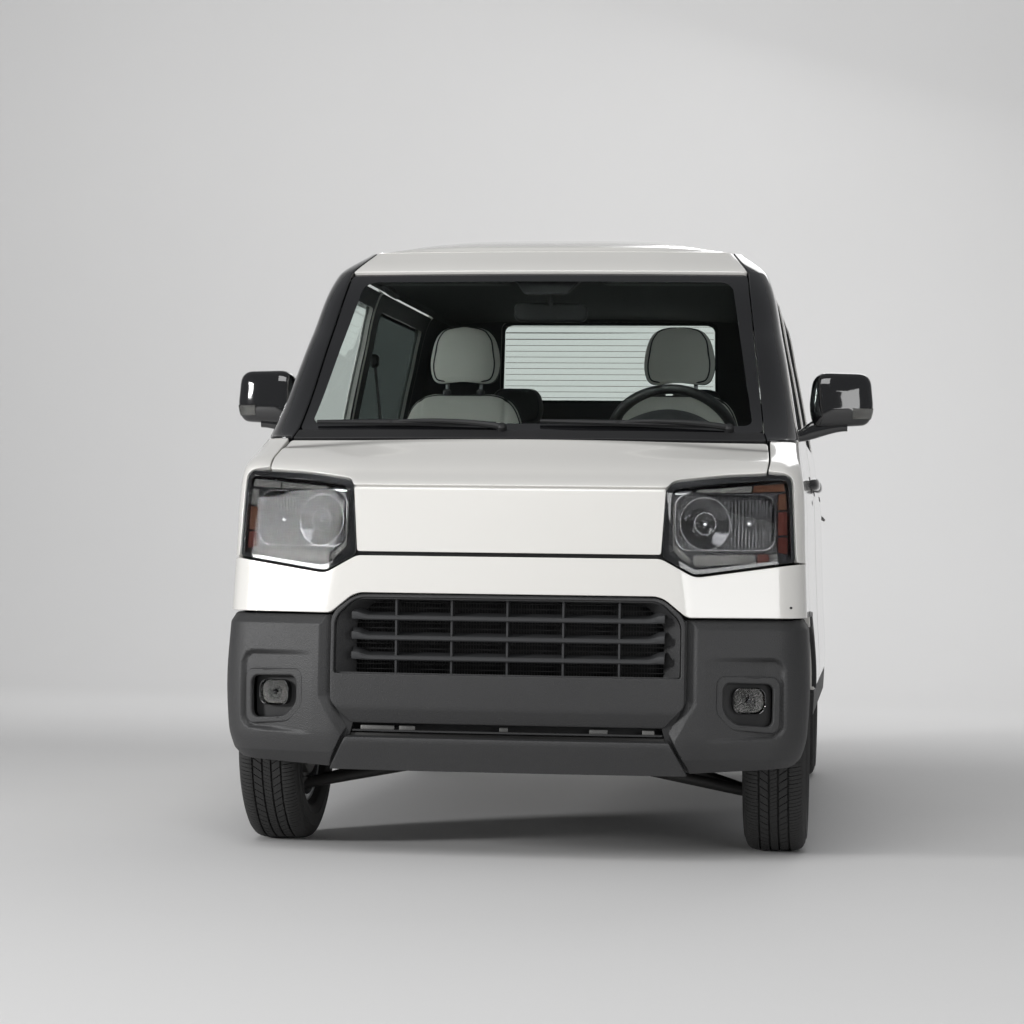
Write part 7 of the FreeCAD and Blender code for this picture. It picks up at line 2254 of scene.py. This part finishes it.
# Trim over the joint of the lining and the door frames.
rail_parts = []
for sign in (-1, 1):
    path = [(sign * x, FRONT + y, z) for y, x, z in (
        (0.900, 0.515, 1.535), (1.000, 0.532, 1.543), (1.400, 0.538, 1.546),
        (2.000, 0.538, 1.546), (2.500, 0.534, 1.543), (2.565, 0.524, 1.538))]
    rail_parts.append(tube("door_top_trim", path, 0.021, lining_look, sides=12))
    rail_parts.append(tube("grab_handle", [(sign * x, FRONT + y, z) for y, x, z in (
        (1.120, 0.520, 1.528), (1.135, 0.505, 1.512), (1.170, 0.498, 1.506),
        (1.250, 0.498, 1.506), (1.285, 0.505, 1.512), (1.300, 0.520, 1.528))], 0.008,
        visor_look, sides=10))
piece("door_top_trims", joined("door_top_trims", rail_parts), "truck_body", "dash_plastic")

# Seat belts on the middle pillars.
belt_parts = []
for sign in (-1, 1):
    x = sign * 0.600
    anchor = (np.array((sign * 0.598, FRONT + 1.435, 1.330)), np.array((0, 1.0, 0)),
              np.array((0, 0, 1.0)), np.array((-sign, 0, 0)))
    belt_parts.append(turned_on("belt_anchor", anchor, [
        (0.0, 0.018), (0.014, 0.016), (0.020, 0.010), (0.022, -0.004), (0.0, -0.004)],
        matte_black, 28))
    strap = [[(x - sign * (0.004 + t), FRONT + 1.412 + a, z) for a, t in (
        (0.0, 0.0), (0.046, 0.0), (0.046, 0.0016), (0.0, 0.0016))]
        for z in np.linspace(0.560, 1.330, 24)]
    strap = [[(px - sign * 0.030 * math.sin(math.pi * k / 23), py, pz)
              for px, py, pz in section] for k, section in enumerate(strap)]
    belt_parts.append(swept("belt_strap", strap, matte_black))
piece("seat_belts", joined("seat_belts", belt_parts), "truck_body", "dash_plastic")

# Gear lever and console between the seats.
console = rounded_loop([(-0.060, 0.760, 0.02), (0.060, 0.760, 0.02), (0.060, 1.180, 0.03),
                        (-0.060, 1.180, 0.03)])
console_parts = [layered("console", console, soft_layers(0, 0.115, 0.020, 4),
                         lambda a, b, t: (a, FRONT + b, 0.5065 + t), trim_dark)]
lever_at = (np.array((0.0, FRONT + 0.905, 0.6200)), np.array((1.0, 0, 0)),
            np.array((0, 1.0, 0)), np.array((0, -0.1, 0.995)))
console_parts.append(turned_on("gaiter", lever_at, [
    (0.0, 0.060), (0.008, 0.058), (0.014, 0.050), (0.012, 0.044), (0.020, 0.036),
    (0.017, 0.030), (0.027, 0.020), (0.024, 0.014), (0.034, 0.002), (0.036, -0.004),
    (0.0, -0.004)], matte_black, 28))
console_parts.append(turned_on("lever", lever_at, [
    (0.0, 0.168), (0.012, 0.164), (0.018, 0.150), (0.017, 0.134), (0.009, 0.120),
    (0.005, 0.110), (0.005, 0.050), (0.0, 0.050)], gloss_black, 28))
brake_path = [(0.0, FRONT + 1.130, 0.620), (0.0, FRONT + 1.060, 0.645),
              (0.0, FRONT + 0.985, 0.668)]
console_parts.append(tube("brake_lever", brake_path, (0.010, 0.012, 0.009), matte_black,
                          side=(1, 0, 0), sides=14))
piece("console", joined("console", console_parts), "truck_body", "dash_plastic")


# ---------------------------------------------------------------- load bed

BED_LOW, BED_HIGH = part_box("cargo_bed")
GATE_LOW, GATE_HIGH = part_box("tailgate")
BED_FLOOR = 0.620
BED_WALL = 0.034
bed_front = BED_LOW[1] + BED_WALL
bed_back = GATE_LOW[1] - 0.0055
bed_room = BED_HIGH[0] - BED_WALL
rib_profile = [(-0.0165, -0.002), (-0.0150, 0.0035), (-0.0115, 0.0060), (0.0115, 0.0060),
               (0.0150, 0.0035), (0.0165, -0.002)]
floor_rib = swept("floor_rib", [[(x * (1 - end), bed_front + 0.025 + y, BED_FLOOR + z * (1 - end))
                                 for x, z in rib_profile]
                                for y, end in ((0.0, 0.8), (0.006, 0.2), (0.012, 0.0),
                                               (bed_back - bed_front - 0.062, 0.0),
                                               (bed_back - bed_front - 0.056, 0.2),
                                               (bed_back - bed_front - 0.050, 0.8))], paint)
piece("bed_ribs", repeated(floor_rib, ROW, 11, (0.082, 0, 0), paint, centre=(-0.410, 0, 0)),
      "truck_body", "body_paint")
wall_rib_profile = [(-0.020, -0.002), (-0.016, 0.005), (0.016, 0.005), (0.020, -0.002)]
side_rib = swept("side_rib", [[(bed_room - t * (1 - end), bed_front + 0.070 + a * (1 - end), z)
                               for a, t in wall_rib_profile]
                              for z, end in ((0.660, 0.8), (0.672, 0.2), (0.680, 0.0),
                                             (0.905, 0.0), (0.913, 0.2), (0.925, 0.8))], paint)
side_ribs = repeated(side_rib, ROW, 5, (0, 0.135, 0), paint)
both_meshes("bed_side_ribs", [side_ribs], "body_paint")
front_rib = swept("front_rib", [[(a * (1 - end), bed_front + t * (1 - end), z)
                                 for a, t in wall_rib_profile]
                                for z, end in ((0.660, 0.8), (0.672, 0.2), (0.680, 0.0),
                                               (0.905, 0.0), (0.913, 0.2), (0.925, 0.8))], paint)
piece("bed_front_ribs", repeated(front_rib, ROW, 9, (0.140, 0, 0), paint,
                                 centre=(-0.560, 0, 0)), "truck_body", "body_paint")


def rail_section(x, z):
    return [(x + a, z + b) for a, b in ((-0.020, -0.006), (-0.021, 0.004), (-0.015, 0.009),
                                        (0.015, 0.009), (0.021, 0.004), (0.020, -0.006))]


rail_x = BED_HIGH[0] - 0.021
cap = swept("bed_rail", [[(x, y, z) for x, z in rail_section(rail_x, 0.9660)]
                         for y in np.linspace(BED_LOW[1] + 0.002, 1.645, 9)], gloss_black)
hooks = []
for y in (0.985, 1.270, 1.560):
    path = [(BED_HIGH[0] - 0.004, y - 0.030, 0.905), (BED_HIGH[0] + 0.010, y - 0.026, 0.897),
            (BED_HIGH[0] + 0.016, y, 0.890), (BED_HIGH[0] + 0.010, y + 0.026, 0.897),
            (BED_HIGH[0] - 0.004, y + 0.030, 0.905)]
    hooks.append(tube("rope_hook", path, 0.0050, cast, side=(0, 0, 1), sides=12))
    hooks.append(block("hook_plate", (BED_HIGH[0] - 0.012, y - 0.042, 0.886),
                       (BED_HIGH[0] - 0.0015, y + 0.042, 0.924), paint, 0.004, 3))
both_meshes("bed_rails", [cap] + hooks, "gloss_black")

# Tail lamps: a red lens over facets, a clear strip and a dark frame on each side.
LAMP_LOW, LAMP_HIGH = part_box("tail_lamps")
lamp_left, lamp_right = GATE_HIGH[0] + 0.0095, LAMP_HIGH[0]
lamp_loop = rounded_loop([(lamp_left, LAMP_LOW[2], 0.012), (lamp_right, LAMP_LOW[2], 0.012),
                          (lamp_right, LAMP_HIGH[2], 0.012), (lamp_left, LAMP_HIGH[2], 0.012)])


def lamp_place(a, b, t):
    return (a, LAMP_HIGH[1] - 0.026 + t, b)


lamp_parts = [layered("tail_frame", lamp_loop, soft_layers(0, 0.020, 0.003, 2), lamp_place,
                      gloss_black)]
span = LAMP_HIGH[2] - LAMP_LOW[2]
for low, high, look in ((0.55, 0.97, red_lens), (0.33, 0.53, amber_facets),
                        (0.18, 0.31, clear_facets), (0.03, 0.16, red_lens)):
    zone = rounded_loop([(lamp_left + 0.006, LAMP_LOW[2] + low * span, 0.006),
                         (lamp_right - 0.006, LAMP_LOW[2] + low * span, 0.006),
                         (lamp_right - 0.006, LAMP_LOW[2] + high * span, 0.006),
                         (lamp_left + 0.006, LAMP_LOW[2] + high * span, 0.006)])
    lamp_parts.append(layered("tail_lens", zone, soft_layers(0.014, 0.026, 0.004, 3), lamp_place,
                              look))
lamp_set = joined("tail_lamp_full", lamp_parts)
piece("tail_lamp_full_left", lamp_set, "truck_body", "lamp_red", "tail_lamps")
piece("tail_lamp_full_right", flipped(lamp_set), "truck_body", "lamp_red")

# Tailgate: latch plates and levers, a plate lamp, inner ribs and a blank number plate.
gate_parts = []
for sign in (-1, 1):
    middle = sign * (GATE_HIGH[0] - 0.040)
    gate_parts.append(block("latch_plate", (middle - 0.022, GATE_HIGH[1] - 0.008, 0.860),
                            (middle + 0.022, GATE_HIGH[1] - 0.003, 0.940), cast, 0.002))
    gate_parts.append(tube("latch_lever", [(middle, GATE_HIGH[1] - 0.004, 0.925),
                                           (middle, GATE_HIGH[1] + 0.004, 0.915),
                                           (middle, GATE_HIGH[1] + 0.004, 0.875)],
                           (0.006, 0.007, 0.0055), matte_black, side=(1, 0, 0), sides=12))
plate_loop = rounded_loop([(-0.165, 0.690, 0.010), (0.165, 0.690, 0.010), (0.165, 0.855, 0.010),
                           (-0.165, 0.855, 0.010)])
gate_parts.append(layered("number_plate", plate_loop, soft_layers(0, 0.0016, 0.0006, 1),
                          lambda a, b, t: (a, GATE_HIGH[1] - 0.010 + t, b), plate_look))
gate_parts.append(block("plate_lamp", (-0.045, GATE_HIGH[1] - 0.014, 0.872),
                        (0.045, GATE_HIGH[1] + 0.002, 0.888), gloss_black, 0.004, 3))
inner_rib = swept("inner_rib", [[(a * (1 - end), GATE_LOW[1] - t * (1 - end), z)
                                 for a, t in wall_rib_profile]
                                for z, end in ((0.665, 0.8), (0.677, 0.2), (0.685, 0.0),
                                               (0.900, 0.0), (0.908, 0.2), (0.920, 0.8))], paint)
gate_parts.append(repeated(inner_rib, ROW, 7, (0.160, 0, 0), paint, centre=(-0.480, 0, 0)))
piece("tailgate_fittings", joined("tailgate_fittings", gate_parts), "tailgate", "body_paint")

# Rear bumper pads and reflectors.
BUMP_LOW, BUMP_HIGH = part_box("rear_bumper")
pads = []
for sign in (-1, 1):
    middle = sign * 0.470
    pads.append(block("bumper_pad", (middle - 0.085, BUMP_LOW[1] + 0.006, BUMP_HIGH[2] - 0.004),
                      (middle + 0.085, BUMP_HIGH[1] - 0.006, BUMP_HIGH[2] + 0.004), rubber,
                      0.003, 3))
    pads.append(block("reflex", (middle - 0.040, BUMP_HIGH[1] - 0.003, 0.400),
                      (middle + 0.040, BUMP_HIGH[1] + 0.004, 0.422), red_lens, 0.003, 3))
piece("rear_bumper_pads", joined("rear_bumper_pads", pads), "truck_body", "matte_black")

# Rear window: thin heating lines on the inside of the pane.
heat_line = block("heat_line", (-0.352, 0, 0), (0.352, 0.0006, 0.0016), heat_look, 0)
low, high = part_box("rear_window")
heat_lines = repeated(heat_line, ROW, 13, (0, 0, 0.0200), heat_look,
                      centre=(0, low[1] - 0.0030, 1.2830))
piece("heating_lines", heat_lines, "truck_body", "matte_black")

DRESSED = [node for node in NODES if not NODES[node].hide_render]
for node in DRESSED:
    dress(node)

# ---------------------------------------------------------------- studio and camera

STUDIO = 30.0
floor_mesh = bpy.data.meshes.new("floor")
FLOOR_TURN = 16
profile = [(-STUDIO, 0.0), (6.0, 0.0)]
profile += [(6.0 + 3.0 * math.sin(math.pi / 2 * step / FLOOR_TURN),
             3.0 - 3.0 * math.cos(math.pi / 2 * step / FLOOR_TURN))
            for step in range(1, FLOOR_TURN + 1)]
profile.append((9.0, 14.0))
floor_points = [(x, y, z) for y, z in profile for x in (-STUDIO, STUDIO)]
floor_faces = [(2 * k, 2 * k + 1, 2 * k + 3, 2 * k + 2) for k in range(len(profile) - 1)]
floor_mesh.from_pydata(floor_points, [], floor_faces)
floor_mesh.shade_smooth()
floor = bpy.data.objects.new("floor", floor_mesh)
scene.collection.objects.link(floor)
floor_look = finish_of("studio_floor", (0.74, 0.735, 0.73), (0.69, 0.685, 0.68), 0.3, 1.5,
                       (0.75, 0.9), (60, 0.001, 0.15))
floor_mesh.materials.append(floor_look)

# The wall is clear from behind, so that the truck's tail shows through it.
floor_nodes = floor_look.node_tree.nodes
floor_side = floor_nodes.new("ShaderNodeNewGeometry")
floor_mix = floor_nodes.new("ShaderNodeMixShader")
floor_links = floor_look.node_tree.links
floor_links.new(floor_side.outputs["Backfacing"], floor_mix.inputs["Fac"])
floor_links.new(floor_nodes["Principled BSDF"].outputs["BSDF"], floor_mix.inputs[1])
floor_links.new(floor_nodes.new("ShaderNodeBsdfTransparent").outputs["BSDF"], floor_mix.inputs[2])
floor_links.new(floor_mix.outputs["Shader"], floor_nodes["Material Output"].inputs["Surface"])


def area_light(name, place, target, size, power, colour=(1, 1, 1)):
    data = bpy.data.lights.new(name, "AREA")
    data.shape = "RECTANGLE"
    data.size, data.size_y = size
    data.energy = power
    data.color = colour
    lamp = bpy.data.objects.new(name, data)
    lamp.location = place
    lamp.rotation_euler = (Vector(target) - Vector(place)).to_track_quat("-Z", "Y").to_euler()
    scene.collection.objects.link(lamp)


area_light("key", (-8.2, -6.4, 2.7), (0, -0.8, 0.7), (1.7, 1.7), 535)
area_light("front_fill", (5.5, -9.0, 1.6), (0, -1.0, 0.8), (4.0, 2.4), 120)
area_light("overhead", (-0.5, -6.5, 6.0), (0, -2.6, 0), (4.5, 4.0), 230)
area_light("rear_fill", (1.5, 7.0, 6.0), (0, 0.5, 0.5), (4.0, 4.0), 110)
area_light("wall", (-1.0, 3.2, 4.2), (-0.6, 9.0, 2.2), (7.0, 1.5), 130)

world = bpy.data.worlds.new("studio_air")
scene.world = world
world.use_nodes = True
world.node_tree.nodes["Background"].inputs["Color"].default_value = (0.95, 0.97, 1.0, 1)
world.node_tree.nodes["Background"].inputs["Strength"].default_value = 0.22

camera_data = bpy.data.cameras.new("camera")
camera_data.sensor_width = 36
camera_data.lens = 2765.2 / 1024 * 36
camera = bpy.data.objects.new("camera", camera_data)
scene.collection.objects.link(camera)
scene.camera = camera
YAW, PITCH, ROLL = (math.radians(angle) for angle in (7.46, -0.753, 0.713))
forward = Vector((-math.sin(YAW) * math.cos(PITCH), math.cos(YAW) * math.cos(PITCH),
                  -math.sin(PITCH)))
level = Vector((math.cos(YAW), math.sin(YAW), 0))
upward = level.cross(forward)
right = level * math.cos(ROLL) + upward * math.sin(ROLL)
upward = right.cross(forward)
turn = Matrix((right, upward, -forward)).transposed().to_4x4()
camera.matrix_world = Matrix.Translation((0.892, FRONT - 6.711, 0.775)) @ turn
scene.view_settings.view_transform = "Standard"
